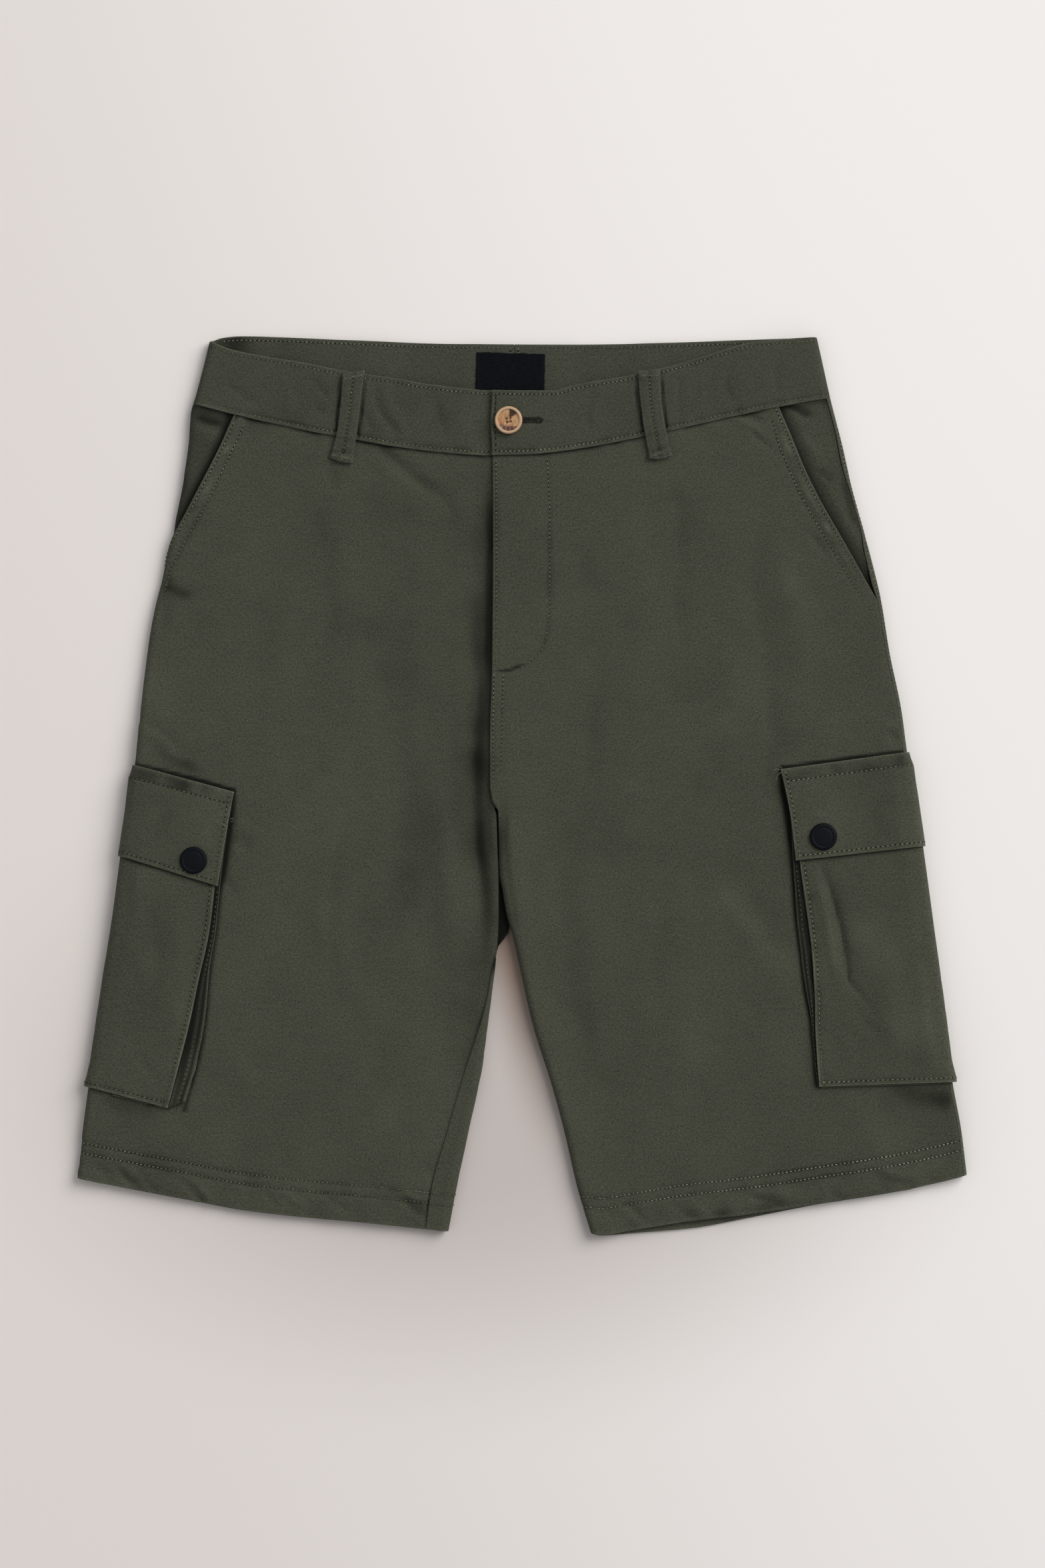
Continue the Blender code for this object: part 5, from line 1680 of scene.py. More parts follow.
class PathTree:
    """Geometry Nodes that follow the edges of a mesh, with named inputs."""

    def __init__(self, name: str, sizes: Sequence[str]) -> None:
        """Makes the tree's inputs: its geometry, its sizes, a seed and a material."""
        self.tree = bpy.data.node_groups.new(name, "GeometryNodeTree")
        face = self.tree.interface
        face.new_socket("Geometry", in_out="INPUT", socket_type="NodeSocketGeometry")
        self.sockets = {}
        kinds = {**dict.fromkeys(sizes, "Float"), "Seed": "Int", "Material": "Material"}
        for key, kind in kinds.items():
            self.sockets[key] = face.new_socket(key, in_out="INPUT", socket_type=f"NodeSocket{kind}")
        face.new_socket("Geometry", in_out="OUTPUT", socket_type="NodeSocketGeometry")
        self.inputs = self.tree.nodes.new("NodeGroupInput")
        self.outputs = self.tree.nodes.new("NodeGroupOutput")

    def node(self, kind: str, settings: dict, values: dict) -> bpy.types.Node:
        """Adds a node: its type, its settings, then values or links of its inputs."""
        return add_node(self.tree, kind, settings, values)

    def close(self, geometry: bpy.types.NodeSocket) -> None:
        """Ends the tree in real meshes of the material."""
        real = self.node("GeometryNodeRealizeInstances", {}, {0: geometry})
        smooth = self.node("GeometryNodeSetShadeSmooth", {}, {"Geometry": real.outputs[0]})
        values = {"Geometry": smooth.outputs[0], "Material": self.inputs.outputs["Material"]}
        painted = self.node("GeometryNodeSetMaterial", {}, values)
        self.tree.links.new(painted.outputs[0], self.outputs.inputs[0])

    def follow(
        self, name: str, paths: Sequence[Array], values: dict, thread: Threads
    ) -> bpy.types.Object:
        """Runs the tree along paths.

        Args:
            name: The new piece's name.
            paths: Points of each path, in millimetres.
            values: The tree's sizes by name.
            thread: The piece's finish.

        Returns:
            A plain mesh object.
        """
        material = Finishes.of(thread)
        points = np.concatenate(paths) * MM
        edges = []
        done = 0
        for path in paths:
            edges += [(done + i, done + i + 1) for i in range(len(path) - 1)]
            done += len(path)
        mesh = bpy.data.meshes.new(name)
        mesh.from_pydata(points.tolist(), edges, [])
        guide = bpy.data.objects.new(f"{name} guide", mesh)
        bpy.context.scene.collection.objects.link(guide)
        modifier = guide.modifiers.new(self.tree.name, "NODES")
        modifier.node_group = self.tree
        for key, value in {**values, "Seed": STITCH_SEED, "Material": material}.items():
            modifier[self.sockets[key].identifier] = value
        depsgraph = bpy.context.evaluated_depsgraph_get()
        plain = bpy.data.meshes.new_from_object(guide.evaluated_get(depsgraph))
        plain.name = name
        bpy.data.objects.remove(guide)
        bpy.data.meshes.remove(mesh)
        return attach(name, plain, material)


class StitchTree(PathTree):
    """Lays separate stitches along paths."""

    def __init__(self) -> None:
        """Builds the tree."""
        super().__init__("Stitch row", ("Pitch", "Length", "Width", "Height", "Shift", "Tilt", "Jitter"))
        given = self.inputs.outputs
        curve = self.node("GeometryNodeMeshToCurve", {}, {0: given["Geometry"]})
        trim = self.node("GeometryNodeTrimCurve", {"mode": "LENGTH"}, {})
        self.tree.links.new(curve.outputs[0], trim.inputs[0])
        starts = [socket for socket in trim.inputs if socket.name == "Start" and socket.enabled]
        ends = [socket for socket in trim.inputs if socket.name == "End" and socket.enabled]
        self.tree.links.new(given["Shift"], starts[-1])
        ends[-1].default_value = 10.0
        values = {"Curve": trim.outputs[0], "Length": given["Pitch"]}
        points = self.node("GeometryNodeCurveToPoints", {"mode": "LENGTH"}, values)
        values = {"Vector": points.outputs["Tangent"]}
        turn = self.node("FunctionNodeAlignRotationToVector", {"axis": "X"}, values)
        ball = self.node("GeometryNodeMeshUVSphere", {}, {"Segments": 6, "Rings": 4, "Radius": 0.5})
        values = {0: given["Length"], 1: given["Width"], 2: given["Height"]}
        size = self.node("ShaderNodeCombineXYZ", {}, values)
        values = {"Points": points.outputs[0], "Instance": ball.outputs[0], "Rotation": turn.outputs[0]}
        values["Scale"] = size.outputs[0]
        laid = self.node("GeometryNodeInstanceOnPoints", {}, values)
        spread = {0: given["Tilt"], 1: given["Jitter"]}
        low = self.node("ShaderNodeMath", {"operation": "SUBTRACT"}, spread)
        high = self.node("ShaderNodeMath", {"operation": "ADD"}, spread)
        chance = self.node("FunctionNodeRandomValue", {"data_type": "FLOAT"}, {"Seed": given["Seed"]})
        floats = [socket for socket in chance.inputs if socket.enabled]
        self.tree.links.new(low.outputs[0], floats[0])
        self.tree.links.new(high.outputs[0], floats[1])
        angle = [socket for socket in chance.outputs if socket.enabled][0]
        spin = self.node("ShaderNodeCombineXYZ", {}, {2: angle})
        values = {"Instances": laid.outputs[0], "Rotation": spin.outputs[0]}
        turned = self.node("GeometryNodeRotateInstances", {}, values)
        self.close(turned.outputs[0])


class CordTree(PathTree):
    """Runs a round thread along paths."""

    def __init__(self) -> None:
        """Builds the tree."""
        super().__init__("Thread path", ("Radius",))
        given = self.inputs.outputs
        curve = self.node("GeometryNodeMeshToCurve", {}, {0: given["Geometry"]})
        values = {"Resolution": 6, "Radius": given["Radius"]}
        ring = self.node("GeometryNodeCurvePrimitiveCircle", {}, values)
        values = {"Curve": curve.outputs[0], "Profile Curve": ring.outputs[0], "Fill Caps": True}
        tube = self.node("GeometryNodeCurveToMesh", {}, values)
        self.close(tube.outputs[0])


class Sewing:
    """The stitch rows and threads of one sub-assembly, gathered and then laid at once."""

    stitch_tree: StitchTree | None = None
    cord_tree: CordTree | None = None

    def __init__(self, name: str, slot: str) -> None:
        """Starts with no rows."""
        self.name = name
        self.slot = slot
        self.rows: dict[tuple[StitchPlan, Threads], list[Array]] = {}
        self.threads: dict[tuple[float, Threads], list[Array]] = {}

    def row(self, points: Array, plan: StitchPlan, thread: Threads = Threads.OLIVE) -> None:
        """Adds a row of separate stitches along points."""
        self.rows.setdefault((plan, thread), []).append(points)

    def thread(self, points: Array, radius: float, thread: Threads = Threads.OLIVE) -> None:
        """Adds a thread along points."""
        self.threads.setdefault((radius, thread), []).append(points)

    def bartack(self, start: Array, end: Array, width: float, thread: Threads = Threads.OLIVE) -> None:
        """Adds a dense zigzag from start to end."""
        length = float(np.linalg.norm(end - start))
        count = max(int(length / TACK_PITCH), 4)
        t = np.linspace(0.0, 1.0, count)[:, None]
        way = (end - start) / length
        beside = np.array([-way[1], way[0], 0.0])
        swing = np.where(np.arange(count) % 2, 0.5, -0.5)[:, None] * width
        self.thread(start + (end - start) * t + beside * swing, TACK_THREAD, thread)

    def lay(self) -> None:
        """Makes the pieces: dark specks of painted shade at the needle holes, stitches and threads."""
        if Sewing.stitch_tree is None:
            Sewing.stitch_tree = StitchTree()
            Sewing.cord_tree = CordTree()
        laid = []
        for number, ((plan, thread), paths) in enumerate(self.rows.items(), 1):
            name = f"{self.name}_stitches_{number}"
            laid.append(self.stitch_tree.follow(name, paths, plan.sizes(), thread))
            # Painted shade of the needle holes, as dark specks between the stitches
            name = f"{self.name}_holes_{number}"
            laid.append(self.stitch_tree.follow(name, paths, plan.holes().sizes(), Threads.DARK))
        for number, ((radius, thread), paths) in enumerate(self.threads.items(), len(self.rows) + 1):
            name = f"{self.name}_thread_{number}"
            laid.append(self.cord_tree.follow(name, paths, {"Radius": radius * MM}, thread))
        for made in laid:
            hand_over(made, "")


def along_path(path: Sequence[tuple[float, float]], spacing: float = 1.2) -> tuple[Array, Array]:
    """Points at even steps along a path of points, rounded at its corners."""
    points = np.array(path, float)
    lengths = np.concatenate(([0.0], np.cumsum(np.hypot(*np.diff(points, axis=0).T))))
    count = max(int(lengths[-1] / spacing), 2)
    at = np.linspace(0.0, lengths[-1], count + 1)
    x = np.interp(at, lengths, points[:, 0])
    y = np.interp(at, lengths, points[:, 1])
    for _ in range(3):
        x[1:-1] = (x[:-2] + 2 * x[1:-1] + x[2:]) / 4
        y[1:-1] = (y[:-2] + 2 * y[1:-1] + y[2:]) / 4
    return x, y


def joined(point: tuple[Array, Array, Array]) -> Array:
    """Points as rows of x, y and z."""
    return np.stack(np.broadcast_arrays(*point), axis=-1).reshape(-1, 3)


# Legs


# Rough lengths of the pieces' rows, and the steps of their points from an edge inwards
FRONT_ACROSS = 238.0
BACK_ACROSS = 240.0
FACING_ACROSS = 40.0
BAND_ALONG = 390.0
UPPER_PART = 60
FRONT_STEPS = (0, 0.8, 1.8, 3.2)
BACK_STEPS = (0, 0.8, 1.8, 3.4, 5.2, 7.2, 9.4, 12.0)
POCKET_STEPS = (0, 0.8, 1.8)
FACING_STEPS = (0, 1.0)
BAND_STEPS = (0, 1.0, 2.2)

HEM_STITCH_ROWS = (16.6, 23.0)
HEM_STITCH = StitchPlan(2.6, 1.75, 0.6, 0.4, 6.0, 6.0)
SEAM_STITCH = StitchPlan(2.7, 1.75, 0.5, 0.3, 4.0, 5.0)


@dataclass
class LegPanels:
    """One leg: its front, its back and the facing of its hip pocket."""

    leg: Leg
    loop_foot: At
    second_slant_row: Route
    front_rows: tuple[Route, ...]
    front_spacing: float = 1.8
    back_spacing: float = 4.0
    facing_spacing: float = 1.6

    def build(self) -> None:
        """Builds the panels and their stitching."""
        self.build_front()
        self.build_back()
        self.build_facing()
        self.sew()

    def shares(self, spacing: float, hem_spacing: float) -> tuple[Array, int]:
        """A panel's rows, from -1 at the waist through 0 at the upper line to 1 at the hem.

        Returns:
            The rows, and how many of the last ones are in the turned hem.
        """
        length = UPPER_LINE - HEM_LEVEL
        upper = np.linspace(-1.0, 0.0, int(UPPER_PART / spacing), endpoint=False)
        hem_top = 1 - HEM_DEPTH / length
        lower = np.linspace(0.0, hem_top, int((length - HEM_DEPTH) / spacing), endpoint=False)
        hem = np.linspace(1 - (HEM_DEPTH - 1.5) / length, 1.0, int(HEM_DEPTH / hem_spacing))
        return np.concatenate((upper, lower, [hem_top], hem)), len(hem)

    def line(self, face: int) -> Callable[[Array, Array, Array, Array], Array]:
        """The y of a panel's rows on one face."""

        def y_of(share: Array, x: Array, y: Array, place: Array) -> Array:
            """Between the waist seam, the upper line and the hem."""
            above = UPPER_LINE + (waist_seam(x, place) - SEAM_HALF - UPPER_LINE) * -share
            below = UPPER_LINE + (self.leg.hem(face, x) - UPPER_LINE) * share
            return np.where(share < 0, above, below)

        return y_of

    def front_relief(self, place: Array, y: Array) -> Array:
        """Folds, puckers and stitch grooves of the front, outwards."""
        leg = self.leg
        x = leg.point(place, y)[0]
        depth = y - leg.hem(1, x)
        height = uneven(x, y, (0.3, 44, 21), (0.2, 19, 22), (0.08, 8, 23))
        height += 1.3 * crease_height(leg.creases, x, y)
        puckers = 0.6 * waves(x, depth * 0.55, 9.5, 24) + 0.25 * waves(x, depth, 4.2, 25)
        height += puckers * ramp(depth, 32, 15)
        below_waist = front_seam(x) - y
        height += (0.55 * waves(x, y * 0.3, 6.5, 26) - 0.2) * bump(below_waist, 7.0)
        from_start = place - leg.front_start(y)
        from_finish = leg.front_finish(y) - place
        slanted = ramp(leg.slant_place(y), 6, 14) * ramp(y, leg.hip_end + 4, leg.hip_end + 20)
        height += slanted * (0.5 * waves(place * 0.5, y, 6.0, 27) + 0.15) * bump(from_start - 5.2, 3.2)
        inseam = ramp(y, -70.0, -110.0)
        height += inseam * 0.4 * waves(y, 0.0, 9.0, 28) * bump(from_finish, 9.0)
        fade = ramp(from_start, 0.0, 5.0) * (1 - slanted)
        fade = fade + slanted * (0.4 + 0.6 * ramp(from_start, 1.0, 8.0))
        height *= fade * (1 - inseam * (1 - ramp(from_finish, 0.0, 3.0)))
        height *= leg.cargo.bare(leg.inset(x, y), y)
        high = ramp(y, -33.0, -15.0)
        if leg.side < 0:
            height *= 1 - high * ramp(x, -27.0, -20.0)
        else:
            height *= 1 - 0.7 * high * ramp(x, 2.0, -8.0)
        for row in HEM_STITCH_ROWS:
            height -= 0.42 * bump(depth - row, 1.5)
        height -= slanted * 0.3 * bump(from_start - 2.2, 1.3)
        height += crease_height(self.grooves(), x, y, 0.0)
        from_foot = np.hypot(x - self.loop_foot.x, y - self.loop_foot.y)
        return height - np.maximum(height, 0.0) * bump(from_foot, 10.0)

    def grooves(self) -> tuple[Crease, ...]:
        """Shallow grooves along the front's own stitch rows."""
        paths = (self.second_slant_row, *self.front_rows)
        return tuple(Crease(1.7, -0.34, path) for path in paths)

    def front_lift(self, place: Array, y: Array) -> Array:
        """The front's relief and the gape of its pocket edge."""
        leg = self.leg
        gape = SLANT_GAPE * bump(place - leg.front_start(y), SLANT_GAPE_REACH)
        return gape * ramp(leg.slant_place(y), 6, 14) + self.front_relief(place, y)

    def wear_and_shading(self, face: int, place: Array, y: Array, relief: Array) -> Array:
        """How rubbed the cloth is at its edges and ridges, with painted highlight on the ridges, and
        below zero painted shade in its valleys, grooves and recesses and painted shadows beside its
        raised parts.
        """
        leg = self.leg
        x = leg.point(place, y)[0]
        depth = y - leg.hem(face, x)
        # Ridges paler, partly rubbed and partly painted highlight, and painted shade in the valleys; the
        # hem's folded edge paler where it is rubbed
        wear_and_shading = np.clip(relief * 0.22, -0.25, 0.2) + 0.5 * bump(depth, 1.3)
        # Painted shade in the grooves of the hem's stitch rows
        wear_and_shading -= 0.35 * sum(bump(depth - row, 1.0) for row in HEM_STITCH_ROWS)
        wear_and_shading += uneven(x, y, (0.16, 34, 21), (0.1, 14, 22))
        if face > 0:
            inset = leg.inset(x, y)
            cargo = leg.cargo
            over_flap = y - cargo.line(cargo.flap_top, inset)
            beside_flap = inset - cargo.flap_width(y)
            # Painted shadow on the leg just above the flap's top edge
            above_flap = ramp(over_flap, 3.4, 1.0) * ramp(over_flap, -4.0, 0.0)
            wear_and_shading -= 0.95 * above_flap * ramp(beside_flap, 2.0, 0.0)
            # Painted shadow beside the front edges of the flap and the pocket
            beside_pocket = inset - cargo.width(y) - cargo.gusset_out(np.minimum(y, GUSSET_TOP))
            level = ramp(over_flap, 0.0, -4.0) * ramp(y - cargo.line(cargo.bottom, inset), -2.0, 1.0)
            wear_and_shading -= 0.85 * level * bump(np.minimum(beside_flap, beside_pocket), 2.4)
            # Painted shade in the grooves of the front's own stitch rows
            wear_and_shading += 0.6 * crease_height(self.grooves(), x, y, 0.0)
            # The slanted edge paler where it is rubbed, painted shade in the groove of its first row, and
            # painted light and shade on the puckers beside it
            from_start = place - leg.front_start(y)
            slanted = ramp(leg.slant_place(y), 4, 10)
            wear_and_shading += slanted * (0.5 * bump(from_start, 1.2) - 0.3 * bump(from_start - 2.2, 1.0))
            puckers = 0.15 + 0.45 * waves(place * 0.5, y, 6.0, 27)
            wear_and_shading += slanted * puckers * bump(from_start - 5.2, 2.8)
            # Painted shade along the front's inner edge at the inseam
            wear_and_shading -= 0.6 * ramp(y, -80, -110) * bump(leg.front_finish(y) - place, 1.1)
            # Painted shadow along the foot of the waistband
            wear_and_shading -= 0.7 * bump(front_seam(x) - y, 1.8)
            # Painted shade where light hardly reaches, from SHADES
            wear_and_shading -= crease_height(SHADES[leg.side], x, y, 0.5)
        else:
            # Painted shade on the middle of the back near the crotch, seen in the gap between the legs
            wear_and_shading -= ramp(y, -122.0, -108.0) * ramp(np.abs(x), 34.0, 26.0)
        wear_and_shading += 0.1 * bump(leg.inset(x, y), 4.0)
        return wear_and_shading

    def build_front(self) -> None:
        """Builds the front."""
        leg = self.leg
        columns = Columns.spread(FRONT_ACROSS, self.front_spacing, FRONT_STEPS)
        shares, hem_rows = self.shares(self.front_spacing, 1.2)
        place, y = settle(leg, columns, (leg.front_start, leg.front_finish), shares, self.line(1))
        lift = self.front_lift(place, y)
        wear_and_shading = self.wear_and_shading(1, place, y, self.front_relief(place, y))
        hem_points = hem_rows * place.shape[1]
        sheet = Sheet(f"front_{leg.name}", Cloths.BODY, FRONT_CUT, hem_points=hem_points)
        sheet.lay(leg.layer(place, y, lift, wear_and_shading))

    def back_lift(self, place: Array, y: Array) -> Array:
        """Folds of the back, which go inwards only."""
        leg = self.leg
        x = leg.point(place, y)[0]
        height = uneven(x, y, (0.35, 40, 31), (0.15, 15, 32)) - 0.4
        height += np.minimum(crease_height(BACK_CREASES, x, y), 0.0)
        from_start = np.abs(place - leg.back_start(y))
        from_finish = np.abs(leg.back_finish(y) - place)
        fade = ramp(from_start, 0.0, 8.0) * ramp(from_finish, 2.0, 12.0) * ramp(-place, 4.0, 16.0)
        inner_start = leg.inner_fold(np.asarray(-1), y)[0]
        fade = fade * ramp(leg.side * x, inner_start + 1.0, inner_start + 10.0)
        depth = y - leg.hem(-1, x)
        fade = fade * (1 - 0.5 * bump(depth, 6.0))
        return np.maximum(height, -1.0) * fade

    def build_back(self) -> None:
        """Builds the back."""
        leg = self.leg
        columns = Columns.spread(BACK_ACROSS, self.back_spacing, BACK_STEPS)
        shares, hem_rows = self.shares(self.back_spacing, 3.0)
        place, y = settle(leg, columns, (leg.back_start, leg.back_finish), shares, self.line(-1))
        lift = self.back_lift(place, y)
        wear_and_shading = self.wear_and_shading(-1, place, y, -lift)
        hem_points = hem_rows * place.shape[1]
        name = f"back_{leg.name}"
        sheet = Sheet(name, Cloths.BODY, BACK_CUT, faces_up=False, hem_points=hem_points)
        sheet.lay(leg.layer(place, y, lift, wear_and_shading))

    def facing_lift(self, place: Array, y: Array) -> Array:
        """The facing goes down under the slanted edge of the front."""
        leg = self.leg
        slant = leg.slant_place(y)
        drop = -FACING_DROP * ramp(place, slant - FACING_TURN, slant - 1.5)
        x = leg.point(place, y)[0]
        relief = crease_height(FACING_CREASES, x, y) + uneven(x, y, (0.2, 14, 41), (0.1, 6, 42))
        relief += (0.4 * waves(x, y * 0.3, 6.0, 43) - 0.2) * bump(front_seam(x) - y, 6.0)
        fade = ramp(place - leg.side_seam(y), 0.0, 5.0) * ramp(slant - place, 0.0, 6.0)
        return drop + relief * fade

    def build_facing(self) -> None:
        """Builds the facing between the side seam and the slanted edge."""
        leg = self.leg
        low = leg.hip_end - 4
        length = UPPER_LINE - leg.hem(1, leg.outer(low))
        last = (UPPER_LINE - low) / length
        upper = np.linspace(-1.0, 0.0, int(UPPER_PART / self.facing_spacing), endpoint=False)
        lower = np.linspace(0.0, last, int((UPPER_LINE - low) / self.facing_spacing))
        shares = np.concatenate((upper, lower))
        columns = Columns.spread(FACING_ACROSS, self.facing_spacing, POCKET_STEPS, FACING_STEPS)

        def start(y: Array) -> Array:
            """The side seam."""
            return leg.side_seam(y) + FACING_GAP

        def finish(y: Array) -> Array:
            """Under the front, past its slanted edge."""
            return leg.slant_place(y) + FACING_UNDER

        place, y = settle(leg, columns, (start, finish), shares, self.line(1))
        lift = self.facing_lift(place, y)
        x = leg.point(place, y)[0]
        # Painted shade over the facing, deeper under the front's slanted edge and at the side seam
        wear_and_shading = FACING_PAINTED_SHADE[leg.side] - 0.6 * bump(leg.slant_place(y) - place, 4.0)
        wear_and_shading = wear_and_shading - 0.25 * bump(place - start(y), 2.0)
        # Painted light and shade on the creases, and painted shade under the waistband
        creased = np.clip(crease_height(FACING_CREASES, x, y), -0.9, 0.4)
        wear_and_shading += 0.5 * creased - 0.35 * bump(front_seam(x) - y, 4.0)
        probe = place.shape[1] - 2
        name = f"pocket_facing_{leg.name}"
        sheet = Sheet(name, Cloths.BODY, FACING_CUT, rounding=0.3, probe=probe)
        sheet.lay(leg.layer(place, y, lift, wear_and_shading))

    def on_front(self, x: Array, y: Array, above: float = 0.1) -> Array:
        """Points on the front's outer face, seen at x and y."""
        place = self.leg.place_of(1, x, y)
        return self.leg.points(place, y, self.front_lift(place, y) + above)

    def sew(self) -> None:
        """Sews the hems, the pocket edge, the seams and the front's own rows."""
        leg = self.leg
        sewing = Sewing(f"leg_{leg.name}", "cloth")
        hem_thread = Threads.PALE if leg.side > 0 else Threads.OLIVE
        t = np.linspace(0.006, 0.994, 220)
        for face, start, finish, lift, above in (
            (1, leg.front_start, leg.front_finish, self.front_lift, ON_CLOTH),
            (-1, leg.back_start, leg.back_finish, self.back_lift, -0.05),
        ):
            for above_fold in HEM_STITCH_ROWS:
                y = np.full(t.shape, -250.0)
                for _ in range(SETTLING_ROUNDS):
                    place = start(y) + (finish(y) - start(y)) * t
                    y = leg.hem(face, leg.point(place, y)[0]) + above_fold
                sewing.row(leg.points(place, y, lift(place, y) + above), HEM_STITCH, hem_thread)
        top = float(front_seam(leg.side * 175.0)) - 4.0
        y = np.linspace(top, leg.hip_end + 6.0, 110)
        place = leg.front_start(y) + 2.2
        sewing.row(leg.points(place, y, self.front_lift(place, y) + 0.1), SEAM_STITCH)
        sewing.row(self.on_front(*along_path(self.second_slant_row)), SEAM_STITCH)
        for path in self.front_rows:
            sewing.row(self.on_front(*along_path(path)), SEAM_STITCH)
        for step in (2.0, 8.4):
            y = np.linspace(228.0, -70.0, 220)
            place = leg.back_finish(y) + step
            sewing.row(leg.points(place, y, self.back_lift(place, y) - 0.05), SEAM_STITCH)
        y = np.linspace(225.0, 24.0, 160)
        place = leg.back_start(y) - 2.2
        sewing.row(leg.points(place, y, self.back_lift(place, y)), SEAM_STITCH)
        sewing.lay()


# Cargo pockets


class Spot(NamedTuple):
    """How far inside the edges of a flap, or of a pocket below its flap, a point is."""

    x: Array
    inset: Array
    below: Array
    above: Array
    beside: Array


@dataclass
class CargoPocket:
    """A cargo pocket on the side of a leg, its gusset, its flap and the flap's snap."""

    leg: Leg
    loose_threads: tuple[tuple[Triple, ...], ...]
    fan: float
    spacing: float = 1.6
    edge_row: float = 2.7
    flap_row: float = 8.0
    snap_radius: float = SNAP_DIAMETER / 2
    stitch: StitchPlan = StitchPlan(3.0, 2.0, 0.6, 0.36, 9.0, 6.0)

    def build(self) -> None:
        """Builds the pieces and their stitching."""
        self.build_pocket()
        self.build_gusset()
        self.build_flap()
        self.build_snap()
        self.sew()

    def mouth(self, inset: Array) -> Array:
        """The y of the pocket's mouth."""
        return self.leg.cargo.line(self.leg.cargo.flap_top, inset) - POCKET_MOUTH

    def settle(
        self, width: Curve, shares: Array, top: Callable[[Array], Array], low: Lines
    ) -> tuple[Array, Array]:
        """Places and heights of a piece that goes round the side fold."""
        leg = self.leg
        columns = Columns.spread(POCKET_WIDTH, self.spacing, POCKET_STEPS)

        def front(y: Array) -> Array:
            """The front edge."""
            return leg.distance(width(y), y)

        def back(y: Array) -> Array:
            """The hidden back edge."""
            return -leg.distance(POCKET_WIDTH - width(y), y)

        def line(share: Array, x: Array, y: Array, place: Array) -> Array:
            """Between the upper and lower lines."""
            inset = np.abs(leg.inset(x, y))
            return top(inset) * (1 - share) + leg.cargo.line(low, inset) * share

        return settle(leg, columns, (front, back), shares, line)

    def spot(self, place: Array, y: Array, on_flap: bool) -> Spot:
        """How far inside its edges a place of the flap or of the pocket is."""
        cargo = self.leg.cargo
        lines = (cargo.flap_bottom, cargo.bottom, cargo.width)
        if on_flap:
            lines = (cargo.flap_top, cargo.flap_bottom, cargo.flap_width)
        top, low, width = lines
        x = self.leg.point(place, y)[0]
        inset = np.abs(self.leg.inset(x, y))
        below = cargo.line(top, inset) - y
        return Spot(x, inset, below, y - cargo.line(low, inset), width(y) - inset)

    def edge_stitches(self, above: Array, beside: Array, reach: float) -> Array:
        """1 along the stitches inside the lower edge and the front one."""
        return bump(above - self.edge_row, reach) + bump(beside - self.edge_row, reach)

    def pocket_lift(self, place: Array, y: Array) -> Array:
        """How far the pocket's outer face stands off the leg, its creases included."""
        leg = self.leg
        cargo = leg.cargo
        x, _, below_flap, above, beside = self.spot(place, y, False)
        relief = crease_height(cargo.creases, x, y, 0.1)
        relief += uneven(x, y, (0.5, 30, 51), (0.18, 13, 52), (0.07, 6, 53))
        relief -= 0.3 * self.edge_stitches(above, beside, 1.4)
        relief += 0.35 * waves(x, y * 0.4, 7.0, 54) * bump(above, 6.0)
        relief += 0.3 * waves(x * 0.4, y, 8.0, 55) * bump(beside, 6.0)
        shown = ramp(below_flap, 0.0, 7.0) * ramp(place, 6.0, 16.0)
        inner = leg.pocket_lift(place, y)
        return np.maximum(inner + relief * shown, np.minimum(inner, SEAM_GAP + 0.1)) + WALL

    def build_pocket(self) -> None:
        """Builds the pocket's face."""
        leg = self.leg
        cargo = leg.cargo
        shares = np.linspace(0.0, 1.0, int(POCKET_CUT.length / self.spacing))
        place, y = self.settle(cargo.width, shares, self.mouth, cargo.bottom)
        lift = self.pocket_lift(place, y)
        _, inset, below_flap, above, beside = self.spot(place, y, False)
        # Edges and the side fold paler where they are rubbed; painted shade in the stitch grooves and
        # painted shadow just below the flap
        wear_and_shading = 0.75 * bump(above, 1.2) + 0.7 * bump(beside, 1.2) * (place > 0)
        wear_and_shading -= 0.3 * self.edge_stitches(above, beside, 1.0)
        wear_and_shading += 0.25 * bump(inset, 2.5) - 0.6 * bump(below_flap, 2.2)
        # Painted shade in the valleys of the pocket's creases and painted highlight on their ridges
        relief = lift - leg.pocket_lift(place, y) - WALL
        wear_and_shading += np.clip(relief * 0.32, -0.5, 0.3) * ramp(relief, 0.0, -0.3)
        wear_and_shading += np.clip(relief * 0.4, 0.0, 0.35)
        sheet = Sheet(f"cargo_pocket_{leg.name}", Cloths.POCKET, POCKET_CUT, probe=20)
        sheet.lay(leg.layer(place, y, lift, wear_and_shading))

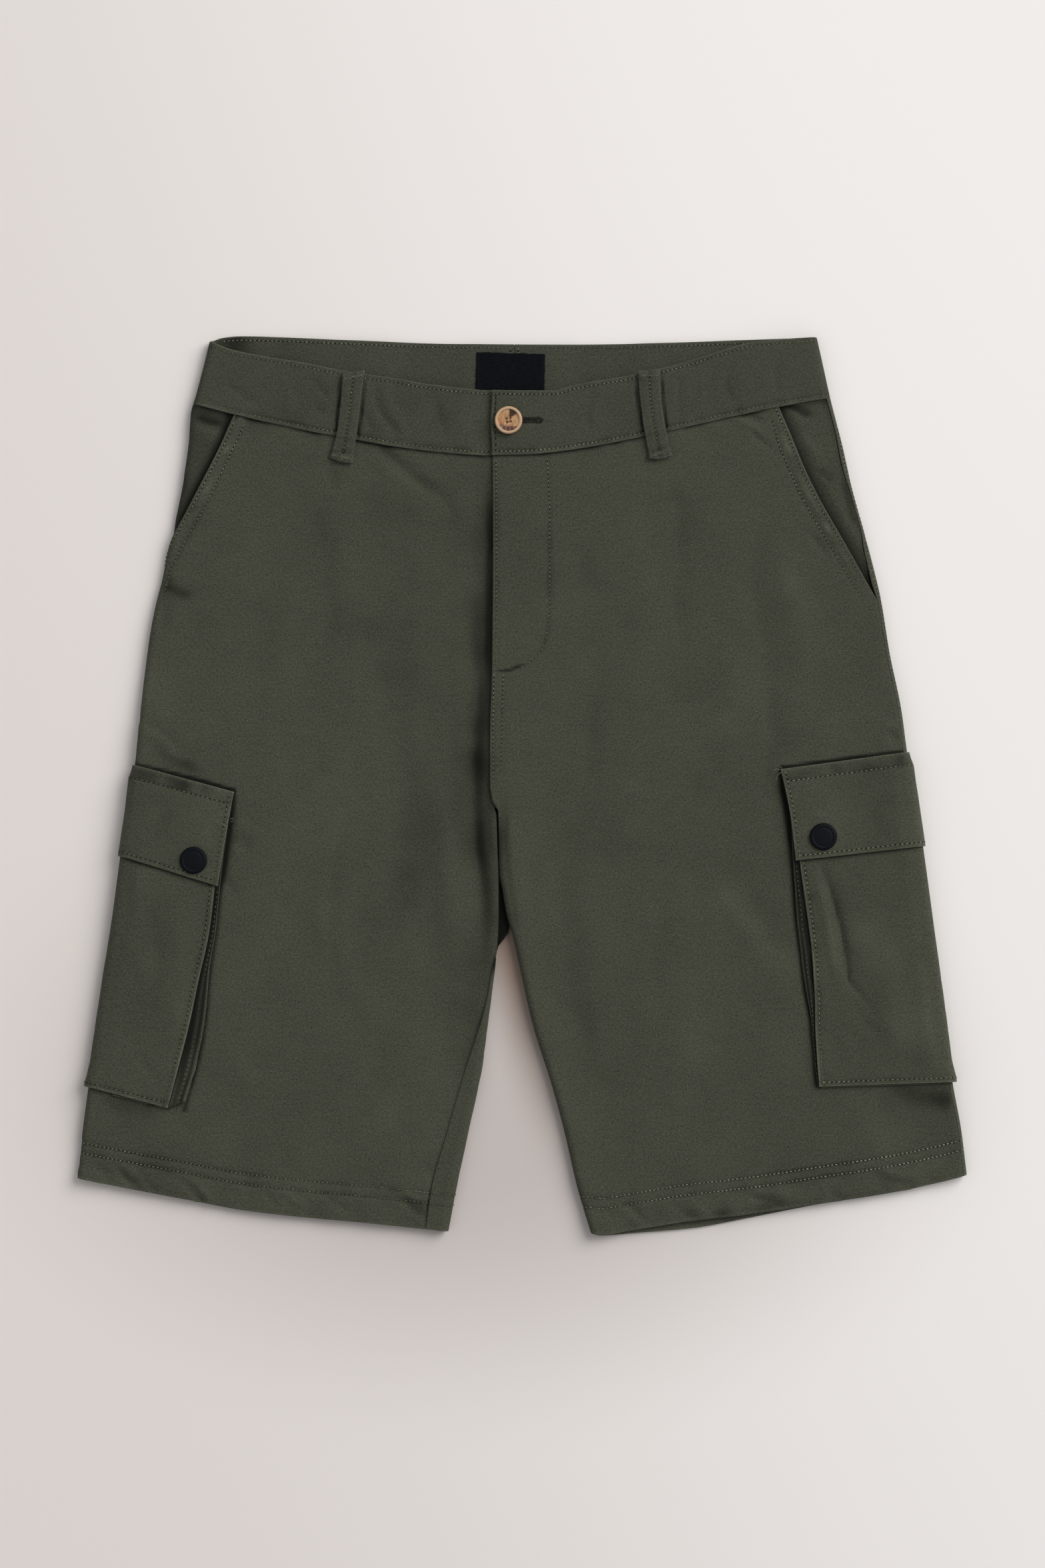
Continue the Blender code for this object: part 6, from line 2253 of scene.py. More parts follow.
    def build_gusset(self) -> None:
        """Builds the folded strip between the pocket and the leg."""
        leg = self.leg
        cargo = leg.cargo
        across = np.concatenate((np.linspace(-GUSSET_INSIDE, 0.0, 6), np.linspace(0.0, 1.0, 10)[1:]))
        corner_inset = cargo.width(cargo.line(cargo.bottom, cargo.width(POCKET_LOW)))
        corner = cargo.line(cargo.bottom, corner_inset)
        first = self.mouth(cargo.width(0.0))
        share = np.linspace(0.0, 1.0, 110)[:, None]
        y = first + (corner - first) * share
        inward = np.minimum(across, 0.0)
        outward = np.maximum(across, 0.0)
        reach = leg.distance(cargo.width(y), y)
        out = outward * cargo.gusset_out(y) + inward
        slope = (GUSSET_LOW - GUSSET_RISE * out) * (across > 0)
        low = np.where(share == 1.0, slope + inward * 0.9, slope * ramp(share, 0.9, 1.0))
        fanned = self.fan * ramp(share, 0.76, 0.95)
        folded = 0.5 * np.sin(outward * math.pi * (1 + 2 * fanned)) * (1 + 0.6 * fanned)
        wave = 0.25 * waves(y, outward * 3.0, 9.0, 61) * (across > 0)
        lift = SEAM_GAP + WALL + folded * np.minimum(cargo.gusset_out(y) / 5.0, 1.2) + wave
        place, y = np.broadcast_arrays(reach + out, y - low)
        middle = 0.5 + 0.12 * waves(y, 0.0, 22.0, 62)
        rim = 0.95 * bump(outward - 1.0, 0.13)
        rim = rim + 0.35 * bump(outward - middle, 0.12) * ramp(share, 0.3, 0.5)
        rim = rim + fanned * 0.75 * bump(np.cos(outward * math.pi * 2.5 + 0.4), 0.35)
        end = cargo.line(cargo.bottom, GUSSET_END)
        # The gusset in painted shade, deep between the pocket and the leg, paler along the edges of its
        # folds
        rows = [np.broadcast_arrays(place, y, lift, rim - 0.85 + 0.2 * fanned)]
        reach = leg.distance(corner_inset, corner) + inward
        share = np.linspace(0.0, 1.0, 36)[1:, None]
        place = reach + (GUSSET_END - reach) * share
        y = corner + (end - corner) * share - np.minimum(outward, GUSSET_LOW) - inward
        # Its end under the pocket's corner: painted shade on the inner half, paler on the outer half
        rows.append(np.broadcast_arrays(place, y, SEAM_GAP + WALL, 0.55 * (across > 0.5) - 0.2))
        place, y, lift, wear_and_shading = (np.concatenate(parts) for parts in zip(*rows))
        name = f"cargo_gusset_{leg.name}"
        sheet = Sheet(name, Cloths.POCKET, GUSSET_CUT, rounding=0.0, probe=8)
        sheet.lay(leg.layer(place, y, lift, wear_and_shading))

    def flap_lift(self, place: Array, y: Array) -> Array:
        """How far the flap's outer face stands off the leg."""
        x, _, below, above, beside = self.spot(place, y, True)
        relief = 0.14 + uneven(x, y, (0.14, 22, 71), (0.06, 8, 72))
        puckers = 0.3 + 0.5 * waves(x, y * 0.3, 6.0, 73)
        relief += puckers * bump(below - 4.0, 3.2) * ramp(below, 0.0, 2.0)
        relief -= 0.3 * bump(below - self.flap_row, 1.5)
        relief += (0.2 + 0.35 * waves(x, y * 0.3, 9.0, 74)) * bump(above, 5.0)
        relief -= 0.16 * self.edge_stitches(above, beside, 1.2)
        shown = ramp(place, 0.0, 12.0)
        return self.leg.flap_lift(place, y) + WALL + np.maximum(relief, -0.22) * shown

    def build_flap(self) -> None:
        """Builds the flap."""
        leg = self.leg
        cargo = leg.cargo
        strip = np.linspace(0.0, 0.18, 10, endpoint=False)
        shares = np.concatenate((strip, np.linspace(0.18, 1.0, 32)))
        top = partial(cargo.line, cargo.flap_top)
        place, y = self.settle(cargo.flap_width, shares, top, cargo.flap_bottom)
        lift = self.flap_lift(place, y)
        _, inset, below, above, beside = self.spot(place, y, True)
        wear_and_shading = 0.55 * bump(above, 1.2) + 0.5 * bump(beside, 1.1) * (place > 0) + 0.9 * bump(below, 0.9)
        # Painted shade in the grooves of the flap's stitch rows and among the puckers above its upper row
        wear_and_shading -= 0.3 * bump(below - self.flap_row, 1.1) + 0.12 * bump(below - 4.0, 3.0)
        wear_and_shading -= 0.2 * self.edge_stitches(above, beside, 0.9)
        wear_and_shading += 0.2 * bump(inset, 2.5) - 0.04
        strip = 0.24 - 0.16 * waves(place, y * 0.3, 7.0, 73)
        wear_and_shading -= strip * ramp(below, self.flap_row + 0.4, self.flap_row - 1.2)
        wear_and_shading += uneven(place, y, (0.22, 26.0, 75), (0.12, 9.0, 76)) + 0.06
        sheet = Sheet(f"cargo_flap_{leg.name}", Cloths.POCKET, FLAP_CUT, probe=20)
        sheet.lay(leg.layer(place, y, lift, wear_and_shading))

    def build_snap(self) -> None:
        """Builds the snap's cap, with a shallow ring."""
        at = self.leg.cargo.snap_at
        radius = self.snap_radius
        steps = 72
        rim_x, rim_y, _ = np.array(circle(at, radius, 0.0, steps)).T
        place = self.leg.place_of(1, rim_x, rim_y)
        seat = float(self.leg.point(place, rim_y, self.flap_lift(place, rim_y))[2].max())
        rings = [[(at.x, at.y, seat + SNAP_TOP)]]
        rings += [circle(at, share * radius, seat + height, steps) for share, height in SNAP_PROFILE]
        rings.append([(at.x, at.y, seat)])
        name = f"cargo_snap_{self.leg.name}"
        cap = attach(f"{name}_cap", ringed_mesh(name, rings), Finishes.of(SnapFinish("Painted snap")))
        hand_over(cap, name)

    def level_row(self, line: Lines, above: float, width: Curve) -> tuple[Array, Array]:
        """Places and heights of a row along a line, from the front edge round to the back."""
        leg = self.leg
        beside = self.edge_row
        t = np.linspace(0.0, 1.0, 140)
        y = np.full(t.shape, line.at_fold)
        for _ in range(SETTLING_ROUNDS):
            front = leg.distance(width(y) - beside, y)
            back = -leg.distance(POCKET_WIDTH - width(y) - beside, y)
            place = front + (back - front) * t
            y = leg.cargo.line(line, np.abs(leg.inset(leg.point(place, y)[0], y))) + above
        return place, y

    def upright_row(self, width: Curve, top: float, low: float) -> tuple[Array, Array]:
        """Places and heights of a row beside the front edge."""
        y = np.linspace(top, low, 120)
        return self.leg.distance(width(y) - self.edge_row, y), y

    def sew(self) -> None:
        """Sews the edges of the pocket, the flap and the gusset."""
        leg = self.leg
        cargo = leg.cargo
        sewing = Sewing(f"cargo_{leg.name}", "cloth")
        thread = Threads.DULL if leg.side < 0 else Threads.OLIVE
        edge = self.edge_row
        low = cargo.line(cargo.bottom, cargo.width(POCKET_LOW)) + edge
        flap_low = cargo.line(cargo.flap_bottom, cargo.flap_width(-50.0))
        flap_high = cargo.line(cargo.flap_top, cargo.flap_width(0.0)) - 1.5
        for lift, (place, y) in (
            (self.pocket_lift, self.level_row(cargo.bottom, edge, cargo.width)),
            (self.pocket_lift, self.upright_row(cargo.width, flap_low - 1.0, low)),
            (self.flap_lift, self.level_row(cargo.flap_top, -self.flap_row, cargo.flap_width)),
            (self.flap_lift, self.level_row(cargo.flap_bottom, edge, cargo.flap_width)),
            (self.flap_lift, self.upright_row(cargo.flap_width, flap_high, flap_low + edge)),
        ):
            sewing.row(leg.points(place, y, lift(place, y) + ON_CLOTH), self.stitch, thread)
        y = np.linspace(flap_low - 3.0, low - 3.0, 120)
        place = leg.distance(cargo.width(y) + cargo.gusset_out(y) * 0.55, y)
        points = leg.points(place, y, SEAM_GAP + WALL + 0.45)
        sewing.row(points, StitchPlan(3.0, 1.6, 0.5, 0.3, 4.0, 8.0), Threads.DULL)
        for path in self.loose_threads:
            sewing.thread(smooth_path(path), 0.13, Threads.OLIVE)
        sewing.lay()


def smooth_path(path: Sequence[Triple], steps: int = 10) -> Array:
    """Points of a smooth path through a few points."""
    points = np.array(path, float)
    at = np.arange(len(points))
    fine = np.linspace(0, len(points) - 1, (len(points) - 1) * steps + 1)
    way = np.stack([np.interp(fine, at, points[:, axis]) for axis in range(3)], axis=-1)
    for _ in range(steps):
        way[1:-1] = (way[:-2] + 2 * way[1:-1] + way[2:]) / 4
    return way


def circle(at: At, radius: float, z: Number, steps: int) -> list[Triple]:
    """Points round a middle, all at one height or each at its own."""
    turn = np.arange(steps) * math.tau / steps
    x = at.x + radius * np.cos(turn)
    y = at.y + radius * np.sin(turn)
    return list(zip(x, y, np.broadcast_to(z, steps)))


def ringed_mesh(name: str, rings: Sequence[Sequence[Triple]]) -> bpy.types.Mesh:
    """A round piece from rings of points, whose first and last ring is a single point."""
    steps = len(rings[1])
    after = [(i + 1) % steps for i in range(steps)]
    points = [point for ring in rings for point in ring]
    last = len(points) - 1 - steps
    faces = [(0, 1 + i, 1 + after[i]) for i in range(steps)]
    for first in range(1, last, steps):
        low = first + steps
        faces += [(first + i, low + i, low + after[i], first + after[i]) for i in range(steps)]
    faces += [(len(points) - 1, last + after[i], last + i) for i in range(steps)]
    mesh = bpy.data.meshes.new(name)
    mesh.from_pydata([[float(value) * MM for value in point] for point in points], [], faces)
    mesh.update()
    return mesh


# Waistband


def band_height(x: Array) -> Array:
    """Height of the waistband's outer face."""
    return BAND_HEIGHT + fly_rise(x, front_seam(x))


@dataclass
class BandHalf:
    """Half of the waistband in one strip: its front, the side fold and its back."""

    side: int
    outer: tuple[Edge, ...]
    front_end: float
    back_end: float
    spacing: float = 1.6
    edge_row: float = 2.3
    end_row: float = 2.6
    stitch: StitchPlan = StitchPlan(2.7, 1.7, 0.6, 0.34, 10.0, 6.0)

    def __post_init__(self) -> None:
        """Makes the tube that the strip lies on."""
        never = (-1000.0, -1001.0)
        past_middle = -self.side * 400.0
        lap_edge = LEFT_FRONT_END[0].x

        def top(x: Array, y: Array) -> Array:
            """The front's outer face, lower where the other half laps over it."""
            drop = BAND_LAP_DROP * ramp(x, lap_edge - LAP_REACH, lap_edge - 1) if self.side < 0 else 0.0
            return band_height(x) - drop

        def under(x: Array, y: Array) -> Array:
            """The back's outer face, over the belt loops."""
            return LAYER * loops_below(x)

        outer = Curve(self.outer, "y", "x")
        self.tube = Tube(self.side, outer, lambda y: past_middle, top, under, {1: never, -1: never})
        self.name = "waistband_right" if self.side < 0 else "waistband_left"

    def start(self, y: Array) -> Array:
        """The end at the centre of the front, a little pushed out beside the button."""
        x = self.front_end - (0.8 * bump(y - BUTTON_AT.y, 9.0) if self.side > 0 else 0.0)
        return self.tube.reach_to(1, x, y)

    def finish(self, y: Array) -> Array:
        """The end at the centre of the back."""
        return -self.tube.reach_to(-1, self.back_end, y)

    @staticmethod
    def line(share: Array, x: Array, y: Array, place: Array) -> Array:
        """Between the waistband's upper edge and its seam."""
        edge = np.where(place >= 0, front_top(x), back_top(x))
        return edge * (1 - share) + (waist_seam(x, place) - BAND_OVER_SEAM) * share

    def lift(self, place: Array, y: Array) -> Array:
        """Creases and puckers, outwards on the front and inwards on the back."""
        x = self.tube.point(place, y)[0]
        from_seam = y - front_seam(x)
        from_top = front_top(x) - y
        relief = crease_height(BAND_CREASES, x, y) + uneven(x, y, (0.22, 24, 81), (0.12, 10, 82))
        relief += (0.5 * waves(x, y * 0.2, 5.2, 83) - 0.1) * bump(from_seam - 1.0, 3.4)
        relief += 0.35 * waves(x, y * 0.2, 6.5, 84) * bump(from_top - 1.0, 3.4)
        relief -= 0.26 * bump(from_seam - self.edge_row, 1.2) + 0.26 * bump(from_top - self.edge_row, 1.2)
        relief += 0.25 * bump(from_seam - 0.6, 0.9) + 0.15 * bump(from_top - 0.6, 0.9)
        front = ramp(place, 2.0, 12.0)
        if self.side < 0:
            front = front * ramp(x, -20.0, -30.0)
        else:
            front = front * (1 - 0.75 * ramp(x, 8.0, -2.0))
        label_x = np.abs(x - LABEL_AT.x) - LABEL_WIDTH / 2
        inward = -0.35 * (0.6 + 0.5 * waves(x, y, 17, 85)) * ramp(-place, 6.0, 20.0)
        inward = inward * (0.25 + 0.75 * ramp(label_x, 0.0, 10.0))
        return np.where(place > 0, relief * front, inward)

    def build(self) -> None:
        """Builds the strip and its stitching."""
        shares = np.linspace(0.0, 1.0, int(40 / self.spacing) + 1)
        columns = Columns.spread(BAND_ALONG, self.spacing, BAND_STEPS)
        place, y = settle(self.tube, columns, (self.start, self.finish), shares, self.line)
        lift = self.lift(place, y)
        x = self.tube.point(place, y)[0]
        front = place > 0
        from_seam = np.where(front, y - front_seam(x), y - back_seam(x))
        from_top = np.where(front, front_top(x) - y, back_top(x) - y)
        wear_and_shading = 0.6 * bump(from_seam, 1.2) + 0.4 * bump(from_top, 1.2)
        # Painted highlight on the front's ridges and painted shade in its creases
        wear_and_shading += np.clip(lift * 0.35, -0.35, 0.3) * front
        wear_and_shading += uneven(place, y, (0.12, 26.0, 86), (0.08, 10.0, 87))
        # Painted shade in the grooves of both stitch rows
        wear_and_shading -= 0.25 * bump(from_seam - self.edge_row - 0.4, 0.9)
        wear_and_shading -= 0.2 * bump(from_top - self.edge_row, 0.9)
        # Painted shadows along the belt loops' edges
        wear_and_shading -= crease_height(BAND_SHADES, x, y, 0.0) * front
        # Painted shade near the side fold, on the back's inner face and on the front
        fold = np.abs(self.tube.outer(y) - x)
        wear_and_shading -= 0.55 * bump(fold - 14.0, 12.0) * ~front + 0.3 * bump(fold, 3.0) * front
        if self.side > 0:
            wear_and_shading += 0.45 * bump(x - self.front_end, 1.2) * front
        sheet = Sheet(self.name, Cloths.BAND, BAND_CUT, "doubled_cloth", BAND_WALL, 0.55, probe=10)
        sheet.lay(self.tube.layer(place, y, lift, wear_and_shading))
        self.sew()

    def on_front(self, x: Array, y: Array, above: float = ON_CLOTH) -> Array:
        """Points on the front's outer face, seen at x and y."""
        place = self.tube.place_of(1, x, y)
        return self.tube.points(place, y, self.lift(place, y) + above)

    def sew(self) -> None:
        """Sews rows inside the edges of the front and of the back's inner face."""
        sewing = Sewing(self.name, "doubled_cloth")
        t = np.linspace(0.0, 1.0, 460)
        inset = self.edge_row / 39.0
        for share in (inset, 1 - inset):
            y = np.full(t.shape, 240.0)
            for _ in range(SETTLING_ROUNDS):
                start = self.start(y) - self.end_row
                place = start + (self.finish(y) - start) * t
                y = self.line(share, self.tube.point(place, y)[0], y, place)
            lift = self.lift(place, y)
            front = place > 4.0
            outside = self.tube.points(place, y, lift + ON_CLOTH)[front]
            inside = self.tube.points(place, y, lift - BAND_WALL - 0.1)[place < -10.0]
            sewing.row(outside, self.stitch)
            sewing.row(inside, self.stitch)
        if self.side > 0:
            y = np.linspace(front_top(self.front_end) - 2.5, front_seam(self.front_end) + 2.6, 30)
            x = self.front_end + self.end_row - 0.8 * bump(y - BUTTON_AT.y, 9.0)
            sewing.row(self.on_front(x, y), StitchPlan(3.5, 2.0, 0.5, 0.34, 3.0, 6.0), Threads.DARK)
            self.sew_buttonhole(sewing)
        y = np.linspace(back_top(self.back_end) - 2.0, back_seam(self.back_end) + 2.0, 30)
        place = self.finish(y) + 2.4
        sewing.row(self.tube.points(place, y, self.lift(place, y) - BAND_WALL - 0.1), self.stitch)
        sewing.lay()

    def sew_buttonhole(self, sewing: Sewing) -> None:
        """Sews the keyhole beside the button: two rows of bars, a slit as a dark cord of painted shade,
        and a pointed eye.
        """
        bars = StitchPlan(0.78, 0.5, 1.5, 0.5, 0.0, 7.0, 0.0)
        for y in (229.5, 227.5):
            x = np.linspace(-0.8, 8.8, 12)
            sewing.row(self.on_front(x, np.full(12, y), 0.2), bars, Threads.BUTTONHOLE)
        angles = np.radians(np.linspace(150, -150, 26))
        tip = np.exp(-((angles / 0.5) ** 2))
        eye_x = 9.8 + (1.5 + 1.3 * tip) * np.cos(angles)
        eye_y = 228.5 + 1.5 * np.sin(angles)
        sewing.row(self.on_front(eye_x, eye_y, 0.2), bars, Threads.BUTTONHOLE)
        # The slit: a dark cord standing for the shade in the cut
        slit = self.on_front(np.linspace(-0.8, 10.0, 16), np.full(16, 228.5), 0.02)
        sewing.thread(slit, 0.2, Threads.DARK)


@dataclass
class FrontLoop:
    """A belt loop arched over the front of the waistband, with its foot on the front panel."""

    leg: Leg
    left_edge: Route
    right_edge: Route
    twist: float

    @property
    def name(self) -> str:
        """The node that the loop stands for."""
        return f"belt_loop_front_{self.leg.name}"

    def height(self, x: Array, y: Array, share: Array) -> Array:
        """Height of the loop's outer face at a share of the way down."""
        blend = ramp(y - front_seam(x), -3.0, 0.5)
        base = band_height(x) * blend + self.leg.front_height(x, y) * (1 - blend)
        arch = LOOP_ARCH * np.sin(math.pi * np.clip(share, 0.0, 1.0)) ** 0.8
        return base + SEAM_GAP + LOOP_WALL + arch

    def points(self, t: Array, s: Array) -> tuple[Array, Array, Array]:
        """Points at shares t of the way down and s of the way across, from the left edge."""
        left = smooth_path([(x, y, 0.0) for x, y in self.left_edge], 8)
        right = smooth_path([(x, y, 0.0) for x, y in self.right_edge], 8)
        ends = []
        for path in (left, right):
            at = np.linspace(0.0, 1.0, len(path))
            ends.append((np.interp(t, at, path[:, 0]), np.interp(t, at, path[:, 1])))
        x = ends[0][0] * (1 - s) + ends[1][0] * s
        y = ends[0][1] * (1 - s) + ends[1][1] * s
        y = y - 1.4 * ramp(t, 0.9, 1.0) * np.sin(math.pi * s)
        rounded = 0.45 * (1 - (2 * np.abs(s - 0.5)) ** 2.4)
        groove = -0.45 * bump((s - 0.5) * 14.0, 1.1)
        foot = 0.8 * bump((t - 0.93) * 56, 4.0) + 0.55 * bump((t - 0.05) * 56, 4.5)
        neck = -0.5 * bump((t - 0.8) * 56, 2.6) - 0.3 * bump((t - 0.14) * 56, 2.6)
        rough = uneven(x, y, (0.25, 6.0, 91), (0.12, 3.0, 92))
        wedge = self.twist * bump((t - 0.84) * 56 - (s - 0.3) * 9.0, 2.4) * ramp(s, 0.75, 0.1)
        return x, y, self.height(x, y, t) + rounded + groove + foot + neck + rough + wedge

    def build(self) -> None:
        """Builds the loop and its stitching."""
        t = np.linspace(0.0, 1.0, 60)[:, None]
        s = np.linspace(0.0, 1.0, 17)[None, :]
        x, y, z = self.points(t, s)
        edge = bump(s * 14, 1.2) + bump((s - 1.0) * 14, 1.2)
        wear_and_shading = 0.4 * edge + 0.35 * bump((t - 0.98) * 56, 2.0) + 0.3 * bump((t - 0.01) * 56, 1.6)
        # Painted shade in the middle groove and at the neck above the foot
        wear_and_shading = wear_and_shading - 0.5 * bump((s - 0.5) * 14, 1.0) - 0.4 * bump((t - 0.82) * 56, 2.0)
        sheet = Sheet(self.name, Cloths.BAND, FRONT_LOOP_CUT, "doubled_cloth", LOOP_WALL, 0.5)
        sheet.lay(Layer(x, y, z, x, y, wear_and_shading))
        self.sew()

    def on_loop(self, t: Array, s: Array, above: float = 0.12) -> Array:
        """Points on the loop's outer face."""
        x, y, z = self.points(np.asarray(t, float), np.asarray(s, float))
        return joined((x, y, z + above))

    def sew(self) -> None:
        """Sews the middle row and the tacks at both ends."""
        sewing = Sewing(self.name, "doubled_cloth")
        t = np.linspace(0.04, 0.95, 90)
        sewing.row(self.on_loop(t, np.full(90, 0.5)), StitchPlan(2.4, 1.7, 0.5, 0.32, 4.0, 6.0))
        for down in (0.055, 0.925):
            ends = self.on_loop(np.array([down, down]), np.array([0.1, 0.9]), 0.15)
            sewing.bartack(ends[0], ends[1], 1.3)
        sewing.lay()


@dataclass
class BackLoop:
    """A belt loop flat under the back of the waistband."""

    x: float
    name: str

    def build(self) -> None:
        """Builds the loop and its row of stitches."""
        low = float(back_seam(self.x)) - BACK_LOOP_FOOT
        t = np.linspace(0.0, 1.0, 40)[:, None]
        s = np.linspace(-0.5, 0.5, 13)[None, :]
        x = self.x + LOOP_WIDTH * s + 0.3 * waves(t * BACK_LOOP_LENGTH, s * 2, 12.0, 93)
        y = low + BACK_LOOP_LENGTH * (1 - t)
        z = 0.25 * np.abs(2 * s) ** 3 + 0.15 * (1 + waves(x, y, 8.0, 94)) * ramp(np.abs(s), 0.1, 0.4)
        wear_and_shading = 0.4 * bump((np.abs(s) - 0.5) * 14, 1.2)
        sheet = Sheet(
            self.name, Cloths.BAND, BACK_LOOP_CUT, "doubled_cloth", rounding=0.35, faces_up=False
        )
        sheet.lay(Layer(x, y, z, x, y, wear_and_shading))
        sewing = Sewing(self.name, "doubled_cloth")
        down = np.linspace(low + 2.0, low + BACK_LOOP_LENGTH - 2.0, 60)
        points = joined((np.full(60, self.x), down, np.full(60, 0.04)))
        sewing.row(points, StitchPlan(2.4, 1.7, 0.5, 0.16, 4.0, 6.0))
        for y in (low + 3.0, low + BACK_LOOP_LENGTH - 3.0):
            ends = np.array([(self.x - 5.6, y, 0.28), (self.x + 5.6, y, 0.28)])
            sewing.bartack(ends[0], ends[1], 1.3)
        sewing.lay()


@dataclass
class Label:
    """The plain woven label inside the back of the waistband."""

    at: At = LABEL_AT
    width: float = LABEL_WIDTH
    height: float = LABEL_HEIGHT
    turn: float = LABEL_TURN

    def point(self, across: Array, up: Array) -> tuple[Array, Array, Array]:
        """A point of the label's upper face, from its middle."""
        x = self.at.x + across * math.cos(self.turn) - up * math.sin(self.turn)
        y = self.at.y + across * math.sin(self.turn) + up * math.cos(self.turn)
        base = LAYER + BAND_WALL + SEAM_GAP + LABEL_WALL
        z = base + uneven(x, y, (0.12, 9.0, 95), (0.1, 4.0, 96))
        return x, y, z

    def build(self) -> None:
        """Builds the label and the stitch rows down its two sides."""
        s = np.linspace(-0.5, 0.5, 36)[None, :]
        t = np.linspace(0.5, -0.5, 26)[:, None]
        ragged = 0.35 * waves(s * 60, t * 60, 2.4, 97)
        across = s * self.width + ragged * (np.abs(s) > 0.48)
        up = t * self.height + ragged * (np.abs(t) > 0.48)
        x, y, z = self.point(across, up)
        finish = LabelFinish("Black woven label")
        sheet = Sheet("label", finish, LABEL_CUT, "label", LABEL_WALL, 0.2, part="ribbon")
        sheet.lay(Layer(x, y, z, across, up, 0.0))
        sewing = Sewing("label", "label")
        for side in (-1, 1):
            up = np.linspace(self.height / 2 - 1.5, -self.height / 2 + 1.5, 30)
            across = np.full(30, side * (self.width / 2 - 1.5))
            x, y, z = self.point(across, up)
            plan = StitchPlan(2.2, 1.5, 0.4, 0.25, 0.0, 5.0)
            sewing.row(joined((x, y, z + 0.06)), plan, Threads.DARK)
        sewing.lay()


@dataclass
class WaistButton:
    """The waist button: a dished disc with a rim and four holes, sewn with thread."""

    at: At = BUTTON_AT
    radius: float = BUTTON_DIAMETER / 2
    height: float = BUTTON_HEIGHT
    hole_radius: float = 0.75
    hole_spread: float = 1.55
    holes_turned: float = math.radians(8)

    def top(self, out: float, x: Number, y: Number) -> Number:
        """Height of the upper face above the seat, at a distance out from its middle."""
        share = out / self.radius
        dish = self.height - BUTTON_DISH - 0.15 * np.clip(1 - (share / 0.7) ** 2, 0, 1)
        rim = dish + (BUTTON_DISH + 0.05) * ramp(share, 0.68, 0.82)
        face = rim - 1.7 * ramp(share, 0.9, 1.0) ** 2
        for hx, hy in self.holes():
            away = np.hypot(x - hx, y - hy) / self.hole_radius
            face = face - 1.5 * ramp(away, 1.25, 0.7)
        return face

    def holes(self) -> list[tuple[float, float]]:
        """Centres of the four holes, from the button's middle."""
        angles = [self.holes_turned + math.pi / 4 + i * math.pi / 2 for i in range(4)]
        return [(self.hole_spread * math.cos(a), self.hole_spread * math.sin(a)) for a in angles]

    def build(self) -> None:
        """Builds the button and its threads."""
        angles = np.arange(24) * math.tau / 24
        rim_x = self.at.x + self.radius * np.cos(angles)
        seat = float(band_height(rim_x).max()) + SEAM_GAP
        steps = 96
        turn = np.arange(steps) * math.tau / steps
        inner_radii = np.linspace(0.25, self.radius * 0.96, 32)
        rings = [[(self.at.x, self.at.y, seat + float(self.top(0.0, 0.0, 0.0)))]]
        for radius in (*inner_radii, self.radius * 0.985, self.radius):
            z = seat + self.top(radius, radius * np.cos(turn), radius * np.sin(turn))
            rings.append(circle(self.at, radius, z, steps))
        for share, height in BUTTON_EDGE:
            rings.append(circle(self.at, self.radius * share, seat + height, steps))
        rings.append([(self.at.x, self.at.y, seat)])
        finish = ButtonFinish("Brown resin button", self.at, self.radius)
        disc = attach("waist_button_disc", ringed_mesh("waist_button", rings), Finishes.of(finish))
        hand_over(disc, "waist_button")
        self.sew(seat)

    def sew(self, seat: float) -> None:
        """Sews the button through its holes."""
        sewing = Sewing("waist_button", "button")
        holes = self.holes()
        top = seat + self.height - BUTTON_DISH
        for start, end in ((holes[0], holes[1]), (holes[3], holes[2])):
            for shift in (-0.14, 0.16):
                path = []
                for share, above in ((0.0, -0.9), (0.5, 0.3), (1.0, -0.9)):
                    x = self.at.x + start[0] + (end[0] - start[0]) * share
                    y = self.at.y + start[1] + (end[1] - start[1]) * share + shift
                    path.append((x, y, top + above))
                sewing.thread(smooth_path(path), 0.17, Threads.TAN)
        sewing.lay()


# Studio


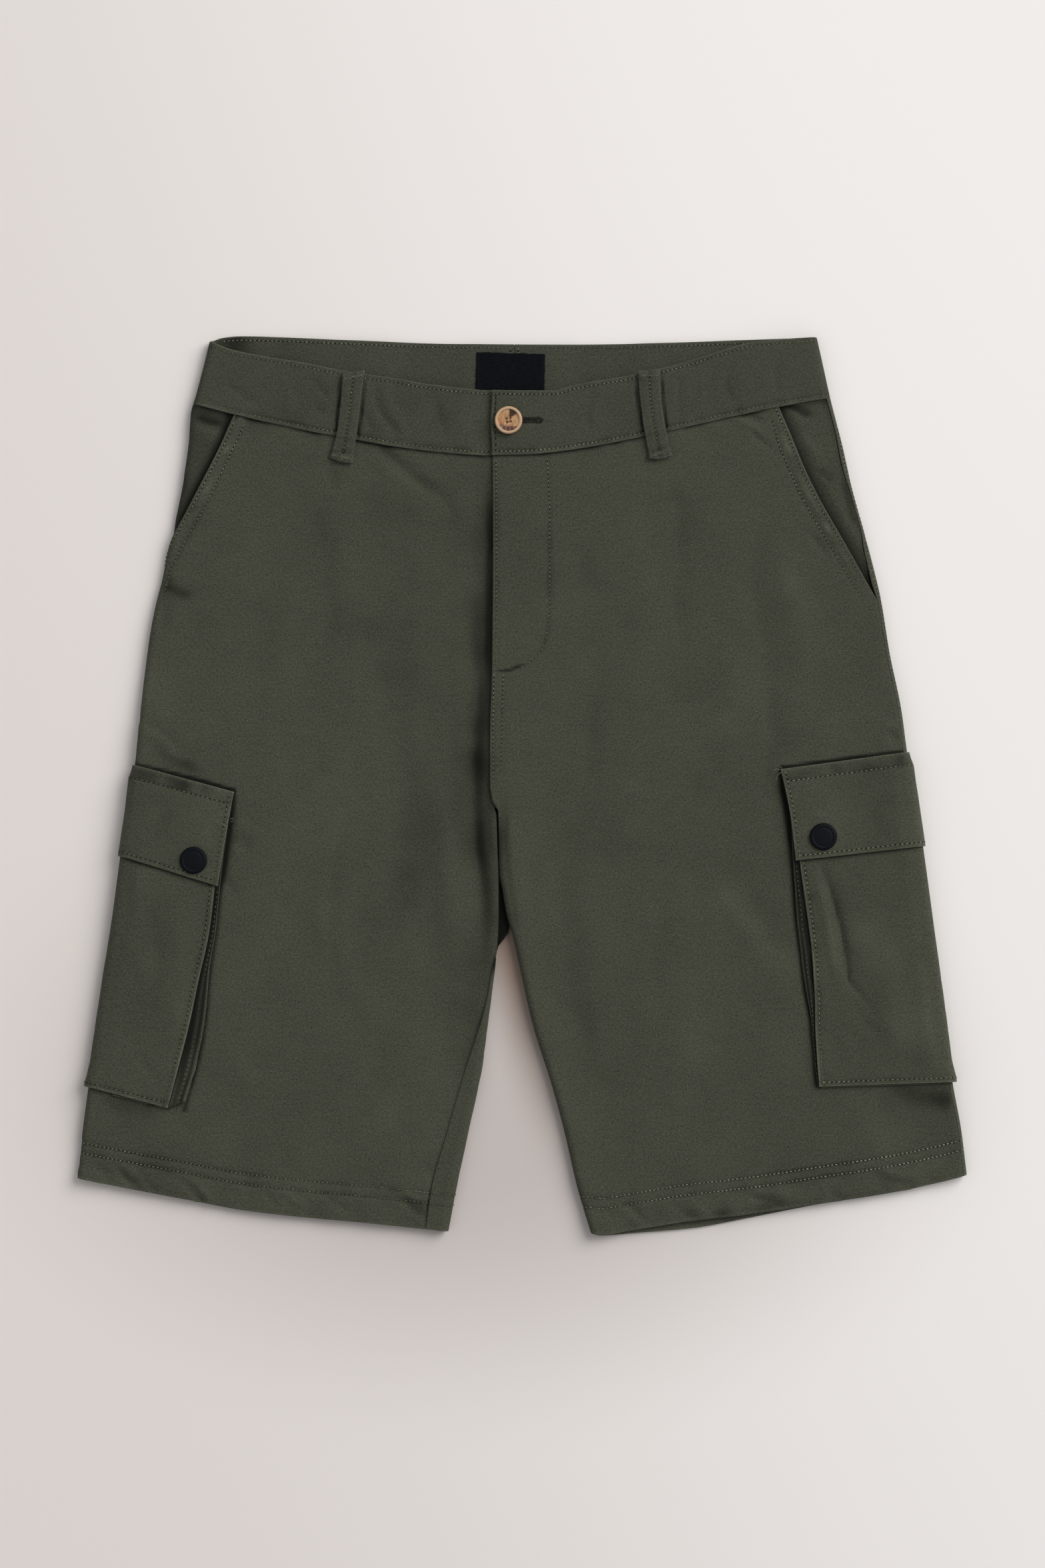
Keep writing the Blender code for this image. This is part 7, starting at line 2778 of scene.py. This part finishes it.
@dataclass
class Studio:
    """A pale floor, soft light from the upper right and a camera straight above."""

    aim: Triple = (0.0, 1.25, 8.0)
    camera_distance: float = 2500.0
    frame_height: float = 980.0
    key_at: Triple = (4500.0, 3450.0, 4700.0)
    key_size: float = 5200.0
    key_power: float = 460.0
    key_tone: Triple = (1.0, 0.985, 0.96)
    fill_at: Triple = (-1300.0, -300.0, 1900.0)
    fill_size: float = 2200.0
    fill_power: float = 4.0
    fill_tone: Triple = (0.95, 0.97, 1.0)
    sky: float = 0.34
    sky_tone: Triple = (0.98, 0.985, 1.0)
    sensor: float = 36.0
    floor_reach: float = 6000.0
    floor_gap: float = 0.4

    def build(self) -> None:
        """Builds the floor, the lights and the camera."""
        self.build_floor()
        self.add_light("Window", self.key_at, self.key_size, self.key_power, self.key_tone)
        self.add_light("Fill", self.fill_at, self.fill_size, self.fill_power, self.fill_tone)
        world = bpy.data.worlds.new("Room")
        world.use_nodes = True
        background = world.node_tree.nodes["Background"]
        background.inputs["Color"].default_value = (*self.sky_tone, 1.0)
        background.inputs["Strength"].default_value = self.sky
        bpy.context.scene.world = world
        bpy.context.scene.view_settings.view_transform = "Standard"
        camera_data = bpy.data.cameras.new("Camera")
        camera_data.sensor_width = self.sensor
        camera_data.lens = self.sensor * self.camera_distance / self.frame_height
        camera_data.clip_end = 100.0
        camera = bpy.data.objects.new("Camera", camera_data)
        x, y, z = self.aim
        camera.location = (x * MM, y * MM, (z + self.camera_distance) * MM)
        bpy.context.scene.collection.objects.link(camera)
        bpy.context.scene.camera = camera

    def build_floor(self) -> None:
        """Builds the surface that the shorts lie on."""
        reach = self.floor_reach * MM
        corners = ((-reach, -reach), (reach, -reach), (reach, reach), (-reach, reach))
        mesh = bpy.data.meshes.new("Floor")
        mesh.from_pydata([(x, y, -self.floor_gap * MM) for x, y in corners], [], [(0, 1, 2, 3)])
        mesh.update()
        floor = attach("Floor", mesh, Finishes.of(FloorFinish("Pale surface")))
        floor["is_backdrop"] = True

    def add_light(self, name: str, at: Triple, size: float, power: float, tone: Triple) -> None:
        """Adds a square soft light that faces the shorts."""
        data = bpy.data.lights.new(name, "AREA")
        data.size = size * MM
        data.energy = power
        data.color = tone
        light = bpy.data.objects.new(name, data)
        light.location = [value * MM for value in at]
        way = np.array(at, float)
        way = way / np.linalg.norm(way)
        light.rotation_euler = (math.acos(way[2]), 0.0, math.atan2(way[1], way[0]) + math.pi / 2)
        bpy.context.scene.collection.objects.link(light)
        light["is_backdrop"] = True


# The shorts


RIGHT_CARGO = Cargo(
    Lines(13.3, -0.263), Lines(-43.8, -0.299), Lines(-187.6, -0.262), RIGHT_POCKET_WIDTHS,
    RIGHT_FLAP_WIDTHS, RIGHT_GUSSET_OUT, RIGHT_POCKET_FOLDS, RIGHT_POCKET_CREASES, RIGHT_SNAP_AT,
)
LEFT_CARGO = Cargo(
    Lines(21.3, -0.133), Lines(-37.6, -0.112), Lines(-184.8, -0.036), LEFT_POCKET_WIDTHS,
    LEFT_FLAP_WIDTHS, LEFT_GUSSET_OUT, LEFT_POCKET_FOLDS, LEFT_POCKET_CREASES, LEFT_SNAP_AT,
)
RIGHT_LEG = Leg(
    -1, (RIGHT_OUTER, RIGHT_INNER, RIGHT_FRONT_END, RIGHT_BACK_END), RIGHT_HIP, (RIGHT_HEM, RIGHT_HEM),
    RIGHT_BACK_CURL, RIGHT_WEB_END, RIGHT_CARGO, RIGHT_FRONT_FOLDS, RIGHT_FRONT_CREASES,
)
LEFT_LEG = Leg(
    1, (LEFT_OUTER, LEFT_INNER, LEFT_FRONT_END, LEFT_BACK_END), LEFT_HIP, (LEFT_FRONT_HEM, LEFT_BACK_HEM),
    LEFT_BACK_CURL, LEFT_WEB_END, LEFT_CARGO, LEFT_FRONT_FOLDS, LEFT_FRONT_CREASES,
)

# Stitch rows on the fronts: the outer one beside each slanted edge, then the fly's
RIGHT_SECOND_SLANT_ROW = (
    (-174, 226), (-184, 205), (-199, 174), (-210, 155), (-220, 136), (-225, 117), (-228, 105),
)
LEFT_SECOND_SLANT_ROW = (
    (156, 230), (161, 211), (172, 186), (184, 164), (195, 146), (205, 129), (214, 115), (221, 106),
)
FLY_ROWS = (
    ((15.4, 205), (17, 174), (17, 110), (15, 94), (12, 85), (6, 78), (0, 74), (-8, 73), (-18, 73)),
    ((-16.6, 204), (-16.4, 150), (-16.6, 76)),
    ((-18, 70), (-18.4, 30), (-18, -6)),
    ((-12, 70), (-13, 34), (-13.4, 4)),
)

# The front belt loops' edges from the top down, the one at lower x first
RIGHT_LOOP_EDGES = (
    ((-112.3, 257.6), (-113.6, 240.0), (-115.6, 222.0), (-118.4, 211.5), (-120.4, 205.2)),
    ((-98.4, 259.8), (-100.4, 246.0), (-103.2, 222.0), (-105.0, 210.0), (-105.9, 201.6)),
)
LEFT_LOOP_EDGES = (
    ((72.2, 259.2), (72.9, 245.0), (75.6, 224.0), (78.4, 210.0), (79.2, 204.4)),
    ((85.8, 260.6), (86.6, 240.0), (88.8, 226.0), (91.6, 214.0), (93.6, 206.4)),
)

# Loose thread ends at the cargo flaps, as x, y and z
RIGHT_LOOSE_THREADS = (
    ((-182.2, -20.8, 15.2), (-180.6, -19.6, 15.6), (-180.0, -21.6, 15.4), (-181.8, -22.4, 15.0)),
    ((-189.6, -24.8, 15.5), (-187.8, -23.4, 15.8), (-185.4, -24.2, 15.7), (-184.2, -26.2, 15.4)),
)
LEFT_LOOSE_THREADS = (
    ((160.6, 10.0, 14.6), (158.4, 10.8, 14.8), (156.6, 9.4, 14.4)),
    ((161.6, 8.6, 14.6), (159.6, 7.4, 14.8), (158.2, 5.4, 14.4), (158.8, 3.4, 14.2)),
    ((162.6, 9.8, 14.6), (161.0, 12.0, 14.8), (158.8, 12.6, 14.5)),
)


Box = list[list[float]]


def read_bounds() -> Box:
    """Lowest and highest corner of what is shown, in metres."""
    return [[float(value) for value in corner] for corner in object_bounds()]


def save_bounds(cad_box: Box, model_box: Box) -> None:
    """Logs the CAD's box and the visual model's, axis by axis."""
    for axis in range(3):
        log.info("axis %d: CAD %s, model %s", axis, [corner[axis] for corner in cad_box],
                 [corner[axis] for corner in model_box])


def main() -> None:
    """Builds every sub-assembly in order, then the studio."""
    logging.basicConfig(level=logging.INFO, format="%(message)s", stream=sys.stdout)
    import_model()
    cad_box = read_bounds()
    LegPanels(RIGHT_LEG, RIGHT_LOOP_FOOT, RIGHT_SECOND_SLANT_ROW, ()).build()
    LegPanels(LEFT_LEG, LEFT_LOOP_FOOT, LEFT_SECOND_SLANT_ROW, FLY_ROWS).build()
    CargoPocket(RIGHT_LEG, RIGHT_LOOSE_THREADS, fan=1.0).build()
    CargoPocket(LEFT_LEG, LEFT_LOOSE_THREADS, fan=0.0).build()
    BandHalf(-1, RIGHT_OUTER, front_end=8.0, back_end=-5.05).build()
    BandHalf(1, LEFT_OUTER, front_end=-19.2, back_end=-5.05).build()
    FrontLoop(RIGHT_LEG, *RIGHT_LOOP_EDGES, twist=0.8).build()
    FrontLoop(LEFT_LEG, *LEFT_LOOP_EDGES, twist=0.0).build()
    for side_name, x in BACK_LOOPS_AT.items():
        BackLoop(x, f"belt_loop_back_{side_name}").build()
    Label().build()
    WaistButton().build()
    Studio().build()
    save_bounds(cad_box, read_bounds())


if __name__ == "__main__":
    main()
